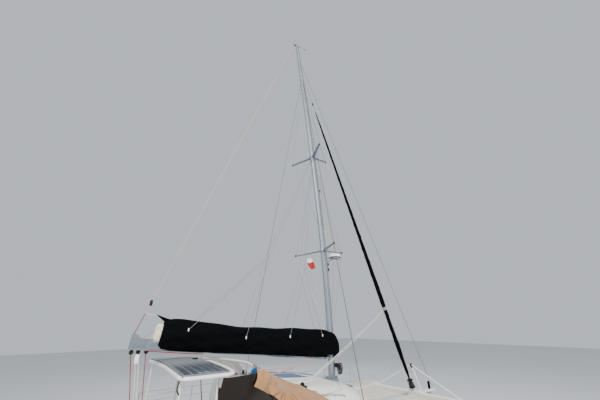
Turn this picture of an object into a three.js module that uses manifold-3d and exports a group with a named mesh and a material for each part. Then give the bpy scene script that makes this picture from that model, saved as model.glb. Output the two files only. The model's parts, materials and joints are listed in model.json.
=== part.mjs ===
// A cruising sailing catamaran, afloat: two hulls, a low coachroof, a cockpit with a hardtop,
// and a fractional rig with a furled headsail and a stacked mainsail on its boom.
// Frame: millimetres, +X to the bow, +Y to port, +Z up, origin on the waterline at mid-length.
import * as THREE from 'three';
import { mergeVertices } from 'three/addons/utils/BufferGeometryUtils.js';
import Module from 'manifold-3d';

const wasm = await Module();
wasm.setup();

// Driving dimensions
const HULL_LENGTH = 11600;
const HULL_Y = 2400; // hull centreline from the boat's centreline
const HULL_HALF_BEAM = 850;
const DECK_Z = 1500;
const KEEL_DEPTH = 1150;
const GAP = 0.3; // between pieces that touch
const BOW_X = HULL_LENGTH / 2;
const STERN_X = -HULL_LENGTH / 2;

const BRIDGE_Z = 600; // underside between the hulls
const SALOON_SOLE_Z = 700;
const COCKPIT_SOLE_Z = 950;
const SALOON_AFT_X = -2450;
const SALOON_FORE_X = 700;
const FOREDECK_X = 3000;
const COCKPIT_AFT_X = -4300;
const BRIDGE_AFT_X = -4900;

const MAST_FOOT = { x: 855, z: 2335 };
const MAST_TOP_Z = 17850;
const MAST_RAKE_RUN = 1260; // how far aft the masthead lies
const MAST_BEND = 270;
const MAST_SECTION = { long: 130, wide: 85 }; // half sizes
const HOUNDS_Z = 15360;
const OUTER_STAY_Z = 16370;
const LOWER_SPREADER_Z = 6590;
const UPPER_SPREADER_Z = 10830;
const GOOSENECK_Z = 3010;
const BOOM_LENGTH = 5930;
const BOOM_RISE = 5.8; // degrees
const BOOM_SECTION = { high: 115, wide: 75 }; // half sizes

const BEAM_X = 5200;
const BEAM_Z = 1400;
const BEAM_RADIUS = 100;
const TACK = new THREE.Vector3(5110, 0, 1560);
const SPRIT_END_X = 6560;
const CHAINPLATE = { x: -960, y: 3180 };

const HARDTOP = { aft: -4450, fore: -3250, half: 1900, z: 3080, thick: 60, crown: 60, bow: 50, corner: 260 };

// Solids: conversion between three.js geometry and closed solids, and their joining and cutting
function solid(geometry) {
  const bare = geometry.index ? geometry.toNonIndexed() : geometry.clone();
  bare.deleteAttribute('normal');
  bare.deleteAttribute('uv');
  const merged = mergeVertices(bare, 1e-3);
  return new wasm.Manifold(new wasm.Mesh({
    numProp: 3,
    vertProperties: new Float32Array(merged.attributes.position.array),
    triVerts: new Uint32Array(merged.index.array),
  }));
}

function geometryOf(shape) {
  const mesh = shape.getMesh();
  const geometry = new THREE.BufferGeometry();
  geometry.setAttribute('position', new THREE.BufferAttribute(new Float32Array(mesh.vertProperties), 3));
  geometry.setIndex(new THREE.BufferAttribute(new Uint32Array(mesh.triVerts), 1));
  geometry.computeVertexNormals();
  return geometry;
}

const join = (...shapes) => shapes.reduce((all, next) => all.add(next));
const cut = (shape, ...tools) => tools.reduce((left, tool) => left.subtract(tool), shape);
const moved = (shape, x, y, z) => shape.translate([x, y, z]);
const mirrored = (shape) => shape.mirror([0, 1, 0]);

// A box between two corners
function box(x0, x1, y0, y1, z0, z1) {
  const geometry = new THREE.BoxGeometry(x1 - x0, y1 - y0, z1 - z0);
  geometry.translate((x0 + x1) / 2, (y0 + y1) / 2, (z0 + z1) / 2);
  return solid(geometry);
}

// A straight round bar between two points, which may taper
function rod(from, to, radius, sides = 8, endRadius = radius) {
  const a = new THREE.Vector3(...from);
  const b = new THREE.Vector3(...to);
  const geometry = new THREE.CylinderGeometry(endRadius, radius, a.distanceTo(b), sides);
  const along = b.clone().sub(a).normalize();
  geometry.applyQuaternion(new THREE.Quaternion().setFromUnitVectors(new THREE.Vector3(0, 1, 0), along));
  geometry.translate(...a.clone().add(b).multiplyScalar(0.5).toArray());
  return solid(geometry);
}

// A bent round tube: straight legs with a ball at each corner
function tube(points, radius, sides = 8) {
  const legs = points.slice(1).map((point, i) => rod(points[i], point, radius, sides));
  const corners = points.slice(1, -1).map((point) => ball(point, radius, sides));
  return join(...legs, ...corners);
}

function ball(centre, radius, sides = 8) {
  const geometry = new THREE.SphereGeometry(radius, sides, Math.max(4, sides / 2));
  geometry.translate(...centre);
  return solid(geometry);
}

// A closed skin through rings of equal length, with flat ends
function loft(rings) {
  const count = rings[0].length;
  const positions = rings.flat(2);
  const index = [];
  for (let r = 0; r + 1 < rings.length; r += 1) {
    for (let i = 0; i < count; i += 1) {
      const a = r * count + i;
      const b = r * count + ((i + 1) % count);
      index.push(a, b, a + count, b, b + count, a + count);
    }
  }
  for (const [first, turned] of [[0, true], [(rings.length - 1) * count, false]]) {
    const ring = rings[first / count];
    const middle = [0, 1, 2].map((k) => ring.reduce((sum, p) => sum + p[k], 0) / count);
    const hub = positions.length / 3;
    positions.push(...middle);
    for (let i = 0; i < count; i += 1) {
      const a = first + i;
      const b = first + ((i + 1) % count);
      index.push(...(turned ? [hub, b, a] : [hub, a, b]));
    }
  }
  const geometry = new THREE.BufferGeometry();
  geometry.setAttribute('position', new THREE.BufferAttribute(new Float32Array(positions), 3));
  geometry.setIndex(index);
  const made = solid(geometry);
  return made.volume() < 0 ? solid(flipped(geometry)) : made;
}

function flipped(geometry) {
  const index = geometry.index.array;
  for (let i = 0; i < index.length; i += 3) {
    [index[i + 1], index[i + 2]] = [index[i + 2], index[i + 1]];
  }
  return geometry;
}

// An outline carried straight over a depth
function carried(points, depth) {
  const shape = new THREE.Shape(points.map(([u, v]) => new THREE.Vector2(u, v)));
  return new THREE.ExtrudeGeometry(shape, { depth, bevelEnabled: false, curveSegments: 6 });
}

// A side-view outline in X and Z, carried across from y0 to y1
function acrossY(outline, y0, y1) {
  const geometry = carried(outline, y1 - y0);
  geometry.rotateX(Math.PI / 2);
  geometry.translate(0, y1, 0);
  return solid(geometry);
}

// A plan outline in X and Y, raised from z0 to z1
function upZ(outline, z0, z1) {
  const geometry = carried(outline, z1 - z0);
  geometry.translate(0, 0, z0);
  return solid(geometry);
}

// An outline seen from astern in Y and Z, carried along X
function alongX(outline, x0, x1) {
  const geometry = carried(outline, x1 - x0);
  geometry.rotateY(Math.PI / 2);
  geometry.rotateX(Math.PI / 2);
  geometry.translate(x0, 0, 0);
  return solid(geometry);
}

// A rounded rectangle as an outline, centred at (u, v)
function roundedRect(u, v, halfU, halfV, radius, steps = 4) {
  const points = [];
  for (const [su, sv, start] of [[1, 1, 0], [-1, 1, 90], [-1, -1, 180], [1, -1, 270]]) {
    for (let i = 0; i <= steps; i += 1) {
      const angle = THREE.MathUtils.degToRad(start + (90 * i) / steps);
      points.push([
        u + su * (halfU - radius) + radius * Math.cos(angle),
        v + sv * (halfV - radius) + radius * Math.sin(angle),
      ]);
    }
  }
  return points;
}

// A body turned about an axis: profile of [radius, height] pairs, from axis to axis
function turned(profile, sides = 16) {
  const geometry = new THREE.LatheGeometry(profile.map(([r, h]) => new THREE.Vector2(r, h)), sides);
  geometry.rotateX(Math.PI / 2);
  return solid(geometry);
}

// Finishes
const finish = (color, roughness, metalness = 0) => ({ color, roughness, metalness });
const GELCOAT = finish(0xf2f3f0, 0.28);
const NONSKID = finish(0xe9e1cc, 0.8);
const ALLOY = finish(0xb9bdc1, 0.4, 0.9);
const STAINLESS = finish(0xd6d9dc, 0.22, 1);
const BLACK = finish(0x17181b, 0.75);
const SAILCOVER = finish(0x111216, 0.85);
const CANVAS = finish(0xc79f72, 0.9);
const TINTED = finish(0x1b2229, 0.08);
const ANTIFOUL = finish(0x27324a, 0.8);
const CELLS = finish(0x1c2740, 0.2, 0.3);
const BRONZE = finish(0xb08a4a, 0.35, 0.9);
const WOOD = finish(0x9a6c40, 0.5);
const NET = finish(0xe4ddc9, 0.9);
const CUSHION = finish(0xd9cdb5, 0.9);

const boat = new THREE.Group();
boat.name = 'sailing_catamaran';

function place(name, shape, look, parent = boat) {
  const mesh = new THREE.Mesh(geometryOf(shape), new THREE.MeshStandardMaterial(look));
  mesh.name = name;
  parent.add(mesh);
  return mesh;
}

// Hulls: columns are x, half-beam at the deck, height of the keel line
const STATIONS = [
  [5800, 45, 720],
  [5700, 120, 150],
  [5450, 240, -120],
  [4900, 440, -290],
  [4000, 640, -400],
  [2600, 790, -480],
  [900, 850, -520],
  [-1200, 850, -500],
  [-3000, 830, -410],
  [-4300, 780, -260],
  [-5200, 710, -110],
  [-5800, 640, 20],
];
const SIDE_STEPS = 9;

// Half-breadth of a hull section: full at the deck, rounded in to the keel line
function breadth(half, share) {
  return half * Math.pow(1 - Math.pow(1 - share, 2.6), 0.55);
}

function hullRing([x, half, keel], centre, grow = 0) {
  const side = [];
  for (let i = 0; i <= SIDE_STEPS; i += 1) {
    const share = Math.pow(i / SIDE_STEPS, 1.6);
    side.push([breadth(half, share) + (i ? grow : 0), keel + (DECK_Z - keel) * share]);
  }
  const outer = side.map(([y, z]) => [x, centre + y, z]);
  const inner = side.slice(1).reverse().map(([y, z]) => [x, centre - y, z]);
  return [...outer, ...inner];
}

const hullForm = (centre, grow = 0) => loft(STATIONS.map((station) => hullRing(station, centre, grow)));

// Stern steps: the bulwark slopes down to the swim platform and the treads lie inside it
const BULWARK = [[-4620, DECK_Z + 50], [-4620, DECK_Z], [-5860, 640], [-5860, DECK_Z + 50]];
const TREADS = [
  [-4560, DECK_Z + 60], [-4560, 1240], [-4860, 1240], [-4860, 980], [-5160, 980], [-5160, 700],
  [-5440, 700], [-5440, 430], [-5900, 430], [-5900, DECK_Z + 60],
];
const TREAD_HALF = 520;
const RUDDER = { x: -4930, stock: 30, bore: 30.6, top: 160 };
const HATCH = { x: 3650, half: 260, depth: 60 };

function hullSolid(centre) {
  const wellPlan = roundedRect(HATCH.x, centre, HATCH.half, HATCH.half, 60);
  const well = upZ(wellPlan, DECK_Z - HATCH.depth, DECK_Z + 20);
  const bore = rod([RUDDER.x, centre, -400], [RUDDER.x, centre, RUDDER.top], RUDDER.bore, 24);
  return cut(
    hullForm(centre),
    acrossY(BULWARK, centre - 900, centre + 900),
    acrossY(TREADS, centre - TREAD_HALF, centre + TREAD_HALF),
    well,
    bore,
  );
}

// The starboard platform carries the swim ladder's hinge lugs
const LADDER = { x: -5845, z: 475, half: 170, height: 820, pin: 9 };
const PLATFORM_Z = 430;
const ladderLugs = cut(
  join(...[-1, 1].map((s) => box(LADDER.x - 18, LADDER.x + 90, s * (LADDER.half + 34) - HULL_Y - 9,
    s * (LADDER.half + 34) - HULL_Y + 9, PLATFORM_Z - 10, LADDER.z + 20))),
  rod([LADDER.x, -HULL_Y - 400, LADDER.z], [LADDER.x, -HULL_Y + 400, LADDER.z], LADDER.pin + 0.6, 16),
);
const hullPort = hullSolid(HULL_Y);
const hullStarboard = join(mirrored(hullPort), ladderLugs);
place('hull_port', hullPort, GELCOAT);
place('hull_starboard', hullStarboard, GELCOAT);

// Mini keels, seated on the hull bottoms: columns are height, leading x, trailing x, half thickness
const KEEL_SECTIONS = [[-380, 1500, -1500, 120], [-700, 1320, -1380, 95], [-KEEL_DEPTH, 1050, -1250, 75]];

// A foil ring: blunt nose forward, fine tail, widest a third of the way back
function foilRing(z, lead, trail, half, centre, steps = 8) {
  const chord = lead - trail;
  const side = [];
  for (let i = 0; i <= steps; i += 1) {
    const share = 0.5 - 0.5 * Math.cos((Math.PI * i) / steps);
    const tail = share > 0 ? half * 0.06 : 0;
    const bulge = 2.6 * half * (Math.sqrt(share) - share) * (1 - 0.18 * share) + tail;
    side.push([lead - chord * share, bulge]);
  }
  const outer = side.map(([x, y]) => [x, centre + y, z]);
  const inner = side.slice(1).reverse().map(([x, y]) => [x, centre - y, z]);
  return [...outer, ...inner];
}

const hullBelow = moved(hullForm(HULL_Y), 0, 0, -GAP);
const keelRings = KEEL_SECTIONS.map(([z, lead, trail, half]) => foilRing(z, lead, trail, half, HULL_Y));
const keelPort = cut(loft(keelRings), hullBelow);
place('keel_port', keelPort, ANTIFOUL);
place('keel_starboard', mirrored(keelPort), ANTIFOUL);

// Rudders, each on its stock in the hull's bore, built about the stock's axis
function rudderSolid() {
  const blade = loft([[-330, 190, -330, 42], [-700, 170, -300, 36], [-1060, 120, -220, 26]]
    .map(([z, lead, trail, half]) => foilRing(z, lead, trail, half, 0, 6)));
  return join(blade, rod([0, 0, -360], [0, 0, RUDDER.top - 4], RUDDER.stock, 16));
}

// Saildrive legs and propellers
const DRIVE = { x: -3500, shaftZ: -700 };
function driveSolid() {
  const leg = loft([[-300, 150, -170, 62], [-560, 110, -120, 40], [DRIVE.shaftZ + 40, 110, -130, 40]]
    .map(([z, lead, trail, half]) => foilRing(z, DRIVE.x + lead, DRIVE.x + trail, half, HULL_Y, 5)));
  const bulb = turned([[0, -190], [32, -170], [52, -90], [58, 0], [50, 120], [36, 178], [0, 180]], 12)
    .rotate([0, -90, 0]);
  return cut(join(leg, moved(bulb, DRIVE.x, HULL_Y, DRIVE.shaftZ)), hullBelow);
}
const drivePort = driveSolid();
place('saildrive_port', drivePort, ALLOY);
place('saildrive_starboard', mirrored(drivePort), ALLOY);

// Three blades at 120 degrees on a hub, turning about X
function propellerSolid() {
  const hub = turned([[0, -60], [22, -56], [36, -20], [36, 40], [0, 40]], 12).rotate([0, 90, 0]);
  const blades = [0, 120, 240].map((angle) => {
    const outline = [[0, 20], [46, 70], [62, 130], [50, 185], [18, 210], [-22, 200], [-44, 140], [-34, 70]];
    const geometry = carried(outline, 8);
    geometry.translate(0, 0, -4);
    return solid(geometry).rotate([0, 58, 0]).rotate([90, 0, 0]).rotate([angle, 0, 0]);
  });
  return join(hub, ...blades);
}

for (const [side, y] of [['port', HULL_Y], ['starboard', -HULL_Y]]) {
  const rudder = place(`rudder_${side}`, rudderSolid(), ANTIFOUL);
  rudder.position.set(RUDDER.x, y, 0);
  const propeller = place(`propeller_${side}`, propellerSolid(), BRONZE);
  propeller.position.set(DRIVE.x - 180 - GAP - 40, y, DRIVE.shaftZ);
}

// Bridge deck: one moulding between the hulls, with the saloon sole, cockpit sole, foredeck and aft beam
const hullTools = [hullForm(HULL_Y, GAP), mirrored(hullForm(HULL_Y, GAP))];
const BRIDGE_PROFILE = [
  [BRIDGE_AFT_X, BRIDGE_Z + 60], [-4600, BRIDGE_Z], [2000, BRIDGE_Z], [2500, 700], [2850, 950],
  [FOREDECK_X, 1300], [FOREDECK_X, DECK_Z], [SALOON_FORE_X, DECK_Z], [SALOON_FORE_X, SALOON_SOLE_Z],
  [SALOON_AFT_X, SALOON_SOLE_Z], [SALOON_AFT_X, COCKPIT_SOLE_Z], [COCKPIT_AFT_X, COCKPIT_SOLE_Z],
  [COCKPIT_AFT_X, DECK_Z], [BRIDGE_AFT_X, DECK_Z],
];
const LOCKER = { x: 2450, y: 640, halfX: 330, halfY: 380 };
const lockerWell = (y) => upZ(roundedRect(LOCKER.x, y, LOCKER.halfX, LOCKER.halfY, 50), 980, DECK_Z + 20);
const transomStep = box(BRIDGE_AFT_X - 10, COCKPIT_AFT_X + 10, 950, 1560, 1180, DECK_Z + 10);
place('bridge_deck', cut(
  acrossY(BRIDGE_PROFILE, -1900, 1900),
  ...hullTools,
  lockerWell(LOCKER.y),
  lockerWell(-LOCKER.y),
  transomStep,
), GELCOAT);

// Hatch and locker lids, each turning on a pin ahead of its forward edge
const LID = { rim: 30, pin: 13 };
function lidSolid(halfX, halfY) {
  return join(
    upZ(roundedRect(0, 0, halfX - 8, halfY - 8, 50), -30, 10),
    upZ(roundedRect(0, 0, halfX + LID.rim, halfY + LID.rim, 70), GAP, 26),
    rod([halfX + LID.rim + LID.pin, -160, LID.pin], [halfX + LID.rim + LID.pin, 160, LID.pin], 9, 10),
    box(halfX, halfX + LID.rim + LID.pin, -160, 160, LID.pin - 5, LID.pin + 5),
  );
}
for (const [side, sign] of [['port', 1], ['starboard', -1]]) {
  const hatch = place(`deck_hatch_${side}`, lidSolid(HATCH.half, HATCH.half), TINTED);
  hatch.position.set(HATCH.x, sign * HULL_Y, DECK_Z);
  const locker = place(`locker_lid_${side}`, lidSolid(LOCKER.halfX, LOCKER.halfY), NONSKID);
  locker.position.set(LOCKER.x, sign * LOCKER.y, DECK_Z);
}

// Coachroof: columns are x, half-width, height over the deck
const ROOF_STATIONS = [
  [SALOON_AFT_X, 2050, 1150], [-1200, 2050, 1100], [-300, 1930, 1030], [300, 1760, 940],
  [550, 1660, 870], [700, 1560, 810], [830, 1460, 760], [1000, 1300, 670], [1200, 1060, 520],
  [1380, 780, 340], [1500, 500, 180], [1570, 250, 80],
];
const ARCH_STEPS = 20;

// An arch that is boxy at its shoulders: |y/w|^4 + |z/h|^3 = 1
function archRing([x, half, high], inset, base) {
  const ring = [];
  for (let i = 0; i <= ARCH_STEPS; i += 1) {
    const angle = (Math.PI * i) / ARCH_STEPS;
    const y = Math.sign(Math.cos(angle)) * Math.pow(Math.abs(Math.cos(angle)), 0.5) * (half - inset);
    const z = DECK_Z + Math.pow(Math.max(Math.sin(angle), 0), 0.62) * Math.max(high - inset, 4);
    ring.push([x, y, z]);
  }
  ring[0][2] = base;
  ring[ARCH_STEPS][2] = base;
  return ring;
}

function roofForm(inset, base, aftRun = 0) {
  const stations = ROOF_STATIONS.map(([x, half, high]) => [
    x - (x > 900 ? inset * 0.8 : 0) - (x === SALOON_AFT_X ? aftRun : 0), half, high,
  ]);
  return loft(stations.map((station) => archRing(station, inset, base)));
}

const SIDE_WINDOW = [[-2250, 1760], [-2250, 2130], [-1100, 2130], [-200, 2050], [330, 1880], [330, 1760]];
const FRONT_WINDOW = [[-1150, 1680], [-1060, 1900], [-700, 1960], [700, 1960], [1060, 1900], [1150, 1680]];
const FRONT_WINDOW_AFT = 600; // the front window's outline cuts the skin forward of here
const FRONT_WINDOW_FORE = 2100;
const WALL = 40;

// The same convex outline scaled about its middle, so that every edge draws in by at least `by`
function shrunk(outline, by) {
  const middle = [0, 1].map((k) => outline.reduce((sum, p) => sum + p[k], 0) / outline.length);
  const reach = outline.map((p, i) => {
    const q = outline[(i + 1) % outline.length];
    const along = [q[0] - p[0], q[1] - p[1]];
    return Math.abs((middle[0] - p[0]) * along[1] - (middle[1] - p[1]) * along[0]) / Math.hypot(...along);
  });
  const scale = 1 - by / Math.min(...reach);
  return outline.map((p) => p.map((value, k) => middle[k] + (value - middle[k]) * scale));
}

const shelfCut = box(SALOON_AFT_X - 40, 2200, -2200, 2200, DECK_Z - 900, DECK_Z + GAP);
const sideCutPort = acrossY(SIDE_WINDOW, 1500, 2300);
const frontCut = alongX(FRONT_WINDOW, FRONT_WINDOW_AFT, FRONT_WINDOW_FORE);
const coachroof = cut(
  roofForm(0, DECK_Z - 100),
  roofForm(WALL, DECK_Z - 200, 50),
  shelfCut,
  sideCutPort,
  mirrored(sideCutPort),
  frontCut,
);
place('coachroof', coachroof, GELCOAT);

const paneSkin = cut(roofForm(10, DECK_Z - 100), roofForm(22, DECK_Z - 200, 50));
const sidePane = paneSkin.intersect(acrossY(shrunk(SIDE_WINDOW, GAP), 1500, 2300));
place('saloon_window_port', sidePane, TINTED);
place('saloon_window_starboard', mirrored(sidePane), TINTED);
const frontOutline = shrunk(FRONT_WINDOW, GAP);
const frontPane = alongX(frontOutline, FRONT_WINDOW_AFT, FRONT_WINDOW_FORE);
place('saloon_window_front', paneSkin.intersect(frontPane), TINTED);

// Aft bulkhead of the saloon, with its doorway and windows
const BULKHEAD_X = SALOON_AFT_X - GAP;
const DOOR = { y0: -350, y1: 350, top: 2420 };
const bulkheadOutline = archRing([0, 2050, 1150], 0, DECK_Z + GAP).map(([, y, z]) => [y, z]);
const doorTrack = (z0, z1) => box(BULKHEAD_X - WALL - 38, BULKHEAD_X - WALL + 5, -400, 1060, z0, z1);
const bulkhead = cut(
  join(
    alongX(bulkheadOutline, BULKHEAD_X - WALL, BULKHEAD_X),
    box(BULKHEAD_X - WALL, BULKHEAD_X, -1540, 1540, COCKPIT_SOLE_Z + GAP, DECK_Z + 20),
    doorTrack(COCKPIT_SOLE_Z + 12, COCKPIT_SOLE_Z + 39.5),
    doorTrack(DOOR.top + 35, DOOR.top + 60),
  ),
  box(BULKHEAD_X - WALL - 10, BULKHEAD_X + 10, DOOR.y0, DOOR.y1, COCKPIT_SOLE_Z + 60, DOOR.top),
  box(BULKHEAD_X - WALL - 10, BULKHEAD_X + 10, 520, 1500, 1750, 2300),
  ...hullTools,
);
place('saloon_bulkhead', bulkhead, GELCOAT);
place('saloon_door', box(BULKHEAD_X - WALL - 34, BULKHEAD_X - WALL - 6, DOOR.y0 - 40, DOOR.y1 + 40,
  COCKPIT_SOLE_Z + 40, DOOR.top + 30), TINTED);

// Saloon furniture that shows through the windows
place('saloon_settee', cut(
  box(-300, 690, 200, 1500, SALOON_SOLE_Z + GAP, 1180),
  box(-310, 190, 190, 1000, SALOON_SOLE_Z, 1190),
), CUSHION);
place('saloon_table', join(
  box(-290, 170, 260, 900, 1400, 1430),
  rod([-60, 600, SALOON_SOLE_Z + GAP], [-60, 600, 1410], 50, 10),
), WOOD);

// Cockpit bench to port, helm station to starboard
place('cockpit_bench', cut(
  join(
    box(COCKPIT_AFT_X + GAP, -2900, 950, 1540, COCKPIT_SOLE_Z + GAP, 1360),
    box(COCKPIT_AFT_X + GAP, COCKPIT_AFT_X + 560, -700, 960, COCKPIT_SOLE_Z + GAP, 1360),
  ),
  ...hullTools,
), GELCOAT);
const HELM = { x: -2860, y: -1150, z: 1780 };
place('helm_console', cut(
  box(-2790, SALOON_AFT_X - WALL - 2 * GAP, -1540, -760, COCKPIT_SOLE_Z + GAP, 1980),
  ...hullTools,
), GELCOAT);
place('helm_seat', cut(
  join(
    box(-3900, -3420, -1540, -760, COCKPIT_SOLE_Z + GAP, 1500),
    box(-3960, -3840, -1540, -760, 1400, 1900),
  ),
  ...hullTools,
), CUSHION);

function wheelSolid() {
  const rim = new THREE.TorusGeometry(330, 16, 8, 24);
  rim.rotateY(Math.PI / 2);
  const spokes = [0, 72, 144, 216, 288].map((angle) => {
    const turn = THREE.MathUtils.degToRad(angle);
    return rod([0, 0, 0], [0, 330 * Math.sin(turn), 330 * Math.cos(turn)], 9, 6);
  });
  return join(solid(rim), rod([-25, 0, 0], [HELM.x * -1 - 2790 - GAP, 0, 0], 42, 12), ...spokes);
}
const wheel = place('steering_wheel', wheelSolid(), STAINLESS);
wheel.position.set(HELM.x, HELM.y, HELM.z);

// Hardtop with its solar panels and posts
const underDeck = box(-7000, 7000, -4000, 4000, DECK_Z - 500, DECK_Z + GAP);
const HARDTOP_STEPS = 12;
function hardtopForm(z, thick, inset) {
  const rings = [];
  for (let i = 0; i <= HARDTOP_STEPS; i += 1) {
    const share = (2 * i) / HARDTOP_STEPS - 1;
    const y = share * (HARDTOP.half - inset);
    const pinch = HARDTOP.corner * Math.pow(Math.abs(share), 10);
    const crown = z - HARDTOP.crown * share * share;
    const aft = HARDTOP.aft + inset + pinch;
    const fore = HARDTOP.fore - HARDTOP.bow * share * share - inset - pinch;
    rings.push([[aft, y, crown - thick], [fore, y, crown - thick], [fore, y, crown], [aft, y, crown]]);
  }
  return loft(rings);
}
const hardtop = hardtopForm(HARDTOP.z + 60, HARDTOP.thick, 0);
place('hardtop', hardtop, GELCOAT);

// A large and two smaller panels, joined by the frame that carries them: columns are the edges' y
const PANEL_EDGES = [[-1790, -150], [-60, 830], [920, 1790]];
const PANEL_MARGIN = 100;
const PANEL_THICK = 40;
const panelsOver = hardtopForm(HARDTOP.z + 60 + PANEL_THICK + GAP, PANEL_THICK, PANEL_MARGIN);
const panelSkin = cut(panelsOver, moved(hardtop, 0, 0, GAP));
place('solar_panels', cut(
  panelSkin,
  ...PANEL_EDGES.slice(1).map(([y], i) => box(HARDTOP.aft, HARDTOP.fore, PANEL_EDGES[i][1], y,
    HARDTOP.z + 72, HARDTOP.z + 200)),
), CELLS);

// Posts: columns are x and y at the foot, x and y at the top
const POSTS = {
  port: [[-4350, 1720, -4350, 1600], [-3600, 1720, -3620, 1600]],
  starboard: [[-4350, -1720, -4350, -1600], [-3600, -1720, -3620, -1600]],
};
const hardtopBelow = moved(hardtop, 0, 0, -GAP);
for (const [side, posts] of Object.entries(POSTS)) {
  const sign = side === 'port' ? 1 : -1;
  const uprights = posts.map(([x0, y0, x1, y1]) => join(
    rod([x0, y0, DECK_Z + GAP], [x1, y1, HARDTOP.z], 20, 10),
    rod([x0, y0, DECK_Z + GAP], [x0, y0, DECK_Z + 12], 45, 12),
  ));
  const rail = rod([-4350, sign * 1660, 2270], [-3610, sign * 1660, 2270], 14, 8);
  place(`hardtop_posts_${side}`, cut(join(...uprights, rail), hardtopBelow, underDeck), STAINLESS);
}

// A drum winch on its base, built standing on Z = 0
function winchSolid() {
  return turned([
    [0, 0], [72, 0], [72, 22], [50, 34], [44, 80], [52, 112], [60, 118], [60, 140], [26, 146], [0, 146],
  ], 16);
}

// Mast: its axis bends forward between foot and head
const mastHeight = MAST_TOP_Z - MAST_FOOT.z;
function mastX(z) {
  const share = THREE.MathUtils.clamp((z - MAST_FOOT.z) / mastHeight, 0, 1);
  return MAST_FOOT.x - MAST_RAKE_RUN * share + MAST_BEND * Math.sin(Math.PI * Math.pow(share, 0.7));
}
const MAST_SIDES = 12;
function mastRing(z, shrink = 0) {
  const share = (z - MAST_FOOT.z) / mastHeight;
  const taper = share > 0.82 ? 1 - (share - 0.82) * 2.2 : 1;
  const ring = [];
  for (let i = 0; i < MAST_SIDES; i += 1) {
    const angle = (2 * Math.PI * i) / MAST_SIDES;
    ring.push([
      mastX(z) + (MAST_SECTION.long * taper - shrink) * Math.cos(angle),
      (MAST_SECTION.wide * taper - shrink) * Math.sin(angle),
      z,
    ]);
  }
  return ring;
}
const mastForm = (shrink) => loft(Array.from({ length: 17 }, (_, i) => (
  mastRing(MAST_FOOT.z + GAP + (mastHeight * i) / 16, shrink))));
const STEP_HALF = 190;
const masthead = join(
  box(mastX(MAST_TOP_Z) - 230, mastX(MAST_TOP_Z) + 150, -34, 34, MAST_TOP_Z - 60, MAST_TOP_Z + 12),
  rod([mastX(MAST_TOP_Z) - 190, 0, MAST_TOP_Z], [mastX(MAST_TOP_Z) - 190, 0, MAST_TOP_Z + 520], 6, 6),
);
const TANG_REACH = 160;
const tangs = [HOUNDS_Z, OUTER_STAY_Z].map((z) => (
  box(mastX(z) + 40, mastX(z) + TANG_REACH, -16, 16, z - 40, z + 60)));
const roofAbove = moved(roofForm(0, DECK_Z - 100), 0, 0, GAP);
const mastStep = box(MAST_FOOT.x - STEP_HALF, MAST_FOOT.x + STEP_HALF, -150, 150, 2060, MAST_FOOT.z + 45);
const PIN_AFT = 185;
const PIN_RADIUS = 9;
const gooseneckX = mastX(GOOSENECK_Z);
const gooseneckLugs = [-90, 62].map((low) => box(
  gooseneckX - PIN_AFT - 30, gooseneckX - 110, -26, 26, GOOSENECK_Z + low, GOOSENECK_Z + low + 28,
));
const pinAt = gooseneckX - PIN_AFT;
const pinHole = rod([pinAt, 0, GOOSENECK_Z - 200], [pinAt, 0, GOOSENECK_Z + 200], PIN_RADIUS + 0.6, 20);
const MAST_WINCH_Z = 2720;
const mastWinchX = mastX(MAST_WINCH_Z) + 70;
const mastWinch = join(
  box(mastWinchX - 55, mastWinchX + 55, -130, -40, MAST_WINCH_Z - 55, MAST_WINCH_Z + 55),
  moved(winchSolid().rotate([90, 0, 0]), mastWinchX, -129, MAST_WINCH_Z),
);
const mast = join(mastForm(0), mastStep, masthead, mastWinch, ...gooseneckLugs, ...tangs);
place('mast', cut(mast, pinHole, roofAbove), ALLOY);

// The room that the mast takes, for pieces that fit round it
const mastSleeve = mastForm(-GAP);

// Spreaders: two swept arms and one forward arm on a collar round the mast
const SWEEP = THREE.MathUtils.degToRad(23);
function spreaderTips(z, reach, forward) {
  const x = mastX(z);
  return {
    port: [x - reach * Math.sin(SWEEP), reach * Math.cos(SWEEP), z - 40],
    starboard: [x - reach * Math.sin(SWEEP), -reach * Math.cos(SWEEP), z - 40],
    forward: [x + forward, 0, z + 40],
  };
}
const SPREADERS = {
  spreaders_lower: [LOWER_SPREADER_Z, 1290, 980],
  spreaders_upper: [UPPER_SPREADER_Z, 1080, 760],
};
for (const [name, [z, reach, forward]] of Object.entries(SPREADERS)) {
  const tips = spreaderTips(z, reach, forward);
  const plan = roundedRect(mastX(z), 0, MAST_SECTION.long + 24, MAST_SECTION.wide + 24, 60);
  const collar = upZ(plan, z - 50, z + 50);
  const arms = Object.values(tips).map((tip) => rod([mastX(z), 0, z], tip, 30, 8, 20));
  place(name, cut(join(collar, ...arms), mastSleeve), ALLOY);
}

// Radar dome on its bracket
const RADAR = { z: 6350, reach: 570 };
const radarX = mastX(RADAR.z) + RADAR.reach;
const DOME = [[0, 0], [205, 0], [230, 35], [230, 110], [205, 165], [115, 198], [0, 206]];
place('radar', cut(join(
  moved(turned(DOME, 20), radarX, 0, RADAR.z),
  box(mastX(RADAR.z) + 60, radarX + 60, -60, 60, RADAR.z - 30, RADAR.z + 1),
  box(mastX(RADAR.z) + 60, mastX(RADAR.z) + 130, -60, 60, RADAR.z - 200, RADAR.z + 1),
), mastSleeve), GELCOAT);

// Boom and its sail cover, built about the gooseneck's upright pin
const pinX = mastX(GOOSENECK_Z) - PIN_AFT;
const boomGroup = new THREE.Group();
boomGroup.position.set(pinX, 0, GOOSENECK_Z);
boat.add(boomGroup);
const raised = (shape) => shape.rotate([0, BOOM_RISE, 0]);
const boomOutline = roundedRect(0, 0, BOOM_SECTION.wide, BOOM_SECTION.high, 60);
const boomTube = alongX(boomOutline, -BOOM_LENGTH, -110);
const boomFork = join(
  box(-150, 16, -30, 30, -54, 54),
  rod([0, 0, -110], [0, 0, 110], PIN_RADIUS, 10),
);
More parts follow.
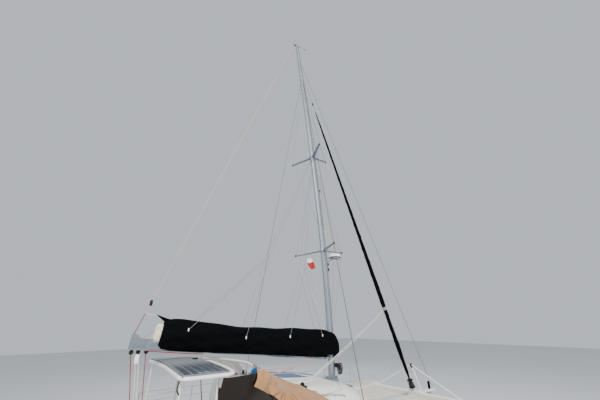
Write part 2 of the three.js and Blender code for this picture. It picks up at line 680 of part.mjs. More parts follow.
// The end casting stands up from the tube's end, for the topping lift and the reef lines
const boomEnd = alongX(roundedRect(0, 75, 68, 130, 50), -BOOM_LENGTH, -BOOM_LENGTH + 190);
place('boom', join(raised(join(boomTube, boomEnd)), boomFork), ALLOY, boomGroup);

// Cover stations: columns are distance from the pin, bottom, top, half-width
const COVER = [
  [60, -70, 745, 150], [-120, -75, 745, 190], [-900, -80, 725, 215], [-2500, -90, 610, 225],
  [-3600, -100, 570, 215], [-4600, -105, 605, 200], [-5280, -100, 560, 150],
];
const COVER_SIDES = 16;
function coverRing([x, low, high, half]) {
  const ring = [];
  const middle = (low + high) / 2;
  const rise = (high - low) / 2;
  for (let i = 0; i < COVER_SIDES; i += 1) {
    const angle = (2 * Math.PI * i) / COVER_SIDES;
    const lean = 1 - 0.35 * Math.max(Math.sin(angle), 0);
    const y = half * lean * Math.sign(Math.cos(angle)) * Math.sqrt(Math.abs(Math.cos(angle)));
    ring.push([x, y, middle + rise * Math.sin(angle)]);
  }
  return ring;
}
const boomClear = alongX(
  roundedRect(0, 0, BOOM_SECTION.wide + GAP, BOOM_SECTION.high + GAP, 60), -BOOM_LENGTH - 10, 400,
);
const coverNose = box(-240, 400, -400, 400, -400, 150);
const mastClear = box(-10, 500, -400, 400, -400, 1200);
const coverStack = raised(cut(loft(COVER.map(coverRing)), boomClear, coverNose));
place('sail_cover', cut(coverStack, mastClear), SAILCOVER, boomGroup);

// The cover's front apron wraps the fore side of the mast: columns are z, reach forward, half-width
const APRON = [
  [2930, 190, 110], [3020, 270, 160], [3160, 315, 200], [3320, 310, 200], [3460, 265, 180],
  [3580, 205, 140], [3650, 160, 105],
];
const apron = cut(
  loft(APRON.map(([z, reach, half]) => {
    const ring = [];
    for (let i = 0; i <= 12; i += 1) {
      const angle = -Math.PI / 2 + (Math.PI * i) / 12;
      ring.push([mastX(z) + 10 + reach * Math.cos(angle), half * Math.sin(angle), z]);
    }
    return ring;
  })),
  mastSleeve,
);
place('cover_apron', apron, SAILCOVER);

// Standing rigging: wires with their turnbuckles
function wire(from, to, radius, screw = 320) {
  const a = new THREE.Vector3(...from);
  const b = new THREE.Vector3(...to);
  const along = b.clone().sub(a).normalize();
  const top = a.clone().addScaledVector(along, screw);
  return join(rod(from, to, radius, 6), rod(from, top.toArray(), radius * 2.4, 8));
}
const shroudTop = [mastX(HOUNDS_Z) - 20, MAST_SECTION.wide + 8, HOUNDS_Z - 60];
const chainplate = join(
  box(
    CHAINPLATE.x - 60, CHAINPLATE.x + 60, CHAINPLATE.y - 12, CHAINPLATE.y + 12, DECK_Z + GAP, DECK_Z + 70,
  ),
  wire([CHAINPLATE.x, CHAINPLATE.y, DECK_Z + 40], shroudTop, 6),
);
const shroud = cut(chainplate, mastSleeve);
place('shroud_port', shroud, STAINLESS);
place('shroud_starboard', mirrored(shroud), STAINLESS);

// Forestay and the furled headsail that turns about it
const stayHead = new THREE.Vector3(mastX(HOUNDS_Z) + TANG_REACH + 20, 0, HOUNDS_Z + 20);
const stayDirection = stayHead.clone().sub(TACK).normalize();
const onStay = (distance) => TACK.clone().addScaledVector(stayDirection, distance);
const stayLength = TACK.distanceTo(stayHead);
const beamTop = BEAM_Z + BEAM_RADIUS;
place('forestay', join(
  rod(onStay(0).toArray(), stayHead.toArray(), 6, 8),
  box(TACK.x - 30, TACK.x + 30, -10, 10, beamTop + GAP, TACK.z + 20),
  rod([stayHead.x - 20 + GAP, 0, stayHead.z], [stayHead.x + 12, 0, stayHead.z], 15, 10),
), STAINLESS);

// The roll is thickest low down: columns are distance up the stay, radius
const ROLL = [
  [430, 32], [520, 38], [700, 57], [1100, 65], [1600, 85], [2400, 73], [3100, 75], [3400, 88], [5200, 78],
  [9000, 52], [12300, 30], [12900, 18],
];
const stayBore = 6.5;
function rollSolid() {
  const profile = [[stayBore, ROLL[0][0]], ...ROLL.map(([d, r]) => [r, d]), [stayBore, ROLL.at(-1)[0]]];
  const geometry = new THREE.LatheGeometry(
    [...profile, profile[0]].map(([r, d]) => new THREE.Vector2(r, d)), 14,
  );
  return solid(geometry);
}
function drumSolid() {
  const profile = [
    [stayBore, 70], [70, 70], [70, 80], [122, 90], [122, 110], [80, 122], [80, 320], [122, 332],
    [122, 352], [45, 365], [45, 420], [stayBore, 420],
  ];
  const geometry = new THREE.LatheGeometry(
    [...profile, profile[0]].map(([r, d]) => new THREE.Vector2(r, d)), 16,
  );
  return solid(geometry);
}
const stayTurn = new THREE.Quaternion().setFromUnitVectors(new THREE.Vector3(0, 1, 0), stayDirection);
const FURLER = { furled_headsail: [rollSolid(), SAILCOVER], furler_drum: [drumSolid(), BLACK] };
for (const [name, [shape, look]] of Object.entries(FURLER)) {
  const piece = place(name, shape, look);
  piece.quaternion.copy(stayTurn);
  piece.position.copy(TACK);
}

// Forward crossbeam, bowsprit, striker and outer stay
const beamEnd = 1990;
const crossbeam = cut(
  rod([BEAM_X, -beamEnd, BEAM_Z], [BEAM_X, beamEnd, BEAM_Z], BEAM_RADIUS, 16), ...hullTools,
);
place('crossbeam', crossbeam, ALLOY);
const SPRIT_RADIUS = 55;
const STRIKER_FOOT_X = 5650;
const STRIKER_TOP = [5225, 0, 2400];
const sprit = join(
  rod([BEAM_X + 130, 0, BEAM_Z], [SPRIT_END_X, 0, BEAM_Z], SPRIT_RADIUS, 16),
  upZ(roundedRect(BEAM_X + 55, 0, 125, 250, 70), BEAM_Z - 60, beamTop + 60),
);
const beamHole = rod([BEAM_X, -400, BEAM_Z], [BEAM_X, 400, BEAM_Z], BEAM_RADIUS + GAP, 16);
const tackHole = box(TACK.x - 40, TACK.x + 40, -20, 20, beamTop - 20, beamTop + 90);
const rodFoot = 1820;
const strikerPost = join(
  rod([STRIKER_FOOT_X, 0, BEAM_Z + 40], STRIKER_TOP, 32, 10),
  ball(STRIKER_TOP, 48, 10),
  ...[-1, 1].map((s) => rod([BEAM_X, s * rodFoot, BEAM_Z + 60], STRIKER_TOP, 11, 8)),
);
const beamSkin = rod([BEAM_X, -beamEnd, BEAM_Z], [BEAM_X, beamEnd, BEAM_Z], BEAM_RADIUS + GAP, 16);
place('bowsprit', cut(join(sprit, strikerPost), beamHole, beamSkin, tackHole), ALLOY);
const outerTangX = mastX(OUTER_STAY_Z) + TANG_REACH + GAP;
const outerHead = [outerTangX + 14, 0, OUTER_STAY_Z + 10];
const OUTER_TACK_X = 6470;
const spritTop = BEAM_Z + SPRIT_RADIUS + GAP;
place('outer_stay', join(
  rod([OUTER_TACK_X, 0, spritTop + 50], outerHead, 6, 6),
  box(outerTangX, outerTangX + 30, -12, 12, OUTER_STAY_Z - 20, OUTER_STAY_Z + 40),
  box(OUTER_TACK_X - 25, OUTER_TACK_X + 25, -12, 12, spritTop, spritTop + 90),
), STAINLESS);

// Trampolines between the foredeck and the crossbeam
const netPlan = [[FOREDECK_X + GAP, 150], [FOREDECK_X + GAP, 2100], [BEAM_X, 2100], [BEAM_X, 150]];
const net = cut(upZ(netPlan, DECK_Z - 42, DECK_Z - 30), ...hullTools, beamSkin);
place('trampoline_port', net, NET);
place('trampoline_starboard', mirrored(net), NET);

// Plough anchor under the bowsprit's roller: its shank lies along the bowsprit and turns down to the plough
const ANCHOR_X = 6180;
const SHANK = { half: 11, deep: 34 };
const shankTop = BEAM_Z - SPRIT_RADIUS - GAP;
const shankOutline = [
  [ANCHOR_X - 420, shankTop], [ANCHOR_X + 130, shankTop], [ANCHOR_X + 250, BEAM_Z - 190],
  [ANCHOR_X + 160, BEAM_Z - 236], [ANCHOR_X + 100, BEAM_Z - 250], [ANCHOR_X + 180, BEAM_Z - 190],
  [ANCHOR_X + 100, shankTop - SHANK.deep], [ANCHOR_X - 420, shankTop - SHANK.deep],
];
// Plough stations: columns are distance aft of the tip, half-width, keel drop, wing rise
const PLOUGH = [[0, 24, 205, 12], [190, 120, 262, 40], [390, 175, 300, 70]];
const anchorPlough = loft(PLOUGH.map(([back, half, drop, rise]) => {
  const [x, keel] = [ANCHOR_X + 300 - back, BEAM_Z - drop];
  return [
    [x, 0, keel], [x, half, keel + rise], [x, half - 12, keel + rise + 16],
    [x, 12 - half, keel + rise + 16], [x, -half, keel + rise],
  ];
}));
place('anchor', join(acrossY(shankOutline, -SHANK.half, SHANK.half), anchorPlough), STAINLESS);

// Stanchions on each side deck, carried by the toe rail: x of each. Two forward ones stand to port alone
const STANCHION_X = {
  port: [-4300, -2700, -600, 1300, 3100, 4500],
  starboard: [-4300, -2700, -600, 1300],
};
const STANCHION_HEIGHT = 610;
function deckHalf(x) {
  const next = STATIONS.findIndex((station) => station[0] <= x);
  const [a, b] = [STATIONS[next - 1], STATIONS[next]];
  return THREE.MathUtils.mapLinear(x, a[0], b[0], a[1], b[1]);
}
const railPoint = (x) => [x, HULL_Y + deckHalf(x) - 35, DECK_Z + GAP + 11];
const toeRail = tube([-4580, -3000, -1200, 900, 2600, 4000, 4900].map(railPoint), 11, 6);
const chainplateClear = box(
  CHAINPLATE.x - 66, CHAINPLATE.x + 66, CHAINPLATE.y - 18, CHAINPLATE.y + 18, DECK_Z, DECK_Z + 90,
);
function guardrail(xs) {
  const stanchions = xs.map((x) => {
    const [, y, z] = railPoint(x);
    return join(
      rod([x, y, z], [x, y, DECK_Z + STANCHION_HEIGHT], 12, 8),
      rod([x, y, z - 11], [x, y, z + 20], 24, 8),
    );
  });
  return cut(join(toeRail, ...stanchions), underDeck, chainplateClear);
}
place('guardrail_port', guardrail(STANCHION_X.port), STAINLESS);
place('guardrail_starboard', mirrored(guardrail(STANCHION_X.starboard)), STAINLESS);

// Sheet winches on the coamings
const WINCH = { x: -3720, y: 1950 };
for (const [side, sign] of [['port', 1], ['starboard', -1]]) {
  const winch = place(`winch_${side}`, winchSolid(), STAINLESS);
  winch.position.set(WINCH.x, sign * WINCH.y, DECK_Z + GAP);
}
// Mainsheet traveller on the aft beam
const TRAVELLER = { x: -4640, half: 820 };
place('traveller', join(
  box(TRAVELLER.x - 22, TRAVELLER.x + 22, -TRAVELLER.half, TRAVELLER.half, DECK_Z + GAP, DECK_Z + 34),
  box(TRAVELLER.x - 40, TRAVELLER.x + 40, -70, 70, DECK_Z + 20, DECK_Z + 62),
  ...[-TRAVELLER.half, TRAVELLER.half].map((y) => (
    box(TRAVELLER.x - 32, TRAVELLER.x + 32, y - 30, y + 30, DECK_Z + GAP, DECK_Z + 46))),
), ALLOY);

// Dodger hoop over the saloon's aft end, with its clear screen, and the canvas on the helm's side
const HOOP = [
  [-2640, 1990, DECK_Z + GAP], [-2870, 2040, 2760], [-2920, 1970, 2960], [-2945, 1600, 3070],
  [-2960, 0, 3165],
  [-2955, -1430, 3215], [-2950, -1850, 3190], [-2930, -2060, 3110], [-2880, -2100, 2800],
  [-2640, -2010, DECK_Z + GAP],
];
const hardtopAround = hardtopForm(HARDTOP.z + 60 + GAP, HARDTOP.thick + 2 * GAP, -GAP);
place('dodger_hoop', cut(tube(HOOP, 16, 8), underDeck, hardtopAround), STAINLESS);

// The height of the coachroof's skin over a point of its plan
function roofHeight(x, y) {
  const next = Math.max(ROOF_STATIONS.findIndex((station) => station[0] >= x), 1);
  const [a, b] = [ROOF_STATIONS[next - 1], ROOF_STATIONS[next]];
  const half = THREE.MathUtils.mapLinear(x, a[0], b[0], a[1], b[1]);
  const high = THREE.MathUtils.mapLinear(x, a[0], b[0], a[2], b[2]);
  return DECK_Z + high * Math.pow(Math.max(1 - Math.pow(Math.abs(y) / half, 4), 0), 0.31);
}

// The screen slopes from under the hoop down to the roof's aft edge: columns are y and the top's height
const SCREEN = [
  [1703, 3000], [1351, 3050], [1003, 3076], [507, 3106], [9, 3134], [-693, 3158], [-1047, 3170],
];
const SCREEN_TOP_X = -2952;
const SCREEN_THICK = 14;
const SCREEN_FOOT = { x: -2400, sunk: 60 };
const screenRings = SCREEN.map(([y, top]) => {
  const foot = roofHeight(SCREEN_FOOT.x, y) - SCREEN_FOOT.sunk;
  return [
    [SCREEN_TOP_X, y, top], [SCREEN_TOP_X - SCREEN_THICK, y, top - 12],
    [SCREEN_FOOT.x - SCREEN_THICK, y, foot - 12], [SCREEN_FOOT.x, y, foot],
  ];
});
const aftEdge = archRing([0, 2050, 1150], -GAP, DECK_Z - 100).map(([, y, z]) => [y, z]);
const roofSkin = join(roofForm(-GAP, DECK_Z - 100), alongX(aftEdge, SALOON_AFT_X - 70, SALOON_AFT_X + 10));
place('dodger_screen', cut(loft(screenRings), roofSkin), TINTED);

// Canvas stations: columns are x, inner edge y, ridge y, ridge z, hem z
const CANVAS_STATIONS = [
  [-2740, -1250, -1490, 3060, 2300], [-2600, -1260, -1550, 3040, 2050], [-2330, -1300, -1580, 2880, 1850],
  [-1970, -1360, -1620, 2760, 1800], [-1540, -1440, -1660, 2590, 1800], [-1000, -1600, -1730, 2400, 1800],
  [-750, -1690, -1770, 2320, 1850],
];
const CANVAS_THICK = 12;
const CANVAS_SUNK = 30; // how far the inner edge starts under the roof's skin, before it is trimmed
function canvasRing([x, innerY, ridgeY, ridgeZ, hem]) {
  const innerZ = x > SALOON_AFT_X ? roofHeight(x, innerY) - CANVAS_SUNK : ridgeZ - 300;
  const outer = [
    [innerY, innerZ], [ridgeY, ridgeZ], [ridgeY - 230, ridgeZ - 50],
    [-2130, ridgeZ - 190], [-2290, ridgeZ - 420], [-2360, hem],
  ];
  const middle = [ridgeY - 200, ridgeZ - 700];
  const inner = outer.map(([y, z]) => {
    const length = Math.hypot(y - middle[0], z - middle[1]);
    return [y - (CANVAS_THICK * (y - middle[0])) / length, z - (CANVAS_THICK * (z - middle[1])) / length];
  });
  return [...outer, ...inner.reverse()].map(([y, z]) => [x, y, z]);
}
const CANVAS_SEAM_Y = -2130;
const CANVAS_SEAM_GAP = 0.4;
const wholeCanvas = cut(loft(CANVAS_STATIONS.map(canvasRing)), roofSkin);
place('helm_canvas', cut(wholeCanvas, box(-3200, -200, -2600, CANVAS_SEAM_Y, 1000, 3600)), CANVAS);
place('helm_canvas_side', cut(
  wholeCanvas, box(-3200, -200, CANVAS_SEAM_Y - CANVAS_SEAM_GAP, -800, 1000, 3600),
), CANVAS);

// Side curtain between the hardtop and the coaming at the helm
place('helm_curtain', cut(
  loft([
    [[-3560, -1780, 3020], [-3560, -1786, 3020], [-3900, -1866, DECK_Z + 60], [-3900, -1860, DECK_Z + 60]],
    [[-2965, -2040, 3085], [-2965, -2046, 3085], [-2700, -1996, DECK_Z + 60], [-2700, -1990, DECK_Z + 60]],
  ]),
  moved(hardtop, 0, 0, -3), tube(HOOP, 18, 8),
), TINTED);

// Swim ladder folded up on the starboard platform
const ladder = join(
  ...[-1, 1].map((s) => rod([0, s * LADDER.half, 0], [0, s * LADDER.half, LADDER.height], 14, 8)),
  ...[200, 450, 700].map((z) => box(-30, 30, -LADDER.half, LADDER.half, z - 10, z + 10)),
  rod([0, -LADDER.half - 42, 0], [0, LADDER.half + 42, 0], LADDER.pin, 12),
);
const ladderMesh = place('swim_ladder', ladder, STAINLESS);
ladderMesh.position.set(LADDER.x, -HULL_Y, LADDER.z);

export default boat;
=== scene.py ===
"""A cruising sailing catamaran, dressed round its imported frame.

Metres, +X to the bows, +Y to port, +Z up, with the origin on the waterline at mid-length.
Each sub-assembly is a class: its dataclass fields are its sizes, and its methods work out the
surfaces with numpy and dress them. main() builds them in order.
"""

import json
import logging
import math
from collections.abc import Callable, Sequence
from dataclasses import dataclass, field
from enum import Enum
from typing import ClassVar

import bmesh
import bpy
import numpy as np
from mathutils import Matrix, Vector
from mathutils.geometry import tessellate_polygon

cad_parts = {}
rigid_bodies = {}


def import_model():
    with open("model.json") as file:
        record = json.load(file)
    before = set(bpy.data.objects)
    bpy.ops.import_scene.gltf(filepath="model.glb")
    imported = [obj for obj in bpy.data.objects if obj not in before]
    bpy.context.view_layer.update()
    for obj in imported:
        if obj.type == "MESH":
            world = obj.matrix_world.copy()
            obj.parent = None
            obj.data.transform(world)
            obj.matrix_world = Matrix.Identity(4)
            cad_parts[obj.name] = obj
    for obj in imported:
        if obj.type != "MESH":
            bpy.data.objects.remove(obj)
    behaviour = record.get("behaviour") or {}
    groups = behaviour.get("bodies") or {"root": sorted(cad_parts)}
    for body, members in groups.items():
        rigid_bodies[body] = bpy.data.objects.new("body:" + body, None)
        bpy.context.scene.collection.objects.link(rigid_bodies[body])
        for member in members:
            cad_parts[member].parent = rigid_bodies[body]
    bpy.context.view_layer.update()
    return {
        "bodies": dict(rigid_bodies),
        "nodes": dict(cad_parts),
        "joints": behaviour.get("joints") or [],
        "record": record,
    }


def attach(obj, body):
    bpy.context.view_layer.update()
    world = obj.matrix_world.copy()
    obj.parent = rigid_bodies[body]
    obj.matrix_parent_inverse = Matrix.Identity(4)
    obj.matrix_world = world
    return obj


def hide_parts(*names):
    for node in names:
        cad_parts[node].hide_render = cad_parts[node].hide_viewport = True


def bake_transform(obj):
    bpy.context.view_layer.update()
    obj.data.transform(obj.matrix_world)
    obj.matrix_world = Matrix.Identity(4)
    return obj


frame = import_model()
LOG = logging.getLogger("catamaran")

Array = np.ndarray
Row = Sequence[float]
Rows = Sequence[Row]
Surface = Callable[[Array, Array], Array]
Tree, Socket, Node = bpy.types.NodeTree, bpy.types.NodeSocket, bpy.types.Node
Mesh, Piece = bpy.types.Mesh, bpy.types.Object
MM = 0.001
SIDES = {"port": 1.0, "starboard": -1.0}


# Materials

def linear(code: str) -> Row:
    """An sRGB hex colour as linear RGBA: each channel is raised by the sRGB curve.

    Args:
        code: Six hex digits.

    Returns:
        Red, green, blue and an alpha of 1.
    """
    parts = np.array([int(code[i:i + 2], 16) for i in (0, 2, 4)]) / 255
    curved = np.where(parts <= 0.04045, parts / 12.92, ((parts + 0.055) / 1.055) ** 2.4)
    return (*curved.tolist(), 1.0)


def add(tree: Tree, kind: str, inputs: dict | None = None, **settings) -> Node:
    """Adds a node with its settings, values and links.

    Args:
        tree: The material's node tree.
        kind: The node's type, without ShaderNode before it.
        inputs: Socket name or number to a value, or to an output socket to link from.
        settings: Attributes of the node.

    Returns:
        The node.
    """
    made = tree.nodes.new("ShaderNode" + kind)
    for key, value in settings.items():
        setattr(made, key, value)
    for key, value in (inputs or {}).items():
        if isinstance(value, Socket):
            tree.links.new(value, made.inputs[key])
        else:
            made.inputs[key].default_value = value
    return made


class Grain(Enum):
    """What a finish's fine pattern is laid on."""

    OBJECT = "Object"
    UV = "UV"


@dataclass(frozen=True)
class Finish:
    """A procedural finish: a base colour clouded by noise, and roughness and bump from finer noise.

    Attributes:
        name: The material's common name and how it was made.
        base: Main colour, sRGB hex.
        cloud: Second colour that broad noise mixes in.
        cloud_mm: Size of the broad noise.
        share: How much of the second colour shows, from 0 to 1.
        grain_mm: Size of the fine noise along X, Y and Z, or along U, V and nothing.
        rough: Lowest and highest roughness.
        bump_mm: Height of the fine noise.
        metallic: 0 or 1.
        coat: Weight of a clear coat.
        sheen: Weight of the fabric sheen.
        shine: Level of the plain reflection, 0.5 for most materials.
        on: What the pattern is laid on.
        slot: The record's material slot of the pieces that name no other.
    """

    name: str
    base: str
    cloud: str
    cloud_mm: float = 400.0
    share: float = 0.35
    grain_mm: Row = (6.0, 6.0, 6.0)
    rough: Row = (0.25, 0.35)
    bump_mm: float = 0.1
    metallic: float = 0.0
    coat: float = 0.0
    sheen: float = 0.0
    shine: float = 0.5
    on: Grain = Grain.OBJECT
    slot: str = "white_gelcoat"

    def material(self) -> bpy.types.Material:
        """The finish as a Blender material, made once and then shared."""
        return bpy.data.materials.get(self.name) or self._make()

    def _make(self) -> bpy.types.Material:
        """Builds the node tree: coordinates, colour, relief and the shader."""
        made = bpy.data.materials.new(self.name)
        made.use_nodes = True
        tree = made.node_tree
        tree.nodes.clear()
        where = add(tree, "TexCoord").outputs[self.on.value]
        colour = self.colour(tree, where)
        height, rough = self.relief(tree, where)
        bump = add(tree, "Bump", {"Height": height, "Distance": self.bump_mm * MM, "Strength": 1.0})
        shader = add(tree, "BsdfPrincipled", {"Base Color": colour, "Roughness": rough,
                "Normal": bump.outputs[0], "Metallic": self.metallic, "Coat Weight": self.coat,
                "Sheen Weight": self.sheen, "Specular IOR Level": self.shine})
        self.tune(shader)
        add(tree, "OutputMaterial", {"Surface": shader.outputs[0]})
        return made

    def colour(self, tree: Tree, where: Socket) -> Socket:
        """Base colour mixed towards the cloud colour by broad noise."""
        broad = add(tree, "TexNoise", {"Vector": where, "Scale": 1000 / self.cloud_mm, "Detail": 4.0})
        return self.blend(tree, broad.outputs["Fac"], self.base, self.cloud, 0.5 - self.share / 2, 0.9)

    def relief(self, tree: Tree, where: Socket) -> tuple[Socket, Socket]:
        """Height and roughness, both from one noise stretched to the grain's size."""
        scale = [1000 / size if size else 0.0 for size in self.grain_mm]
        laid = add(tree, "Mapping", {"Vector": where, "Scale": scale})
        fine = add(tree, "TexNoise", {"Vector": laid.outputs[0], "Scale": 1.0, "Detail": 3.0})
        return fine.outputs["Fac"], self.ramp(tree, fine.outputs["Fac"], *self.rough)

    def tune(self, shader: Node) -> None:
        """Sets what only this kind of finish has on its shader."""

    @staticmethod
    def ramp(tree: Tree, value: Socket, low: float, high: float) -> Socket:
        """A value from 0 to 1 stretched to run from low to high."""
        return add(tree, "MapRange", {"Value": value, "To Min": low, "To Max": high}).outputs[0]

    @staticmethod
    def blend(tree: Tree, value: Socket, first: str, second: str,
              start: float = 0.0, end: float = 1.0) -> Socket:
        """A colour ramp from the first hex colour at start to the second at end."""
        ramp = add(tree, "ValToRGB", {"Fac": value})
        for stop, position, code in zip(ramp.color_ramp.elements, (start, end), (first, second)):
            stop.position, stop.color = position, linear(code)
        return ramp.outputs["Color"]

    @staticmethod
    def either(tree: Tree, share: Socket, first: object, second: object) -> Socket:
        """The first colour where share is 0, the second where it is 1, by the mix's sockets 0, 6 and 7."""
        return add(tree, "Mix", {0: share, 6: first, 7: second}, data_type="RGBA").outputs[2]


@dataclass(frozen=True)
class HullCoat(Finish):
    """Gelcoat topsides over antifouling paint, parted by a boot stripe at the waterline.

    Attributes:
        stripe: Colour of the boot stripe.
        paint: Colour of the antifouling paint.
        stripe_from: Lower edge of the stripe over the water, in metres.
        stripe_to: Upper edge of the stripe.
    """

    stripe: str = "26406b"
    paint: str = "20304a"
    stripe_from: float = 0.06
    stripe_to: float = 0.15

    def colour(self, tree: Tree, where: Socket) -> Socket:
        """Gelcoat above, stripe between, paint below, chosen by the height in the object's space."""
        gel = super().colour(tree, where)
        height = add(tree, "SeparateXYZ", {0: where}).outputs["Z"]
        above = add(tree, "Math", {0: height, 1: self.stripe_to}, operation="GREATER_THAN").outputs[0]
        wet = add(tree, "Math", {0: height, 1: self.stripe_from}, operation="LESS_THAN").outputs[0]
        low = self.either(tree, wet, linear(self.stripe), linear(self.paint))
        return self.either(tree, above, low, gel)


@dataclass(frozen=True)
class Weave(Finish):
    """Woven cloth: two crossed waves at the thread's spacing, and folds left to the mesh.

    Attributes:
        thread_mm: Spacing of the threads, drawn coarser than the real 0.5 mm so that it shows.
    """

    thread_mm: float = 4.0

    def relief(self, tree: Tree, where: Socket) -> tuple[Socket, Socket]:
        """Warp and weft waves along U and V, multiplied, with a little noise."""
        waves = [add(tree, "TexWave", {"Vector": where, "Scale": 1000 / self.thread_mm / 3.14,
                                       "Distortion": 0.6, "Detail": 1.0},
                     bands_direction=direction).outputs["Fac"] for direction in ("X", "Y")]
        crossed = add(tree, "Math", {0: waves[0], 1: waves[1]}, operation="MULTIPLY").outputs[0]
        noise = add(tree, "TexNoise", {"Vector": where, "Scale": 9.0, "Detail": 5.0}).outputs["Fac"]
        height = add(tree, "Math", {0: crossed, 1: noise}, operation="ADD").outputs[0]
        return height, self.ramp(tree, noise, *self.rough)


@dataclass(frozen=True)
class Braid(Finish):
    """Braided rope: diagonal waves round the core, with a coloured tracer yarn.

    Attributes:
        tracer: Colour of the tracer.
        tracer_share: From 0 with no tracer to about 0.5.
        pitch_mm: Length of one turn of the tracer.
    """

    tracer: str = "d8d8d4"
    tracer_share: float = 0.3
    pitch_mm: float = 60.0
    on: Grain = Grain.UV

    def colour(self, tree: Tree, where: Socket) -> Socket:
        """A diagonal wave along U and round V picks the tracer's colour."""
        laid = add(tree, "Mapping", {"Vector": where, "Scale": (1000 / self.pitch_mm, 6.0, 1.0)})
        wave = add(tree, "TexWave", {"Vector": laid.outputs[0], "Scale": 1.0, "Distortion": 1.0},
                   bands_direction="DIAGONAL")
        edge = 1.0 - self.tracer_share
        return self.blend(tree, wave.outputs["Fac"], self.base, self.tracer, edge - 0.05, edge + 0.05)


@dataclass(frozen=True)
class Pane(Finish):
    """Clear or tinted sheet: smooth, with a share of the light let through.

    Attributes:
        clear: Share of light that passes.
        ior: Index of refraction.
    """

    clear: float = 0.3
    ior: float = 1.49

    def tune(self, shader: Node) -> None:
        """Sets the transmission and the index of refraction."""
        shader.inputs["Transmission Weight"].default_value = self.clear
        shader.inputs["IOR"].default_value = self.ior


@dataclass(frozen=True)
class Cells(Finish):
    """Solar cells under glass: square cells parted by pale gaps.

    Attributes:
        cell_mm: Side of a cell.
        gap: Colour of the gaps.
    """

    cell_mm: float = 156.0
    gap: str = "a3adb8"
    on: Grain = Grain.UV

    def colour(self, tree: Tree, where: Socket) -> Socket:
        """A brick pattern with no offset: mortar is the gap, bricks are the cells."""
        bricks = add(tree, "TexBrick", {"Vector": where, "Color1": linear(self.base),
                "Color2": linear(self.cloud), "Mortar": linear(self.gap), "Scale": 1.0,
                "Mortar Size": 0.006, "Mortar Smooth": 0.1, "Brick Width": self.cell_mm * MM,
                "Row Height": self.cell_mm * MM}, offset=0.0)
        return bricks.outputs["Color"]


@dataclass(frozen=True)
class Planks(Finish):
    """Oiled wood: long dark grain lines in a stretched noise."""

    def colour(self, tree: Tree, where: Socket) -> Socket:
        """Noise stretched along X by the grain's length picks light and dark wood."""
        laid = add(tree, "Mapping", {"Vector": where, "Scale": (3.0, 90.0, 90.0)})
        grain = add(tree, "TexNoise", {"Vector": laid.outputs[0], "Scale": 1.0, "Detail": 6.0})
        return self.blend(tree, grain.outputs["Fac"], self.base, self.cloud, 0.3, 0.75)


# Polyester gelcoat, moulded and polished: glossy white, a little chalky where the sun has had it
GELCOAT = Finish("moulded_gelcoat", "f1f3f2", "e2e6e8", 900, 0.3, (3, 3, 3), (0.16, 0.3), 0.03, coat=0.25)
TOPSIDES = HullCoat("hull_gelcoat_and_antifouling", "eff2f3", "dfe5ea", 1100, 0.3, (4, 4, 4),
                    (0.14, 0.32), 0.03)
# Moulded non-skid: cream, matt, with a crown every 6 mm
NONSKID = Finish("moulded_nonskid", "ddd3bd", "cfc4ab", 500, 0.4, (6, 6, 6), (0.65, 0.85), 0.8,
        slot="nonskid_gelcoat")
# Antifouling: matt, chalky, with roller marks
ANTIFOUL = Finish("rolled_antifouling", "20304a", "2d4059", 300, 0.5, (12, 12, 12), (0.7, 0.9), 0.5,
        slot="antifouling_paint")
# Anodised aluminium, extruded: soft grey with a grain along the draw
ANODISED = Finish("anodised_aluminium", "a9b0b6", "979fa6", 700, 0.35, (2, 2, 160), (0.32, 0.46), 0.03,
        metallic=1, slot="anodised_alloy")
BOOM_SILVER = Finish("brushed_aluminium", "98a3ae", "86919d", 350, 0.4, (160, 2, 2), (0.3, 0.45), 0.05,
        metallic=1, slot="anodised_alloy")
# Stainless steel, polished: bright, with fine swirls
STAINLESS = Finish("polished_stainless", "d4d8da", "bcc2c6", 120, 0.3, (1.5, 1.5, 8), (0.12, 0.24), 0.02,
        metallic=1, slot="stainless_steel")
WIRE = Finish("stainless_wire", "5d646b", "4a5056", 8, 0.6, (3, 3, 10), (0.4, 0.55), 0.5, metallic=0.6,
        slot="stainless_steel")
BRIGHT_WIRE = Finish("bright_stainless_wire", "8f969d", "7a8188", 8, 0.6, (3, 3, 10), (0.3, 0.45), 0.5,
        metallic=0.4, slot="stainless_steel")
GALVANISED = Finish("galvanised_steel", "a7acae", "878d90", 30, 0.6, (14, 14, 14), (0.4, 0.62), 0.2,
        metallic=1, slot="galvanised_steel")
PAINTED_ALLOY = Finish("sprayed_alloy", "727b85", "616a74", 200, 0.4, (4, 4, 4), (0.4, 0.55), 0.1,
        slot="cast_alloy")
MAST_SILVER = Finish("satin_anodised_aluminium", "7f8b9a", "6d7988", 900, 0.4, (2, 2, 160), (0.35, 0.5),
        0.03, metallic=0.35, slot="anodised_alloy")
PALE_ALLOY = Finish("white_painted_alloy", "eef0f0", "e0e3e4", 400, 0.35, (4, 4, 4), (0.3, 0.42), 0.05,
        slot="anodised_alloy")
FLOOR = Finish("studio_floor", "d6d9dc", "cfd3d7", 6000, 0.3, (30, 30, 30), (0.75, 0.85), 0.02)
BRONZE = Finish("cast_bronze", "b48a4c", "7d6236", 40, 0.5, (3, 3, 3), (0.25, 0.45), 0.1, metallic=1,
        slot="bronze")
# Moulded black plastic and rubber
BLACK_PLASTIC = Finish("moulded_black_plastic", "121316", "1b1d20", 60, 0.4, (2, 2, 2), (0.4, 0.6), 0.1,
        shine=0.3, slot="black_plastic")
WHITE_PLASTIC = Finish("moulded_white_plastic", "f5f6f5", "eaecec", 100, 0.3, (2, 2, 2), (0.3, 0.4), 0.05)
# Grey sealant round the windows, and painted shade: the grey line round the foot of each raised roof panel
GREY_LINE = Finish("grey_sealant_and_painted_shade", "7c8388", "6a7075", 60, 0.4, (3, 3, 3), (0.5, 0.7), 0.1,
        slot="black_plastic")
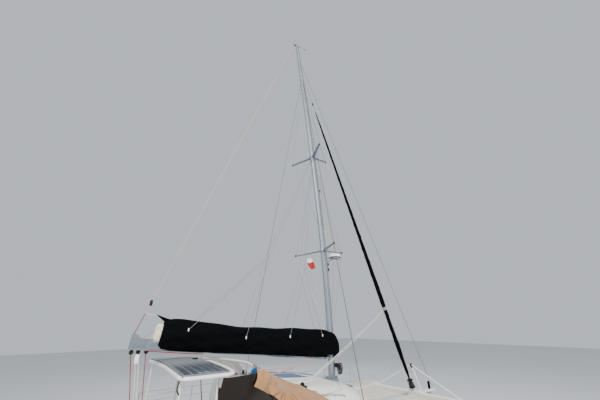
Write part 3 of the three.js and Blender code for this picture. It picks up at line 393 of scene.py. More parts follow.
# Cloths: threads drawn at 4 to 6 mm, where the real ones are near 0.6 mm, so that they show
BLACK_CANVAS = Weave("woven_black_acrylic", "040507", "08090c", 500, 0.5, rough=(0.85, 0.97), bump_mm=0.5,
                     shine=0.06, on=Grain.UV, thread_mm=5, slot="black_canvas")
TAN_CANVAS = Weave("woven_tan_acrylic", "a67e58", "94704d", 350, 0.5, rough=(0.8, 0.95), bump_mm=0.5,
                   sheen=0.2, on=Grain.UV, thread_mm=4, slot="tan_canvas")
SAILCLOTH = Weave("woven_cream_sailcloth", "dedbcb", "c6c1ab", 90, 0.6, rough=(0.55, 0.75), bump_mm=0.4,
                  sheen=0.1, on=Grain.UV, thread_mm=4, slot="black_canvas")
CUSHION = Weave("woven_cushion_fabric", "cfc2a6", "bfb193", 200, 0.4, rough=(0.8, 0.95), bump_mm=0.4,
                sheen=0.25, on=Grain.UV, thread_mm=4, slot="cushion_fabric")
NET_WEBBING = Weave("woven_net_webbing", "efe9d9", "e0d8c4", 200, 0.4, rough=(0.7, 0.9), bump_mm=0.4,
                    on=Grain.UV, thread_mm=3, slot="cream_net")
RED_CLOTH = Weave("woven_red_bunting", "b02a2a", "96201f", 60, 0.4, rough=(0.7, 0.9), bump_mm=0.2,
        on=Grain.UV)
WHITE_CLOTH = Weave("woven_white_bunting", "e9e9e6", "d8d8d4", 60, 0.4, rough=(0.7, 0.9), bump_mm=0.2,
        on=Grain.UV, slot="tan_canvas")
# Braided polyester rope: one wave a 60 mm turn of the tracer
WHITE_ROPE = Braid("braided_white_rope", "e3e1d8", "d2cfc4", 40, 0.3, rough=(0.7, 0.9), tracer="8f9aa8",
        tracer_share=0.15)
RED_ROPE = Braid("braided_red_rope", "b0261e", "94201a", 40, 0.3, rough=(0.7, 0.9), tracer="2a2220",
        tracer_share=0.45, slot="black_canvas")
RED_WHITE_ROPE = Braid("braided_red_and_white_rope", "d9cfc8", "c9bfb8", 40, 0.3, rough=(0.7, 0.9),
                       tracer="b03a34", tracer_share=0.45)
GREY_ROPE = Braid("braided_grey_rope", "8a8c8e", "77797c", 40, 0.3, rough=(0.7, 0.9), tracer="4b5058",
        tracer_share=0.3)
BLACK_ROPE = Braid("braided_black_rope", "16171a", "202226", 40, 0.3, rough=(0.7, 0.9), tracer="3a3d42",
                   tracer_share=0.2)
# Tinted acrylic and vinyl, and two sheets whose colour is painted light
TINTED = Pane("tinted_acrylic", "10161d", "18212b", 500, 0.4, (40, 40, 40), (0.03, 0.07), 0.02, clear=0.35,
        slot="tinted_glass")
# Clear vinyl coloured dark brown: painted shade, the shade under the hardtop seen on and through the side
# curtain
SHADE_DARKENED_VINYL = Pane("vinyl_darkened_as_painted_shade", "1a1410", "261d16", 300, 0.5, (60, 60, 60), (0.05, 0.14), 0.4, clear=0.25,
        slot="clear_vinyl")
# Blue sheet whose colour is painted light: on the roof it is a painted shadow, the blue band that the sail
# cover casts on the white gelcoat; in the hoop's corner it is a painted reflection of the sky
PAINTED_SHADOW_AND_SKY_BLUE = Pane("blue_painted_shadow_and_sky_reflection", "24507f", "356497", 400, 0.4, (40, 40, 40), (0.2, 0.3), 0.02, shine=0.02,
        clear=0.1, slot="tinted_acrylic")
BLUE_VINYL = Pane("clear_vinyl", "2a3138", "38434d", 200, 0.5, (50, 50, 50), (0.2, 0.35), 0.6, shine=0.2,
        clear=0.15, slot="clear_vinyl")
CELLS = Cells("solar_cells_under_glass", "2c3541", "36404d", rough=(0.25, 0.35), bump_mm=0.01, coat=0.1,
        slot="solar_cells")
TEAK = Planks("oiled_teak", "8a5a33", "5f3a1e", rough=(0.4, 0.6), grain_mm=(60, 4, 4), bump_mm=0.15,
        slot="teak")


# Forms: points, faces and UVs worked out as whole arrays

def columns(*parts: float | Array) -> Array:
    """Numbers and arrays, stretched to one shape, side by side on a last axis, as x, y and z."""
    return np.stack(np.broadcast_arrays(*parts), -1)


def circle(count: int) -> Array:
    """Even angles round one turn, in radians."""
    return np.linspace(0, 2 * np.pi, count, endpoint=False)


@dataclass
class Form:
    """A mesh in the making.

    Attributes:
        points: N by 3 places in metres.
        faces: Corner numbers, four to a row; a triangle repeats its last corner.
        uvs: UVs of the corners in metres along the surface, one row of four a face.
    """

    points: Array
    faces: Array
    uvs: Array

    def __add__(self, other: "Form") -> "Form":
        """Both forms as one, unjoined."""
        return Form(np.vstack([self.points, other.points]),
                np.vstack([self.faces, other.faces + len(self.points)]), np.vstack([self.uvs, other.uvs]))

    def moved(self, offset: Row) -> "Form":
        """The form shifted by offset."""
        return Form(self.points + np.array(offset, float), self.faces, self.uvs)

    def scaled(self, factors: Row) -> "Form":
        """The form with each axis multiplied by its factor; -1 mirrors it."""
        return Form(self.points * np.array(factors, float), self.faces, self.uvs)


def all_of(forms: Sequence[Form]) -> Form:
    """Several forms as one, unjoined."""
    total = forms[0]
    for form in forms[1:]:
        total = total + form
    return total


def skin(rings: Array, caps: bool = True) -> Form:
    """A surface through closed rings of equal length: quads between point (i, j) and its neighbours.

    Args:
        rings: M by N by 3 points, row i being one ring.
        caps: Whether the end rings are closed by a fan to their mean.

    Returns:
        The surface, with U along the rings' order and V round each ring, in metres.
    """
    rings = np.asarray(rings, float)
    count, width = rings.shape[:2]
    along = np.linalg.norm(np.diff(rings, axis=0), axis=2).mean(axis=1)
    closed = np.concatenate([rings, rings[:, :1]], axis=1)
    around = np.linalg.norm(np.diff(closed, axis=1), axis=2).mean(axis=0)
    u, v = (np.concatenate([[0], np.cumsum(step)]) for step in (along, around))
    i, j = np.meshgrid(np.arange(count - 1), np.arange(len(v) - 1), indexing="ij")
    nxt = (j + 1) % width
    faces = columns(i * width + j, (i + 1) * width + j, (i + 1) * width + nxt, i * width + nxt)
    uvs = np.stack([columns(u[i + a], v[j + b]) for a, b in ((0, 0), (1, 0), (1, 1), (0, 1))], 2)
    form = Form(rings.reshape(-1, 3), faces.reshape(-1, 4), uvs.reshape(-1, 4, 2))
    if not caps:
        return form
    for row, order in ((0, 1), (count - 1, -1)):
        hub = len(form.points)
        corner = row * width + np.arange(width)
        beside = row * width + (np.arange(width) + order) % width
        fan = columns(hub, beside, corner, corner)
        flat = np.repeat(rings[row][:, None, :2], 4, axis=1)
        form = Form(np.vstack([form.points, rings[row].mean(axis=0)]), np.vstack([form.faces, fan]),
                    np.vstack([form.uvs, flat]))
    return form


def spline(points: Rows, steps: int = 8) -> Array:
    """A smooth path through points: Catmull-Rom, each span a cubic of its four nearest points.

    Args:
        points: The path's points.
        steps: Points worked out on each span.

    Returns:
        The path, (count - 1) * steps + 1 by 3.
    """
    held = np.asarray(points, float)
    padded = np.vstack([2 * held[0] - held[1], held, 2 * held[-1] - held[-2]])
    t = np.linspace(0, 1, steps, endpoint=False)[None, :, None]
    a, b, c, d = (padded[k:len(padded) - 3 + k][:, None, :] for k in range(4))
    cubic = 0.5 * (2 * b + (c - a) * t + (2 * a - 5 * b + 4 * c - d) * t ** 2
            + (3 * b - a - 3 * c + d) * t ** 3)
    return np.vstack([cubic.reshape(-1, held.shape[1]), held[-1:]])


def through(table: Rows, where: Array, column: int = 1) -> Array:
    """A table's column read at `where` along its first column, by a smooth curve that never overshoots.

    Each row's slope is no more than three times the lesser of the slopes beside it, and level at a peak.

    Args:
        table: Rows of numbers, the first column rising or falling.
        where: Places on the first column.
        column: Which column to read.

    Returns:
        The values, of where's shape.
    """
    rows = np.asarray(table, float)
    rows = rows[np.argsort(rows[:, 0])]
    x, y = rows[:, 0], rows[:, column]
    steps = np.diff(y) / np.diff(x)
    before, after = np.concatenate([steps[:1], steps]), np.concatenate([steps, steps[-1:]])
    limit = np.where(before * after > 0, 3 * np.minimum(np.abs(before), np.abs(after)), 0)
    slope = np.gradient(y, x)
    slope = np.sign(slope) * np.minimum(np.abs(slope), limit)
    where = np.clip(where, x[0], x[-1])
    i = np.clip(np.searchsorted(x, where, side="right") - 1, 0, len(x) - 2)
    run = x[i + 1] - x[i]
    t = (where - x[i]) / run
    return ((1 + 2 * t) * (1 - t) ** 2 * y[i] + t * (1 - t) ** 2 * run * slope[i]
            + t ** 2 * (3 - 2 * t) * y[i + 1] + t ** 2 * (t - 1) * run * slope[i + 1])


def cross_frames(path: Array) -> tuple[Array, Array]:
    """Two unit vectors square to each point's tangent, steady along the path.

    The first is the tangent crossed with the path's flattest direction, the second crosses both.
    """
    tangent = np.gradient(path, axis=0)
    tangent /= np.linalg.norm(tangent, axis=1, keepdims=True)
    spread = path - path.mean(axis=0)
    flattest = np.linalg.svd(spread, full_matrices=True)[2][2]
    side = np.cross(tangent, flattest)
    side /= np.linalg.norm(side, axis=1, keepdims=True)
    return side, np.cross(side, tangent)


def tube(path: Rows, radius: float | Array, sides: int = 8, smooth: int = 0) -> Form:
    """A round bar along a path: each ring is centre + r (cos a side + sin a up).

    Args:
        path: Points, or the few points of a smooth curve if smooth is given.
        radius: One radius, or one for each point.
        sides: Corners of the section.
        smooth: Steps of the spline on each span, or 0 for straight legs.

    Returns:
        The closed bar.
    """
    line = spline(path, smooth) if smooth else np.asarray(path, float)
    side, up = cross_frames(line)
    angle = circle(sides)[:, None]
    size = np.broadcast_to(np.asarray(radius, float), len(line))[:, None, None]
    return skin(line[:, None] + size * (np.cos(angle) * side[:, None] + np.sin(angle) * up[:, None]))


def loop(line: Array, radius: float) -> Form:
    """A six-sided bar round a closed line."""
    return tube(np.vstack([line, line[:2]]), radius, 6)


def lathe(profile: Rows, origin: Row = (0, 0, 0), axis: Row = (0, 0, 1), sides: int = 24) -> Form:
    """A turned body: each profile point (r, h) becomes a ring of radius r at height h on the axis.

    Args:
        profile: Radius and height pairs; radius 0 at both ends closes it, and so does a loop.
        origin: Where height 0 lies.
        axis: Direction of the heights.
        sides: Corners of a ring.

    Returns:
        The body.
    """
    rows = np.asarray(profile, float)
    along = np.array(axis, float) / np.linalg.norm(axis)
    helper = np.array([0.0, 1.0, 0.0]) if abs(along[1]) < 0.9 else np.array([1.0, 0.0, 0.0])
    side = np.cross(helper, along)
    side /= np.linalg.norm(side)
    up = np.cross(along, side)
    angle = circle(sides)[:, None]
    spoke = np.cos(angle) * side + np.sin(angle) * up
    rings = np.array(origin, float) + rows[:, None, 1:] * along + rows[:, None, :1] * spoke
    return skin(rings, caps=False)


def spool(edge: float, middle: float, shoulder: float, end: float) -> Rows:
    """A sheave's or button's profile: radius middle at height 0, and edge at the shoulders on both sides."""
    return [(0, -end), (edge, -shoulder), (middle, 0), (edge, shoulder), (0, end)]


def collar(inner: float, outer: float, crown: float, half: float) -> Rows:
    """A hollow ring's profile, its outside swollen from outer to crown at its middle."""
    return [(inner, -half), (outer, -half), (crown, 0), (outer, half), (inner, half), (inner, -half)]


def rod(radius: float, start: float, end: float) -> Rows:
    """A plain round bar's profile."""
    return [(0, start), (radius, start), (radius, end), (0, end)]


def superellipse(half_u: float, half_v: float, power: float = 6.0, count: int = 40) -> Array:
    """An outline between ellipse and box: |u|^p + |v|^p = 1, scaled to its half sizes."""
    angle = circle(count)
    c, s = np.cos(angle), np.sin(angle)
    reach = (np.abs(c) ** power + np.abs(s) ** power) ** (-1 / power)
    return columns(half_u * reach * c, half_v * reach * s)


def rounded(outline: Rows, radius: float, steps: int = 4) -> Array:
    """A straight-edged outline with each corner replaced by a quadratic curve.

    Args:
        outline: Corners in order.
        radius: How far from the corner its curve starts, at most 45% of the shorter edge.
        steps: Points on each curve.

    Returns:
        The outline's points.
    """
    corner = np.asarray(outline, float)
    before, after = np.roll(corner, 1, axis=0) - corner, np.roll(corner, -1, axis=0) - corner
    length = [np.linalg.norm(edge, axis=1, keepdims=True) for edge in (before, after)]
    start = corner + before / length[0] * np.minimum(radius, 0.45 * length[0])
    end = corner + after / length[1] * np.minimum(radius, 0.45 * length[1])
    t = np.linspace(0, 1, steps + 1)[None, :, None]
    curve = (1 - t) ** 2 * start[:, None] + 2 * t * (1 - t) * corner[:, None] + t ** 2 * end[:, None]
    return curve.reshape(-1, corner.shape[1])


def box(x0: float, y0: float, x1: float, y1: float, radius: float, steps: int = 4) -> Array:
    """A rounded rectangle between two corners."""
    return rounded([(x0, y0), (x1, y0), (x1, y1), (x0, y1)], radius, steps)


def inlay(surface: Surface, outline: Array, proud: float, thick: float, edge: float = 0.006,
          rings: int = 8) -> Form:
    """A plate that follows a surface, with rounded rims.

    The plate is S(u, v) + h n(u, v). Rings run from the hub out to the outline with h = proud, round
    the rim by a half turn of radius thick / 2, and back to the hub with h = proud - thick.

    Args:
        surface: S, from arrays u and v to points.
        outline: Star-shaped N by 2 outline in u and v.
        proud: Height of the outer face over the surface.
        thick: The plate's thickness.
        edge: How far the rim's rounding takes in from the outline.
        rings: Rings from hub to rim, on each face.

    Returns:
        The closed plate.
    """
    centre = np.mean(outline, axis=0)
    reach = np.asarray(outline, float) - centre
    distance = np.linalg.norm(
        surface(*(centre + reach).T) - surface(*np.broadcast_to(centre, reach.shape).T), axis=1)
    take_in = np.clip(edge / np.maximum(distance, 1e-6), 0, 0.4)
    flat = np.linspace(0, 1, rings)
    turn = np.linspace(0, np.pi, 5)[1:-1]
    share = np.concatenate([flat, np.ones(3), flat[::-1]])
    rounding = np.concatenate([np.zeros(rings), np.sin(turn), np.zeros(rings)])
    height = np.concatenate([np.full(rings, proud), proud - thick / 2 * (1 - np.cos(turn)),
                             np.full(rings, proud - thick)])
    scale = share[:, None] * (1 - take_in[None, :] * (1 - rounding[:, None]))
    u = centre[0] + reach[None, :, 0] * scale
    v = centre[1] + reach[None, :, 1] * scale
    form = skin(surface(u, v) + height[:, None, None] * normals(surface, u, v), caps=False)
    corner = columns(u, v).reshape(-1, 2)
    return Form(form.points, form.faces, corner[form.faces])


def normals(surface: Surface, u: Array, v: Array, step: float = 1e-3) -> Array:
    """Unit normals of a surface: the cross product of its two slopes, taken over small steps."""
    du = surface(u + step, v) - surface(u - step, v)
    dv = surface(u, v + step) - surface(u, v - step)
    square = np.cross(du, dv)
    return square / np.maximum(np.linalg.norm(square, axis=-1, keepdims=True), 1e-12)


def flat_at(height: float) -> Surface:
    """The level plane at a height, its u and v being x and y."""
    return lambda u, v: columns(u, v, height)


def slab(low: Row, high: Row, edge: float = 0.012) -> Form:
    """A block between two corners with rounded edges: an inlay on a level plane, as thick as the block."""
    half = [(b - a) / 2 for a, b in zip(low[:2], high[:2])]
    outline = box(-half[0], -half[1], half[0], half[1], min(2.5 * edge, 0.4 * min(half)))
    middle = [(a + b) / 2 for a, b in zip(low[:2], high[:2])]
    return inlay(flat_at(high[2]), outline + middle, 0.0, high[2] - low[2], edge, 3)


def prism(outline: Rows, start: float, end: float, axis: int = 1) -> Form:
    """A flat outline carried along an axis: two copies of its points, walls between, ends in triangles.

    Args:
        outline: Points in the two other axes, in order.
        start: Where it begins on the axis.
        end: Where it ends.
        axis: 0 for X, 1 for Y, 2 for Z.

    Returns:
        The closed form.
    """
    flat = np.asarray(outline, float)
    pair = np.stack([np.insert(flat, axis, value, axis=1) for value in (start, end)])
    walls = skin(pair, caps=False)
    triangles = np.array(tessellate_polygon([[Vector((*p, 0)) for p in flat]]))
    ends = np.vstack([triangles, triangles[:, ::-1] + len(flat)])
    ends = np.hstack([ends, ends[:, -1:]])
    return Form(walls.points, np.vstack([walls.faces, ends]),
                np.vstack([walls.uvs, walls.points[ends][..., [0, 2]]]))


def mesh_of(form: Form, name: str) -> Mesh:
    """The form as a mesh with UVs, its doubles merged and its normals outward."""
    mesh = bpy.data.meshes.new(name)
    corners = [row[:3] if row[2] == row[3] else row for row in form.faces.tolist()]
    mesh.from_pydata(form.points.tolist(), [], corners)
    keep = np.ones(form.faces.shape, bool)
    keep[:, 3] = form.faces[:, 2] != form.faces[:, 3]
    layer = mesh.uv_layers.new(name="UVMap")
    layer.data.foreach_set("uv", form.uvs[keep].astype(np.float32).ravel())
    work = bmesh.new()
    work.from_mesh(mesh)
    bmesh.ops.remove_doubles(work, verts=work.verts, dist=2e-6)
    bmesh.ops.dissolve_degenerate(work, dist=1e-7, edges=work.edges)
    bmesh.ops.recalc_face_normals(work, faces=work.faces)
    work.to_mesh(mesh)
    work.free()
    return mesh


def linked(name: str, data: object) -> Piece:
    """A new object with that data, in the scene."""
    made = bpy.data.objects.new(name, data)
    bpy.context.scene.collection.objects.link(made)
    return made


def put(form: Form | list[Form], name: str, finish: Finish, body: str = "boat",
        replaces: Sequence[str] = (), smooth: float = 40.0) -> Piece:
    """Makes a form, or several as one, an object that is dressed and rides on its body.

    Args:
        form: The shape, or shapes.
        name: The piece's name.
        finish: Its finish.
        body: The CAD body that it rides on; empty for a piece that rides on none.
        replaces: CAD nodes that it stands for.
        smooth: Angle under which edges are shaded smooth, in degrees.

    Returns:
        The object, at the origin.
    """
    whole = all_of(form) if isinstance(form, list) else form
    piece = linked(name, mesh_of(whole, name))
    return settle(piece, finish, body, replaces, smooth)


def settle(piece: Piece, finish: Finish, body: str, replaces: Sequence[str],
           smooth: float) -> Piece:
    """Shades and dresses the piece, rides it on its body and hides what it stands for."""
    dress(piece.data, finish)
    piece.data.shade_smooth()
    piece.data.set_sharp_from_angle(angle=math.radians(smooth))
    if body:
        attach(piece, body)
    if replaces:
        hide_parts(*replaces)
    return piece


def carve(form: Form, tools: list[Form], name: str, finish: Finish, replaces: Sequence[str],
          smooth: float) -> Piece:
    """A form with other forms cut out of it by Boolean modifiers, which are then applied.

    Args:
        form: The closed form to cut.
        tools: Closed forms to take away.
        name: The piece's name.
        finish: Its finish.
        replaces: CAD nodes that it stands for.
        smooth: Angle under which edges are shaded smooth, in degrees.

    Returns:
        The cut object.
    """
    piece = linked(name, mesh_of(form, name))
    cutters = [linked(f"{name}_tool", mesh_of(tool, f"{name}_tool")) for tool in tools]
    for cutter in cutters:
        difference = piece.modifiers.new("cut", "BOOLEAN")
        difference.operation, difference.solver, difference.object = "DIFFERENCE", "EXACT", cutter
    bpy.context.view_layer.update()
    piece.data = applied(piece)
    piece.modifiers.clear()
    for cutter in cutters:
        bpy.data.objects.remove(cutter)
    return settle(piece, finish, "boat", replaces, smooth)


def applied(piece: Piece) -> Mesh:
    """The piece's mesh with its modifiers applied."""
    return bpy.data.meshes.new_from_object(piece.evaluated_get(bpy.context.evaluated_depsgraph_get()))


def dress(mesh: Mesh, finish: Finish) -> None:
    """Gives a mesh its finish and no other."""
    mesh.materials.clear()
    mesh.materials.append(finish.material())


def dress_node(node: str, finish: Finish) -> None:
    """Gives a CAD node, whose shape is right as it is, its finish."""
    dress(frame["nodes"][node].data, finish)


def between(a: Row, b: Row, share: float | Array) -> Array:
    """The point a share of the way from a to b."""
    return np.array(a, float) * (1 - share) + np.array(b, float) * share


def sagging(a: Row, b: Row, drop: float, count: int = 16) -> Array:
    """A slack line from a to b that hangs `drop` below the straight at its middle: a parabola."""
    t = np.linspace(0, 1, count)[:, None]
    return between(a, b, t) - np.array([0, 0, 1.0]) * 4 * drop * t * (1 - t)


# Shared sizes, in metres: first the radii of the running lines

THIN_LINE, LIFT_LINE, MAINSHEET_LINE, REEF_LINE, SHEET_LINE = 0.006, 0.008, 0.009, 0.010, 0.011


@dataclass(frozen=True)
class Boat:
    """Sizes that several sub-assemblies share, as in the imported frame."""

    hull_y: float = 2.4
    deck: float = 1.5
    mast_foot: Row = (0.855, 2.335)
    mast_top: float = 17.85
    mast_rake: float = 1.26
    mast_bend: float = 0.27
    hounds: float = 15.36
    outer_hounds: float = 16.37
    gooseneck: Row = (0.70778, 3.01)
    boom_rise: float = math.radians(5.8)
    tack: Row = (5.11, 0.0, 1.56)
    chainplate: Row = (-0.96, 3.18)

    def mast_x(self, z: float | Array) -> float | Array:
        """The mast's axis: foot, less the rake, plus the bend, a sine of the height's share to the 0.7."""
        share = np.clip((z - self.mast_foot[1]) / (self.mast_top - self.mast_foot[1]), 0, 1)
        return self.mast_foot[0] - self.mast_rake * share + self.mast_bend * np.sin(np.pi * share ** 0.7)

    def mast_at(self, z: float) -> float:
        """The mast's axis at one height."""
        return float(self.mast_x(z))

    def boom_point(self, back: float, side: float, up: float) -> Array:
        """One point set on the raised boom."""
        return self.on_boom([(back, side, up)])[0]

    def on_boom(self, points: Rows) -> Array:
        """Points given as distance aft of the pin, offset to port, and height, set on the raised boom."""
        back, side, up = np.asarray(points, float).T
        c, s = math.cos(self.boom_rise), math.sin(self.boom_rise)
        return columns(self.gooseneck[0] - back * c + up * s, side, self.gooseneck[1] + back * s + up * c)


BOAT = Boat()


@dataclass
class Hull:
    """One hull, its stern steps, windows, deck panels and cleats.

    Attributes:
        side: "port" or "starboard".
        stations: Rows of x, half-beam at the deck, height of the keel line.
        tread_half: Half the width of the stern steps.
        bulwark: The slope that cuts the stern down, in x and z.
        treads: The stern steps' outline in x and z.
        outboard_windows: Where the outboard portlights are; the inboard ones follow.
        window_half: Half length and half height of a portlight.
        window_z: Height of the portlights' middle.
        strake_z: Height of the rubbing strake.
    """

    side: str
    stations: Rows = ((5.8, 0.045, 0.72), (5.7, 0.12, 0.15), (5.45, 0.24, -0.12), (4.9, 0.44, -0.29),
            (4.0, 0.64, -0.40), (2.6, 0.79, -0.48), (0.9, 0.85, -0.52), (-1.2, 0.85, -0.50),
            (-3.0, 0.83, -0.41), (-4.3, 0.78, -0.26), (-5.2, 0.71, -0.11), (-5.8, 0.64, 0.02))
    tread_half: float = 0.52
    bulwark: Rows = ((-4.62, 1.55), (-4.62, 1.5), (-5.86, 0.64), (-5.86, 1.55))
    treads: Rows = ((-4.56, 1.56), (-4.56, 1.24), (-4.86, 1.24), (-4.86, 0.98), (-5.16, 0.98),
            (-5.16, 0.70), (-5.44, 0.70), (-5.44, 0.43), (-5.9, 0.43), (-5.9, 1.56))
    outboard_windows: Row = (-2.5, -0.7, 1.1, 2.7)
    inboard_windows: Row = (-1.2, 1.6)
    window_half: Row = (0.36, 0.105)
    window_z: float = 1.06
    strake_z: float = 1.3

    def __post_init__(self) -> None:
        """Works out which way is outboard and where the hull's centreline is."""
        self.sign = SIDES[self.side]
        self.centre = self.sign * BOAT.hull_y

    def half(self, x: Array) -> Array:
        """Half-beam at the deck."""
        return through(self.stations, x, 1)

    def keel(self, x: Array) -> Array:
        """Height of the keel line."""
        return through(self.stations, x, 2)

    @staticmethod
    def fullness(share: Array) -> Array:
        """Breadth at a share of the height, as a share of the deck's: (1 - (1 - s)^2.6)^0.55."""
        return (1 - (1 - np.clip(share, 0, 1)) ** 2.6) ** 0.55

    def flank(self, way: float) -> Surface:
        """The hull's side as a surface of x and z; way 1 is outboard."""
        def place(x: Array, z: Array) -> Array:
            share = (z - self.keel(x)) / (BOAT.deck - self.keel(x))
            return columns(x, self.centre + way * self.sign * self.half(x) * self.fullness(share), z)
        return place

    def shell(self) -> Form:
        """The whole hull: rings of breadth and height through its stations, rounded at the deck's edge."""
        x = np.concatenate([np.linspace(-5.8, 5.0, 66), np.linspace(5.0, 5.8, 24)[1:]])
        share = np.linspace(0, 1, 26) ** 1.6
        keel, half = self.keel(x)[:, None], self.half(x)[:, None]
        height = keel + (BOAT.deck - keel) * share
        reach = half * self.fullness(share) + 0 * height
        soft = np.array([[0.0, 0.018], [0.005, 0.005], [0.018, 0.0]])
        height = np.concatenate([height[:, :-1], BOAT.deck - soft[:, 1] + 0 * half], axis=1)
        reach = np.concatenate([reach[:, :-1], half - soft[:, 0]], axis=1)
        spread = x[:, None] + 0 * height
        out = columns(spread, self.centre + reach, height)
        back = columns(spread, self.centre - reach, height)[:, :0:-1]
        return skin(np.concatenate([out, back], axis=1))

    def build(self) -> None:
        """Makes the carved hull and everything that is fixed to it."""
        steps = prism(self.treads, self.centre - self.tread_half, self.centre + self.tread_half)
        slope = prism(self.bulwark, self.centre - 0.9, self.centre + 0.9)
        well = prism(box(3.39, self.centre - 0.26, 3.91, self.centre + 0.26, 0.06), 1.44, 1.56, axis=2)
        carve(self.shell(), [slope, steps, well], f"hull_shell_{self.side}", TOPSIDES,
              (f"hull_{self.side}",), 28)
        put(self.windows(), f"hull_windows_{self.side}", TINTED)
        put(self.window_seals(), f"hull_window_seals_{self.side}", GREY_LINE)
        put(self.strake(), f"rubbing_strake_{self.side}", WHITE_PLASTIC)
        put(self.deck_panels(), f"deck_nonskid_{self.side}", NONSKID)
        put(self.cleats(), f"cleats_{self.side}", STAINLESS)
        if self.side == "starboard":
            put(self.ladder_lugs(), "ladder_lugs", STAINLESS)

    def _window_plates(self, grow: float, proud: float, thick: float) -> Form:
        """All portlights' plates, outboard and inboard, `grow` metres bigger all round than the glass."""
        plates = []
        for way, places in ((1.0, self.outboard_windows), (-1.0, self.inboard_windows)):
            facing = -way * self.sign
            for x in places:
                outline = (superellipse(*(half + grow for half in self.window_half), 5, 36)
                           + [x, self.window_z])
                plates.append(inlay(self.flank(way), outline, facing * proud, facing * thick, 0.004, 6))
        return all_of(plates)

    def windows(self) -> Form:
        """Long tinted portlights bonded to the topsides."""
        return self._window_plates(0.0, 0.006, 0.012)

    def window_seals(self) -> Form:
        """The sealant rims round the portlights."""
        return self._window_plates(0.012, 0.002, 0.008)

    def strake(self) -> Form:
        """A half-round rubbing strake along the topsides, at a constant height under the deck."""
        x = np.linspace(-4.9, 5.35, 70)
        return all_of([tube(self.flank(way)(x, np.full_like(x, self.strake_z)), 0.013, 8)
                       for way in (1.0, -1.0)])

    def deck_panels(self) -> Form:
        """Non-skid panels on side deck, foredeck and quarter, inside the deck's edge, and on the treads."""
        spans = [(-4.35, -3.35, 0.0), (-3.3, -2.6, 0.0), (-2.3, -1.35, 2.14), (-0.55, 0.35, 2.14),
                (0.4, 1.3, 2.12), (2.0, 3.25, 0.0), (4.05, 4.55, 0.0), (4.6, 5.05, 0.0)]
        plates = []
        for start, end, inner in spans:
            x = np.linspace(start, end, 9)
            low = np.full_like(x, inner) if inner else BOAT.hull_y - self.half(x) + 0.08
            high = BOAT.hull_y + self.half(x) - 0.11
            corners = np.concatenate([columns(x, low), columns(x, high)[::-1]])
            outline = rounded(corners, 0.03, 3) * [1, self.sign]
            plates.append(inlay(flat_at(BOAT.deck), outline, 0.003, 0.006, 0.004, 4))
        for x0, x1, z in ((-4.83, -4.6, 1.24), (-5.13, -4.9, 0.98), (-5.41, -5.2, 0.70),
                (-5.76, -5.48, 0.43)):
            outline = box(x0, self.centre - 0.46, x1, self.centre + 0.46, 0.03)
            plates.append(inlay(flat_at(z), outline, 0.003, 0.006, 0.004, 4))
        return all_of(plates)

    def cleats(self) -> Form:
        """Horn cleats at bow, amidships and quarter: a bowed horn on two tapered feet."""
        made = []
        for x in (5.15, 0.75, -4.45):
            y = self.centre + self.sign * (float(self.half(np.array(x))) - 0.075)
            horn = tube([(x - 0.11, y, 1.545), (x - 0.06, y, 1.552), (x, y, 1.553), (x + 0.06, y, 1.552),
                         (x + 0.11, y, 1.545)], np.array([0.005] + [0.009] * 23 + [0.005]), 8, 6)
            feet = [lathe([(0, 0), (0.02, 0), (0.018, 0.006), (0.009, 0.02), (0.009, 0.05), (0, 0.05)],
                          (x + dx, y, BOAT.deck), sides=12) for dx in (-0.035, 0.035)]
            made.append(all_of([horn, *feet]))
        return all_of(made)

    def ladder_lugs(self) -> Form:
        """The two plates that carry the swim ladder's hinge."""
        lugs = []
        for way in (-1, 1):
            y = self.centre + way * 0.204
            outline = rounded([(-5.863, 0.43), (-5.755, 0.43), (-5.80, 0.495), (-5.863, 0.495)], 0.012)
            lugs.append(prism(outline, y - 0.009, y + 0.009))
        return all_of(lugs)


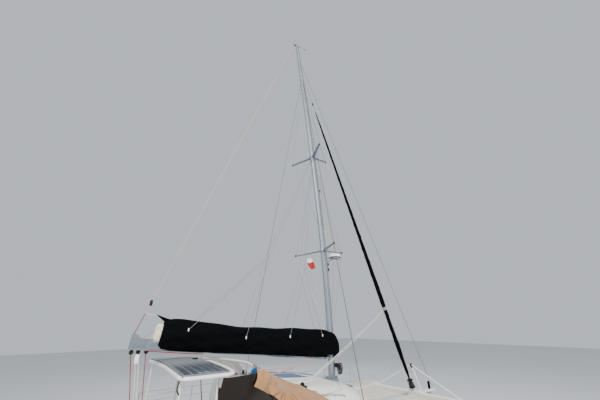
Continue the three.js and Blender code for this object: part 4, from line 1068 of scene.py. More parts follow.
@dataclass
class Underbody:
    """Keel, rudder, saildrive leg and propeller of one hull.

    Attributes:
        side: "port" or "starboard".
        keel_rows: Height, leading edge x, trailing edge x, half thickness.
        rudder_rows: The same for the rudder, measured from its stock.
        drive_rows: The same for the saildrive leg.
    """

    side: str
    keel_rows: Rows = ((-0.42, 1.5, -1.5, 0.12), (-0.7, 1.32, -1.38, 0.095), (-1.05, 1.12, -1.28, 0.078),
            (-1.15, 1.04, -1.24, 0.06))
    rudder_rows: Rows = ((-0.33, 0.19, -0.33, 0.042), (-0.7, 0.17, -0.3, 0.036),
            (-1.02, 0.13, -0.23, 0.027), (-1.06, 0.11, -0.2, 0.018))
    drive_rows: Rows = ((-0.34, 0.15, -0.17, 0.062), (-0.56, 0.11, -0.12, 0.04), (-0.66, 0.11, -0.13, 0.04))
    rudder_x: float = -4.93
    drive: Row = (-3.5, -0.7)

    def __post_init__(self) -> None:
        """Works out the hull's centreline."""
        self.y = SIDES[self.side] * BOAT.hull_y

    def foil(self, rows: Rows, x: float) -> Form:
        """A foil through rows: bulge = 2.6 t (sqrt s - s)(1 - 0.18 s) over the chord's share s."""
        table = np.asarray(rows, float)
        share = 0.5 - 0.5 * np.cos(np.linspace(0, np.pi, 18))
        bulge = 2.6 * (np.sqrt(share) - share) * (1 - 0.18 * share) + 0.03 * (share > 0)
        z = np.linspace(table[0, 0], table[-1, 0], 16)
        lead, trail, half = (np.interp(-z, -table[:, 0], table[:, k])[:, None] for k in (1, 2, 3))
        along = x + lead - (lead - trail) * share
        width = half * bulge
        tall = z[:, None] + 0 * along
        out = columns(along, self.y + width, tall)
        back = columns(along, self.y - width, tall)[:, :0:-1]
        return skin(np.concatenate([out, back], axis=1))

    def propeller(self) -> Form:
        """A hub and three twisted blades: chord an oval along the radius, pitch angle falling outwards."""
        x = self.drive[0] - 0.2203
        hub = lathe([(0, -0.06), (0.02, -0.056), (0.034, -0.02), (0.036, 0.02), (0.036, 0.04), (0, 0.04)],
                    (x, self.y, self.drive[1]), (1, 0, 0), 20)
        radius = np.linspace(0.025, 0.205, 14)[:, None]
        turn = circle(12)[None, :]
        chord = 0.055 * np.sqrt(np.clip(1 - ((radius - 0.115) / 0.1) ** 2, 0.03, 1))
        across, through_it = chord * np.cos(turn), 0.005 * np.sin(turn)
        twist = np.radians(68 - 32 * (radius - 0.025) / 0.18)
        axial = across * np.cos(twist) - through_it * np.sin(twist)
        swing = across * np.sin(twist) + through_it * np.cos(twist)
        blades = []
        for angle in np.radians([90, 210, 330]):
            c, s = math.cos(angle), math.sin(angle)
            blades.append(skin(columns(x + axial, self.y + radius * c - swing * s,
                    self.drive[1] + radius * s + swing * c)))
        return all_of([hub, *blades])

    def build(self) -> None:
        """Makes the four pieces."""
        bulb = lathe([(0, -0.18), (0.033, -0.17), (0.048, -0.11), (0.057, 0), (0.05, 0.1), (0.036, 0.155),
                (0, 0.19)], (self.drive[0], self.y, self.drive[1]), (1, 0, 0), 24)
        keel = self.foil(self.keel_rows, 0.0)
        put(keel, f"mini_keel_{self.side}", ANTIFOUL, replaces=(f"keel_{self.side}",))
        stock = lathe([(0, -0.36), (0.03, -0.36), (0.03, 0.15), (0, 0.156)], (self.rudder_x, self.y, 0),
                sides=20)
        put(self.foil(self.rudder_rows, self.rudder_x) + stock, f"rudder_blade_{self.side}",
            ANTIFOUL, f"rudder_{self.side}", replaces=(f"rudder_{self.side}",))
        put(self.foil(self.drive_rows, self.drive[0]) + bulb, f"saildrive_leg_{self.side}",
            PAINTED_ALLOY, replaces=(f"saildrive_{self.side}",))
        put(self.propeller(), f"three_blade_propeller_{self.side}",
            BRONZE, f"propeller_{self.side}", replaces=(f"propeller_{self.side}",))


@dataclass
class BridgeDeck:
    """The deck between the hulls: non-skid panels, and lids and hatches on their hinges.

    Attributes:
        panels: Corner pairs x0, y0, x1, y1 and the height of each non-skid panel.
        locker: Centre x, centre y, half length and half width of a locker lid.
        hatch: Centre x and half side of a hull's deck hatch.
    """

    panels: Rows = ((1.98, -0.2, 2.98, 0.2, 1.5), (1.98, 1.06, 2.98, 1.53, 1.5),
            (1.98, -1.53, 2.98, -1.06, 1.5), (-3.4, -0.72, -2.56, 0.34, 0.95),
            (-3.66, -0.72, -3.44, 0.9, 0.95), (-3.38, -1.5, -2.84, -0.78, 0.95))
    locker: Row = (2.45, 0.64, 0.33, 0.38)
    hatch: Row = (3.65, 0.26)

    def build(self) -> None:
        """Makes the panels, lids and hatches."""
        dress_node("bridge_deck", GELCOAT)
        plates = [inlay(flat_at(z), box(*corners, 0.05), 0.004, 0.008, 0.004, 4)
                  for *corners, z in self.panels]
        put(plates, "foredeck_nonskid", NONSKID)
        for side, sign in SIDES.items():
            x, y, half_x, half_y = self.locker
            self.lid(f"locker_lid_{side}", (x, sign * y), (half_x, half_y), NONSKID, "nonskid_gelcoat")
            x, half = self.hatch
            self.lid(f"deck_hatch_{side}", (x, sign * BOAT.hull_y), (half, half), TINTED, "tinted_acrylic")
            self.catches(side)

    @staticmethod
    def lid(node: str, centre: Row, half: Row, top: Finish, slot: str) -> None:
        """A lid: a rounded tray under a rounded top, and two hinge barrels at its forward edge."""
        body = node.replace("locker_lid", "locker").replace("deck_hatch", "hatch")
        middle = np.array(centre)
        tray = superellipse(half[0] - 0.006, half[1] - 0.006, 12, 48) + middle
        rim = inlay(flat_at(BOAT.deck), tray, 0.004, 0.034, 0.004, 4)
        flange = inlay(flat_at(1.504), superellipse(half[0] + 0.028, half[1] + 0.028, 12, 48) + middle,
                       0.012, 0.012, 0.006, 4)
        pins = [tube([(centre[0] + half[0] + 0.043, centre[1] + a, 1.513),
                      (centre[0] + half[0] + 0.043, centre[1] + b, 1.513)], 0.0125, 16)
                for a, b in ((-0.55 * half[1], -0.35 * half[1]), (0.35 * half[1], 0.55 * half[1]))]
        frame_finish = GELCOAT if top is NONSKID else PAINTED_ALLOY
        put([rim, flange, *pins], f"{body}_frame", frame_finish, body,
            replaces=(node,))
        pad = inlay(flat_at(1.516), superellipse(half[0] - 0.01, half[1] - 0.01, 12, 48) + middle,
                    0.008, 0.008, 0.005, 5)
        put(pad, f"{body}_top", top, body)

    def catches(self, side: str) -> None:
        """A flush ring catch at the aft edge of each lid."""
        sign = SIDES[side]
        for body, x, y in ((f"locker_{side}", self.locker[0] - 0.3, sign * self.locker[1]),
                           (f"hatch_{side}", self.hatch[0] - 0.225, sign * BOAT.hull_y)):
            ring = lathe([(0.014, 0.0), (0.024, 0.0), (0.024, 0.004), (0.014, 0.004), (0.014, 0.0)],
                    (x, y, 1.524))
            put(ring, f"{body}_catch", STAINLESS, body)


@dataclass
class Coachroof:
    """The saloon's roof and sides, with its windows, raised panel, rails, hatches and lines.

    The arch at x is y = half |cos a|^(2 / power), z = 1.5 + high (sin a)^(2 shoulder).

    Attributes:
        stations: Rows of x, half width at the deck, height over the deck.
        wall: The shell's thickness.
        power: How square the arch's shoulders are.
        shoulder: How late its sides lean in.
        brow_span: Between which x the front slopes down.
        halvings: Steps that find the front's x.
        side_window: Outline in x and z.
        front_window: Outline in y and z.
    """

    stations: Rows = ((-2.45, 2.05, 1.15), (-1.2, 2.05, 1.10), (-0.3, 1.93, 1.03), (0.3, 1.76, 0.94),
            (0.55, 1.66, 0.87), (0.7, 1.56, 0.81), (0.83, 1.46, 0.76), (1.0, 1.3, 0.67), (1.2, 1.06, 0.52),
            (1.38, 0.78, 0.34), (1.5, 0.5, 0.18), (1.57, 0.25, 0.08))
    wall: float = 0.04
    power: float = 4.0
    shoulder: float = 0.31
    brow_span: Row = (0.4, 1.57)
    halvings: int = 26
    side_window: Rows = (
        (-2.25, 1.76), (-2.25, 2.13), (-1.1, 2.13), (-0.2, 2.05), (0.33, 1.88), (0.33, 1.76))
    front_window: Rows = ((-1.15, 1.68), (-1.06, 1.9), (-0.7, 1.96), (0.7, 1.96), (1.06, 1.9), (1.15, 1.68))

    def half(self, x: Array, inside: float = 0.0) -> Array:
        """Half width at the deck."""
        return through(self.stations, x, 1) - inside

    def high(self, x: Array, inside: float = 0.0) -> Array:
        """Height over the deck."""
        return np.maximum(through(self.stations, x, 2) - inside, 0.02)

    def top(self, x: Array, y: Array) -> Array:
        """The roof over x and y: z = 1.5 + high (1 - (|y| / half)^power)^shoulder."""
        share = np.clip(np.abs(y) / self.half(x), 0, 0.9999)
        return columns(x, y, BOAT.deck + self.high(x) * (1 - share ** self.power) ** self.shoulder)

    def flank(self, sign: float) -> Surface:
        """The side over x and z: y = half (1 - ((z - 1.5) / high)^(1 / shoulder))^(1 / power)."""
        def place(x: Array, z: Array) -> Array:
            share = np.clip((z - BOAT.deck) / self.high(x), 0, 0.99999)
            return columns(
                x, sign * self.half(x) * (1 - share ** (1 / self.shoulder)) ** (1 / self.power), z)
        return place

    def brow(self, y: Array, z: Array) -> Array:
        """The sloping front over y and z: x is found by halving where the roof's height is z."""
        low, high = (np.full(np.shape(y), x) for x in self.brow_span)
        for _ in range(self.halvings):
            middle = (low + high) / 2
            above = self.top(middle, y)[..., 2] > z
            low, high = np.where(above, middle, low), np.where(above, high, middle)
        return columns(low, y, z)

    def shell(self, inside: float = 0.0) -> Form:
        """Arches from aft to fore, each closed along the deck; inside is how far all of it is taken in."""
        x = np.concatenate([np.linspace(-2.45, 0.3, 34), np.linspace(0.3, 1.57 - inside, 44)[1:]])
        if inside:
            x = np.concatenate([[-2.6], x])
        angle = np.linspace(0, np.pi, 61)
        c, s = np.cos(angle), np.sin(angle)
        half, high = self.half(x, inside)[:, None], self.high(x, inside)[:, None]
        y = half * np.sign(c) * np.abs(c) ** (2 / self.power)
        z = BOAT.deck + high * np.clip(s, 0, 1) ** (2 * self.shoulder)
        if inside:
            z[:, 0] = z[:, -1] = BOAT.deck - 0.1
        return skin(columns(x[:, None] + 0 * y, y, z))

    def build(self) -> None:
        """Makes the roof and all that is on it."""
        side = rounded(self.side_window, 0.09)
        front = rounded(self.front_window, 0.09)
        tools = [self.shell(self.wall), prism(side, 1.5, 2.3), prism(side, -2.3, -1.5),
                prism(front, 0.6, 2.1, axis=0)]
        carve(self.shell(), tools, "saloon_roof", GELCOAT, ("coachroof",), 35)
        for name, surface, outline, facing in (("port", self.flank(1.0), side, -1.0),
                ("starboard", self.flank(-1.0), side, 1.0), ("front", self.brow, front, 1.0)):
            pane = inlay(surface, outline, facing * -0.008, facing * 0.012, 0.004, 9)
            put(pane, f"saloon_pane_{name}", TINTED, replaces=(f"saloon_window_{name}",))
            centre = outline.mean(axis=0)
            rim = surface(*(centre + (outline - centre) * 1.004).T)
            put(loop(rim, 0.009), f"saloon_pane_seal_{name}", GREY_LINE)
        self.raised_panels()
        self.rails()
        self.roof_shadow_band()
        self.roof_hatches()
        self.clutches()

    def raised_panels(self) -> None:
        """Two non-slip panels moulded 10 mm proud, each with a grey line round its foot, painted as the
        shade under the panel's edge.
        """
        corners = ((-1.24, 1.43), (-0.96, 1.31), (-0.6, 1.15), (-0.15, 0.91), (0.07, 0.87), (0.07, 1.05),
                   (0.03, 1.2), (-0.1, 1.5), (-0.64, 1.66), (-1.02, 1.7))
        for number, sign in enumerate((-1, 1)):
            outline = rounded([(x, sign * y) for x, y in corners], 0.05)
            put(inlay(self.top, outline, 0.010, 0.022, 0.008, 10), f"roof_panel_{number}", GELCOAT)
            hub = outline.mean(axis=0)
            line = self.top(*(hub + (outline - hub) * 1.008).T) + [0, 0, 0.001]
            put(loop(line, 0.007), f"roof_panel_painted_shade_line_{number}", GREY_LINE)

    def roof_shadow_band(self) -> None:
        """A blue plate bonded flush in a white rim over the saloon: a painted shadow, the blue band that the
        sail cover casts across the white roof.
        """
        outline = box(-1.35, -0.5, -0.36, 0.5, 0.12)
        put(inlay(self.top, outline, 0.008, 0.016, 0.005, 10), "roof_shadow_band", PAINTED_SHADOW_AND_SKY_BLUE)
        rim = self.top(*outline.T) + [0, 0, 0.004]
        put(loop(rim, 0.011), "roof_shadow_band_rim", GELCOAT)

    def rails(self) -> None:
        """Two stainless grab rails along the roof's shoulders, each on four feet."""
        made = []
        for sign in SIDES.values():
            x = np.linspace(-2.0, -0.2, 11)
            foot = self.top(x, sign * (1.78 - 0.02 * (x + 2) ** 2))
            rail = foot + [0, 0, 0.05]
            made.append(tube(np.vstack([foot[:1], rail, foot[-1:]]), 0.0125, 10))
            made += [tube([foot[k], rail[k]], 0.011, 10) for k in (4, 8)]
        put(made, "roof_grab_rails", STAINLESS)

    def roof_hatches(self) -> None:
        """Two flush opening hatches in front of the mast's panel: frame and lens."""
        for number, y in enumerate((-0.55, 0.55)):
            for part, half_x, half_y, proud, edge, finish, slot in (("frame", 0.17, 0.23, 0.016, 0.006,
                    PAINTED_ALLOY, "anodised_alloy"), ("lens", 0.14, 0.2, 0.021, 0.005, TINTED,
                    "tinted_acrylic")):
                outline = superellipse(half_x, half_y, 10, 40) + [0.28, y]
                put(inlay(self.top, outline, proud, 0.02, edge, 6), f"roof_hatch_{part}_{number}", finish)

    def clutches(self) -> None:
        """Rope clutches, organisers and a turning block on the roof, with halyard tails led to them."""
        blocks, tails = [], []
        for y in (-0.98, -0.9, -0.82, 0.82, 0.9, 0.98):
            spot = self.top(np.array(-2.2), np.array(y))
            blocks.append(slab(spot + [-0.09, -0.03, -0.01], spot + [0.09, 0.03, 0.05], 0.01))
            run = [self.top(np.array(x), np.array(y * lead)) + [0, 0, 0.012]
                   for x, lead in ((-2.15, 1.0), (-1.2, 0.98), (-0.5, 0.75), (0.1, 0.45), (0.62, 0.25))]
            tails.append(tube(run, THIN_LINE, 6, 6))
        for sign in SIDES.values():
            spot = self.top(np.array(-1.36), np.array(sign * 1.4))
            blocks.append(slab(spot + [-0.16, -0.035, -0.02], spot + [0.16, 0.035, 0.03], 0.01))
            blocks.append(lathe(spool(0.05, 0.06, 0.03, 0.03), spot + [0.03, 0, 0.06], (0, 1, 0), 18))
        put(blocks, "roof_clutches", BLACK_PLASTIC)
        put(tails[:3], "halyard_tails_white", WHITE_ROPE)
        put(tails[3:], "halyard_tails_grey", GREY_ROPE)


@dataclass
class Saloon:
    """Bulkhead, sliding door, settee and table.

    Attributes:
        door_half: Half the door's width.
        door_top: Height of its head.
    """

    door_half: float = 0.39
    door_foot: float = 0.99
    door_top: float = 2.45

    def build(self) -> None:
        """Makes the door's frame and pane, the cushions and the table."""
        dress_node("saloon_bulkhead", GELCOAT)
        self.door()
        self.settee()
        self.table()

    def door(self) -> None:
        """A sliding door: an alloy frame round a tinted pane, with a pull."""
        outer = superellipse(self.door_half, (self.door_top - self.door_foot) / 2, 16, 48)
        middle = (self.door_top + self.door_foot) / 2
        upright: Surface = lambda u, v: columns(-2.51, u, middle + v)
        hole = outer * [0.86, 0.93]
        loop = np.stack([columns(depth, line[:, 0], middle + line[:, 1]) for line, depth in (
            (outer, -2.524), (outer, -2.4965), (hole, -2.4965), (hole, -2.524), (outer, -2.524))])
        put(skin(loop, caps=False), "door_frame", PAINTED_ALLOY, "door",
            replaces=("saloon_door",))
        put(inlay(upright, outer * [0.87, 0.935], 0.004, 0.008, 0.002, 3), "door_pane", TINTED, "door")
        pull = tube([(-2.523, -0.36, 1.6), (-2.527, -0.36, 1.62), (-2.527, -0.36, 1.86),
                (-2.523, -0.36, 1.88)], 0.004, 8)
        put(pull, "door_pull", STAINLESS, "door")

    def settee(self) -> None:
        """L-shaped base with two padded seat cushions."""
        dress_node("saloon_settee", GELCOAT)
        for number, (low, high) in enumerate((((-0.28, 1.02, 1.18), (0.67, 1.48, 1.28)),
                ((0.21, 0.22, 1.18), (0.67, 1.0, 1.28)))):
            Pad(f"settee_cushion_{number}", low, high).build()

    def table(self) -> None:
        """A teak top with rounded corners on a turned pedestal."""
        put(slab((-0.29, 0.26, 1.4), (0.17, 0.9, 1.43), 0.01), "table_top", TEAK, replaces=("saloon_table",))
        leg = lathe([(0, 0.7), (0.14, 0.7), (0.14, 0.715), (0.05, 0.735), (0.04, 0.8), (0.04, 1.36),
                (0.09, 1.395), (0, 1.395)], (-0.06, 0.6, 0))
        put(leg, "table_pedestal", STAINLESS)


@dataclass
class Pad:
    """A loose cushion: a box swollen by cloth simulation, flat where it rests, with piping round its top.

    Attributes:
        name: The piece's name.
        low: Its corner of least x, y and z.
        high: Its opposite corner.
        inset: How much smaller than the box it is before it swells.
        voxel: Edge of the remeshed faces.
        cap: The farthest that a point may move.
        pressure: The pressure inside the cloth.
        frames: How long it swells.
    """

    name: str
    low: Row
    high: Row
    inset: float = 0.006
    voxel: float = 0.012
    cap: float = 0.014
    pressure: ClassVar[float] = 4.0
    frames: ClassVar[int] = 20

    @staticmethod
    def points(mesh: Mesh) -> Array:
        """The mesh's vertices as rows."""
        flat = np.empty(len(mesh.vertices) * 3, np.float32)
        mesh.vertices.foreach_get("co", flat)
        return flat.reshape(-1, 3)

    @classmethod
    def swell(cls, piece: Piece, voxel: float, cap: float, floor: float = -9.0) -> None:
        """Remeshes the piece, blows it up as cloth and keeps each point within the cap.

        Args:
            piece: The closed piece, changed in place.
            voxel: Edge of the remeshed faces.
            cap: The farthest that a point may move.
            floor: The height that no point goes below.
        """
        remesh = piece.modifiers.new("voxels", "REMESH")
        remesh.mode, remesh.voxel_size = "VOXEL", voxel
        piece.data = applied(piece)
        piece.modifiers.clear()
        before = cls.points(piece.data)
        cloth = piece.modifiers.new("swelling", "CLOTH")
        cloth.settings.use_pressure = True
        cloth.settings.uniform_pressure_force = cls.pressure
        cloth.settings.effector_weights.gravity = 0.0
        cloth.point_cache.frame_start, cloth.point_cache.frame_end = 1, cls.frames
        for frame in range(1, cls.frames + 1):
            bpy.context.scene.frame_set(frame)
        step = cls.points(applied(piece)) - before
        piece.modifiers.clear()
        length = np.maximum(np.linalg.norm(step, axis=1, keepdims=True), 1e-9)
        after = before + step * np.minimum(1, cap / length)
        after[:, 2] = np.maximum(after[:, 2], floor)
        piece.data.vertices.foreach_set("co", after.astype(np.float32).ravel())
        piece.data.update()
        piece.data.shade_smooth()
        rounder = piece.modifiers.new("rounder", "SUBSURF")
        rounder.levels = rounder.render_levels = 1
        piece.data = applied(piece)
        piece.modifiers.clear()
        bpy.context.scene.frame_set(1)

    def build(self) -> None:
        """Makes the cushion, then its piping along the swollen edge."""
        low, high = np.array(self.low), np.array(self.high)
        shrink = np.array((self.inset, self.inset, 0.0))
        piece = put(slab(low + shrink, high - shrink - [0, 0, self.inset], 0.02), self.name, CUSHION)
        self.swell(piece, self.voxel, self.cap, self.low[2])
        hull = self.points(piece.data)
        middle, half = (low + high) / 2, (high - low) / 2
        line = []
        for x, y in Hardtop.dense(box(-half[0], -half[1], half[0], half[1], 0.05), 0.04):
            aim = np.array((middle[0] + x, middle[1] + y, high[2] - 0.012))
            line.append(hull[np.argmin(np.linalg.norm(hull - aim, axis=1))])
        put(loop(line, 0.004), f"{self.name}_piping", CUSHION)


@dataclass
class Cockpit:
    """Benches with cushions, helm station, wheel, winches and traveller."""

    wheel_centre: Row = (-2.86, -1.15, 1.78)
    wheel_radius: float = 0.33

    def build(self) -> None:
        """Makes each in turn."""
        dress_node("cockpit_bench", GELCOAT)
        self.cushions()
        self.console()
        self.wheel()
        self.winches()
        self.traveller()

    def cushions(self) -> None:
        """Bench cushions in separate lengths, and the helm seat's pad and back."""
        boxes = (("bench_cushion_port_fore", (-3.58, 0.97, 1.36), (-2.92, 1.52, 1.44)),
                 ("bench_cushion_port_mid", (-4.26, 0.97, 1.36), (-3.6, 1.52, 1.44)),
                 ("bench_cushion_aft_port", (-4.27, 0.14, 1.36), (-3.77, 0.95, 1.44)),
                 ("bench_cushion_aft_starboard", (-4.27, -0.68, 1.36), (-3.77, 0.12, 1.44)),
                 ("helm_seat_pad", (-3.84, -1.52, 1.5), (-3.44, -0.78, 1.575)))
        for name, low, high in boxes:
            Pad(name, low, high).build()
        dress_node("helm_seat", GELCOAT)
        back: Surface = lambda u, v: columns(-3.838, u, v)
        outline = superellipse(0.35, 0.15, 6, 40) + [-1.15, 1.74]
        pad = put(inlay(back, outline, 0.05, 0.05, 0.03, 6), "helm_back_pad", CUSHION)
        Pad.swell(pad, 0.012, 0.008)

    def console(self) -> None:
        """Helm console: rounded pod, blank dials, a compass and engine levers."""
        pod = slab((-2.789, -1.54, 0.952), (-2.493, -0.76, 1.98), 0.03)
        put(pod, "helm_pod", GELCOAT, replaces=("helm_console",))
        faces, rims = [], []
        for y, r in ((-1.38, 0.055), (-1.24, 0.055), (-1.08, 0.055), (-0.92, 0.05)):
            rims.append(lathe([(0, 0), (r, 0), (r, 0.008), (r - 0.006, 0.01), (r - 0.008, 0.005),
                    (0, 0.005)], (-2.62, y, 1.979), (0, 0, 1), 28))
            faces.append(lathe(rod(r - 0.009, 0.005, 0.0065), (-2.62, y, 1.979), (0, 0, 1), 28))
        put(rims, "dial_rims", BLACK_PLASTIC)
        put(faces, "dial_faces", WHITE_PLASTIC)
        bowl = lathe([(0, 0.0), (0.06, 0.0), (0.062, 0.02), (0.05, 0.045), (0.03, 0.06), (0, 0.066)],
                     (-2.73, -1.15, 1.978), sides=28)
        put(bowl, "compass", BLACK_PLASTIC)
        levers = [tube([(-2.68, -0.80 + dy, 1.975), (-2.69, -0.80 + dy, 2.06), (-2.70, -0.80 + dy, 2.09)],
                0.007, 8) for dy in (0.0, 0.025)]
        put(levers, "engine_levers", STAINLESS)

    def wheel(self) -> None:
        """A leather-free steel wheel: rim, five spokes and a hub, on its shaft through the pod."""
        x, y, z = self.wheel_centre
        turn = np.linspace(0, 2 * np.pi, 65)
        ring = columns(x, y + self.wheel_radius * np.cos(turn), z + self.wheel_radius * np.sin(turn))
        across = circle(14)
        spoke_out = columns(0 * turn, np.cos(turn), np.sin(turn))
        rings = ring[:, None] + 0.0155 * (np.cos(across)[None, :, None] * spoke_out[:, None]
                                          + np.sin(across)[None, :, None] * np.array([1.0, 0, 0]))
        rim = skin(rings, caps=False)
        spokes = [tube([(x, y, z), (x, y + 0.325 * math.cos(a), z + 0.325 * math.sin(a))], 0.0075, 10)
                  for a in np.radians([90, 162, 234, 306, 18])]
        hub = lathe([(0, -0.022), (0.04, -0.018), (0.045, 0.0), (0.045, 0.03), (0.015, 0.035),
                (0.015, 0.066), (0, 0.066)], (x, y, z), (1, 0, 0), 28)
        put(rim, "wheel_rim", STAINLESS, "helm_wheel", replaces=("steering_wheel",))
        put([hub, *spokes], "wheel_spokes", STAINLESS, "helm_wheel")

    def winches(self) -> None:
        """Two sheet winches with a waisted, ribbed drum and a self-tailing crown."""
        profile = [(0, 0), (0.072, 0), (0.072, 0.008), (0.05, 0.022), (0.043, 0.05), (0.043, 0.08),
                (0.052, 0.104), (0.066, 0.109), (0.066, 0.116), (0.052, 0.12), (0.066, 0.125),
                (0.066, 0.132), (0.045, 0.14), (0.02, 0.146), (0, 0.146)]
        for side, sign in SIDES.items():
            put(lathe(profile, (-3.72, sign * 1.95, BOAT.deck), sides=36), f"sheet_winch_{side}",
                STAINLESS, replaces=(f"winch_{side}",))

    def traveller(self) -> None:
        """A T-shaped track on the bridge behind the cockpit, with a car and end stops."""
        track = prism([(-4.665, 1.5), (-4.615, 1.5), (-4.615, 1.508), (-4.632, 1.51), (-4.632, 1.522),
                (-4.622, 1.526), (-4.622, 1.532), (-4.658, 1.532), (-4.658, 1.526), (-4.648, 1.522),
                (-4.648, 1.51), (-4.665, 1.508)], -0.82, 0.82)
        car = slab((-4.68, -0.075, 1.512), (-4.6, 0.075, 1.56), 0.01)
        stops = [slab((-4.675, y - 0.03, 1.502), (-4.605, y + 0.03, 1.55), 0.01) for y in (-0.82, 0.82)]
        put(track, "traveller_track", BLACK_PLASTIC, replaces=("traveller",))
        put([car, *stops], "traveller_car", ANODISED)


@dataclass
class Hardtop:
    """The cockpit's roof on four posts, with three solar panels, brackets and a junction box.

    Attributes:
        corners: Aft x, fore x and half width.
        crown: Height of the top at the middle, and how far it falls to the sides.
        bow: How far the fore edge falls back from the middle to the sides.
        panels: Starboard edge and port edge of each solar panel.
        panel_x: Aft and fore edge of the panels.
        posts: x and y of each port post's foot and head.
        post_top: Height of the posts' heads.
        rail_z: Height of the rail between them.
    """

    corners: Row = (-4.45, -3.25, 1.9)
    crown: Row = (3.14, 0.06)
    bow: float = 0.05
    thick: float = 0.06
    panels: Rows = ((-1.84, -0.3), (-0.2, 0.72), (0.82, 1.74))
    panel_x: Row = (-4.4, -3.46)
    posts: Rows = ((-4.35, 1.72, -4.35, 1.6), (-3.6, 1.72, -3.62, 1.6))
    post_top: float = 3.035
    rail_z: float = 2.27

    def top(self, x: Array, y: Array) -> Array:
        """The cambered top: z falls with the square of the share of the half width."""
        return columns(x, y, self.crown[0] - self.crown[1] * (y / self.corners[2]) ** 2)

    def build(self) -> None:
        """Makes the roof, posts and panels."""
        outline = self.plan(0.0)
        roof = inlay(self.top, self.dense(outline), 0.0, self.thick, 0.03, 10)
        put(roof, "hardtop_moulding", GELCOAT, replaces=("hardtop",))
        gutter = self.top(*self.dense(self.plan(0.025)).T) + [0, 0, 0.004]
        put(loop(gutter, 0.008), "hardtop_drip_rail", WHITE_PLASTIC)
        self.solar()
        self.struts()
        self.fittings()

    def plan(self, inside: float) -> Array:
        """The plan outline, taken in all round: rounded corners, and a fore edge that bows forward."""
        aft, fore, half = self.corners
        edge = self.dense(box(aft + inside, inside - half, fore - inside, half - inside, 0.26 - inside, 9))
        front = np.clip((edge[:, 0] - aft) / (fore - aft), 0, 1)
        return edge - columns(self.bow * front * (edge[:, 1] / half) ** 2, 0 * front)

    @staticmethod
    def dense(outline: Array, step: float = 0.06) -> Array:
        """An outline with points added until none are further apart than step."""
        ends = np.roll(outline, -1, axis=0)
        parts = []
        for a, b in zip(outline, ends):
            count = max(1, int(np.ceil(np.linalg.norm(b - a) / step)))
            parts.append(a + (b - a) * np.linspace(0, 1, count, endpoint=False)[:, None])
        return np.vstack(parts)

    def solar(self) -> None:
        """Each panel: cells under glass in a thin alloy frame, 30 mm over the roof."""
        aft, fore = self.panel_x
        for number, (low, high) in enumerate(self.panels):
            edge = self.dense(np.array([(aft, low), (fore, low), (fore, high), (aft, high)]), 0.1)
            hub = edge.mean(axis=0)
            replaces = ("solar_panels",) if number == 0 else ()
            rim = inlay(self.top, edge, 0.036, 0.03, 0.006, 5)
            put(rim, f"solar_frame_{number}", PAINTED_ALLOY, replaces=replaces)
            glass_line = hub + (edge - hub) * [0.97, 1 - 0.034 / (high - low)]
            put(inlay(self.top, glass_line, 0.0385, 0.004, 0.001, 6), f"solar_cells_{number}", CELLS)

    def struts(self) -> None:
        """Four posts with flanged feet, and a rail round the cockpit between them."""
        for side, sign in SIDES.items():
            made = []
            for foot_x, foot_y, top_x, top_y in self.posts:
                foot = np.array([foot_x, sign * foot_y, BOAT.deck])
                head = np.array([top_x, sign * top_y, self.post_top])
                made.append(tube([foot, between(foot, head, 0.5), head], 0.022, 14))
                made.append(lathe([(0, 0), (0.045, 0), (0.045, 0.006), (0.026, 0.012), (0.026, 0.05),
                        (0, 0.05)], foot))
            share = (self.rail_z - BOAT.deck) / (self.post_top - BOAT.deck)
            rail = [between((a, sign * b, BOAT.deck), (c, sign * d, self.post_top), share)
                    for a, b, c, d in self.posts]
            made.append(tube(rail, 0.0125, 10))
            put(made, f"hardtop_post_set_{side}",
                PALE_ALLOY, replaces=(f"hardtop_posts_{side}",))

    def fittings(self) -> None:
        """A black junction box on the far panel, a bracket under the near aft corner and four lamps."""
        junction = slab((-3.62, 0.28, 3.165), (-3.5, 0.42, 3.2), 0.008)
        bracket = tube([(-4.38, -1.62, 3.03), (-4.41, -1.7, 2.98), (-4.43, -1.74, 2.88),
                (-4.38, -1.72, 2.8)], 0.014, 8, 5)
        lamps = [lathe([(0, 0.0), (0.04, 0.0), (0.036, -0.018), (0, -0.02)], (x, y, self.post_top), sides=18)
                 for x in (-4.1, -3.5) for y in (-0.8, 0.8)]
        put([junction, bracket], "solar_junction_box", BLACK_PLASTIC)
        put(lamps, "cockpit_lamps", WHITE_PLASTIC)


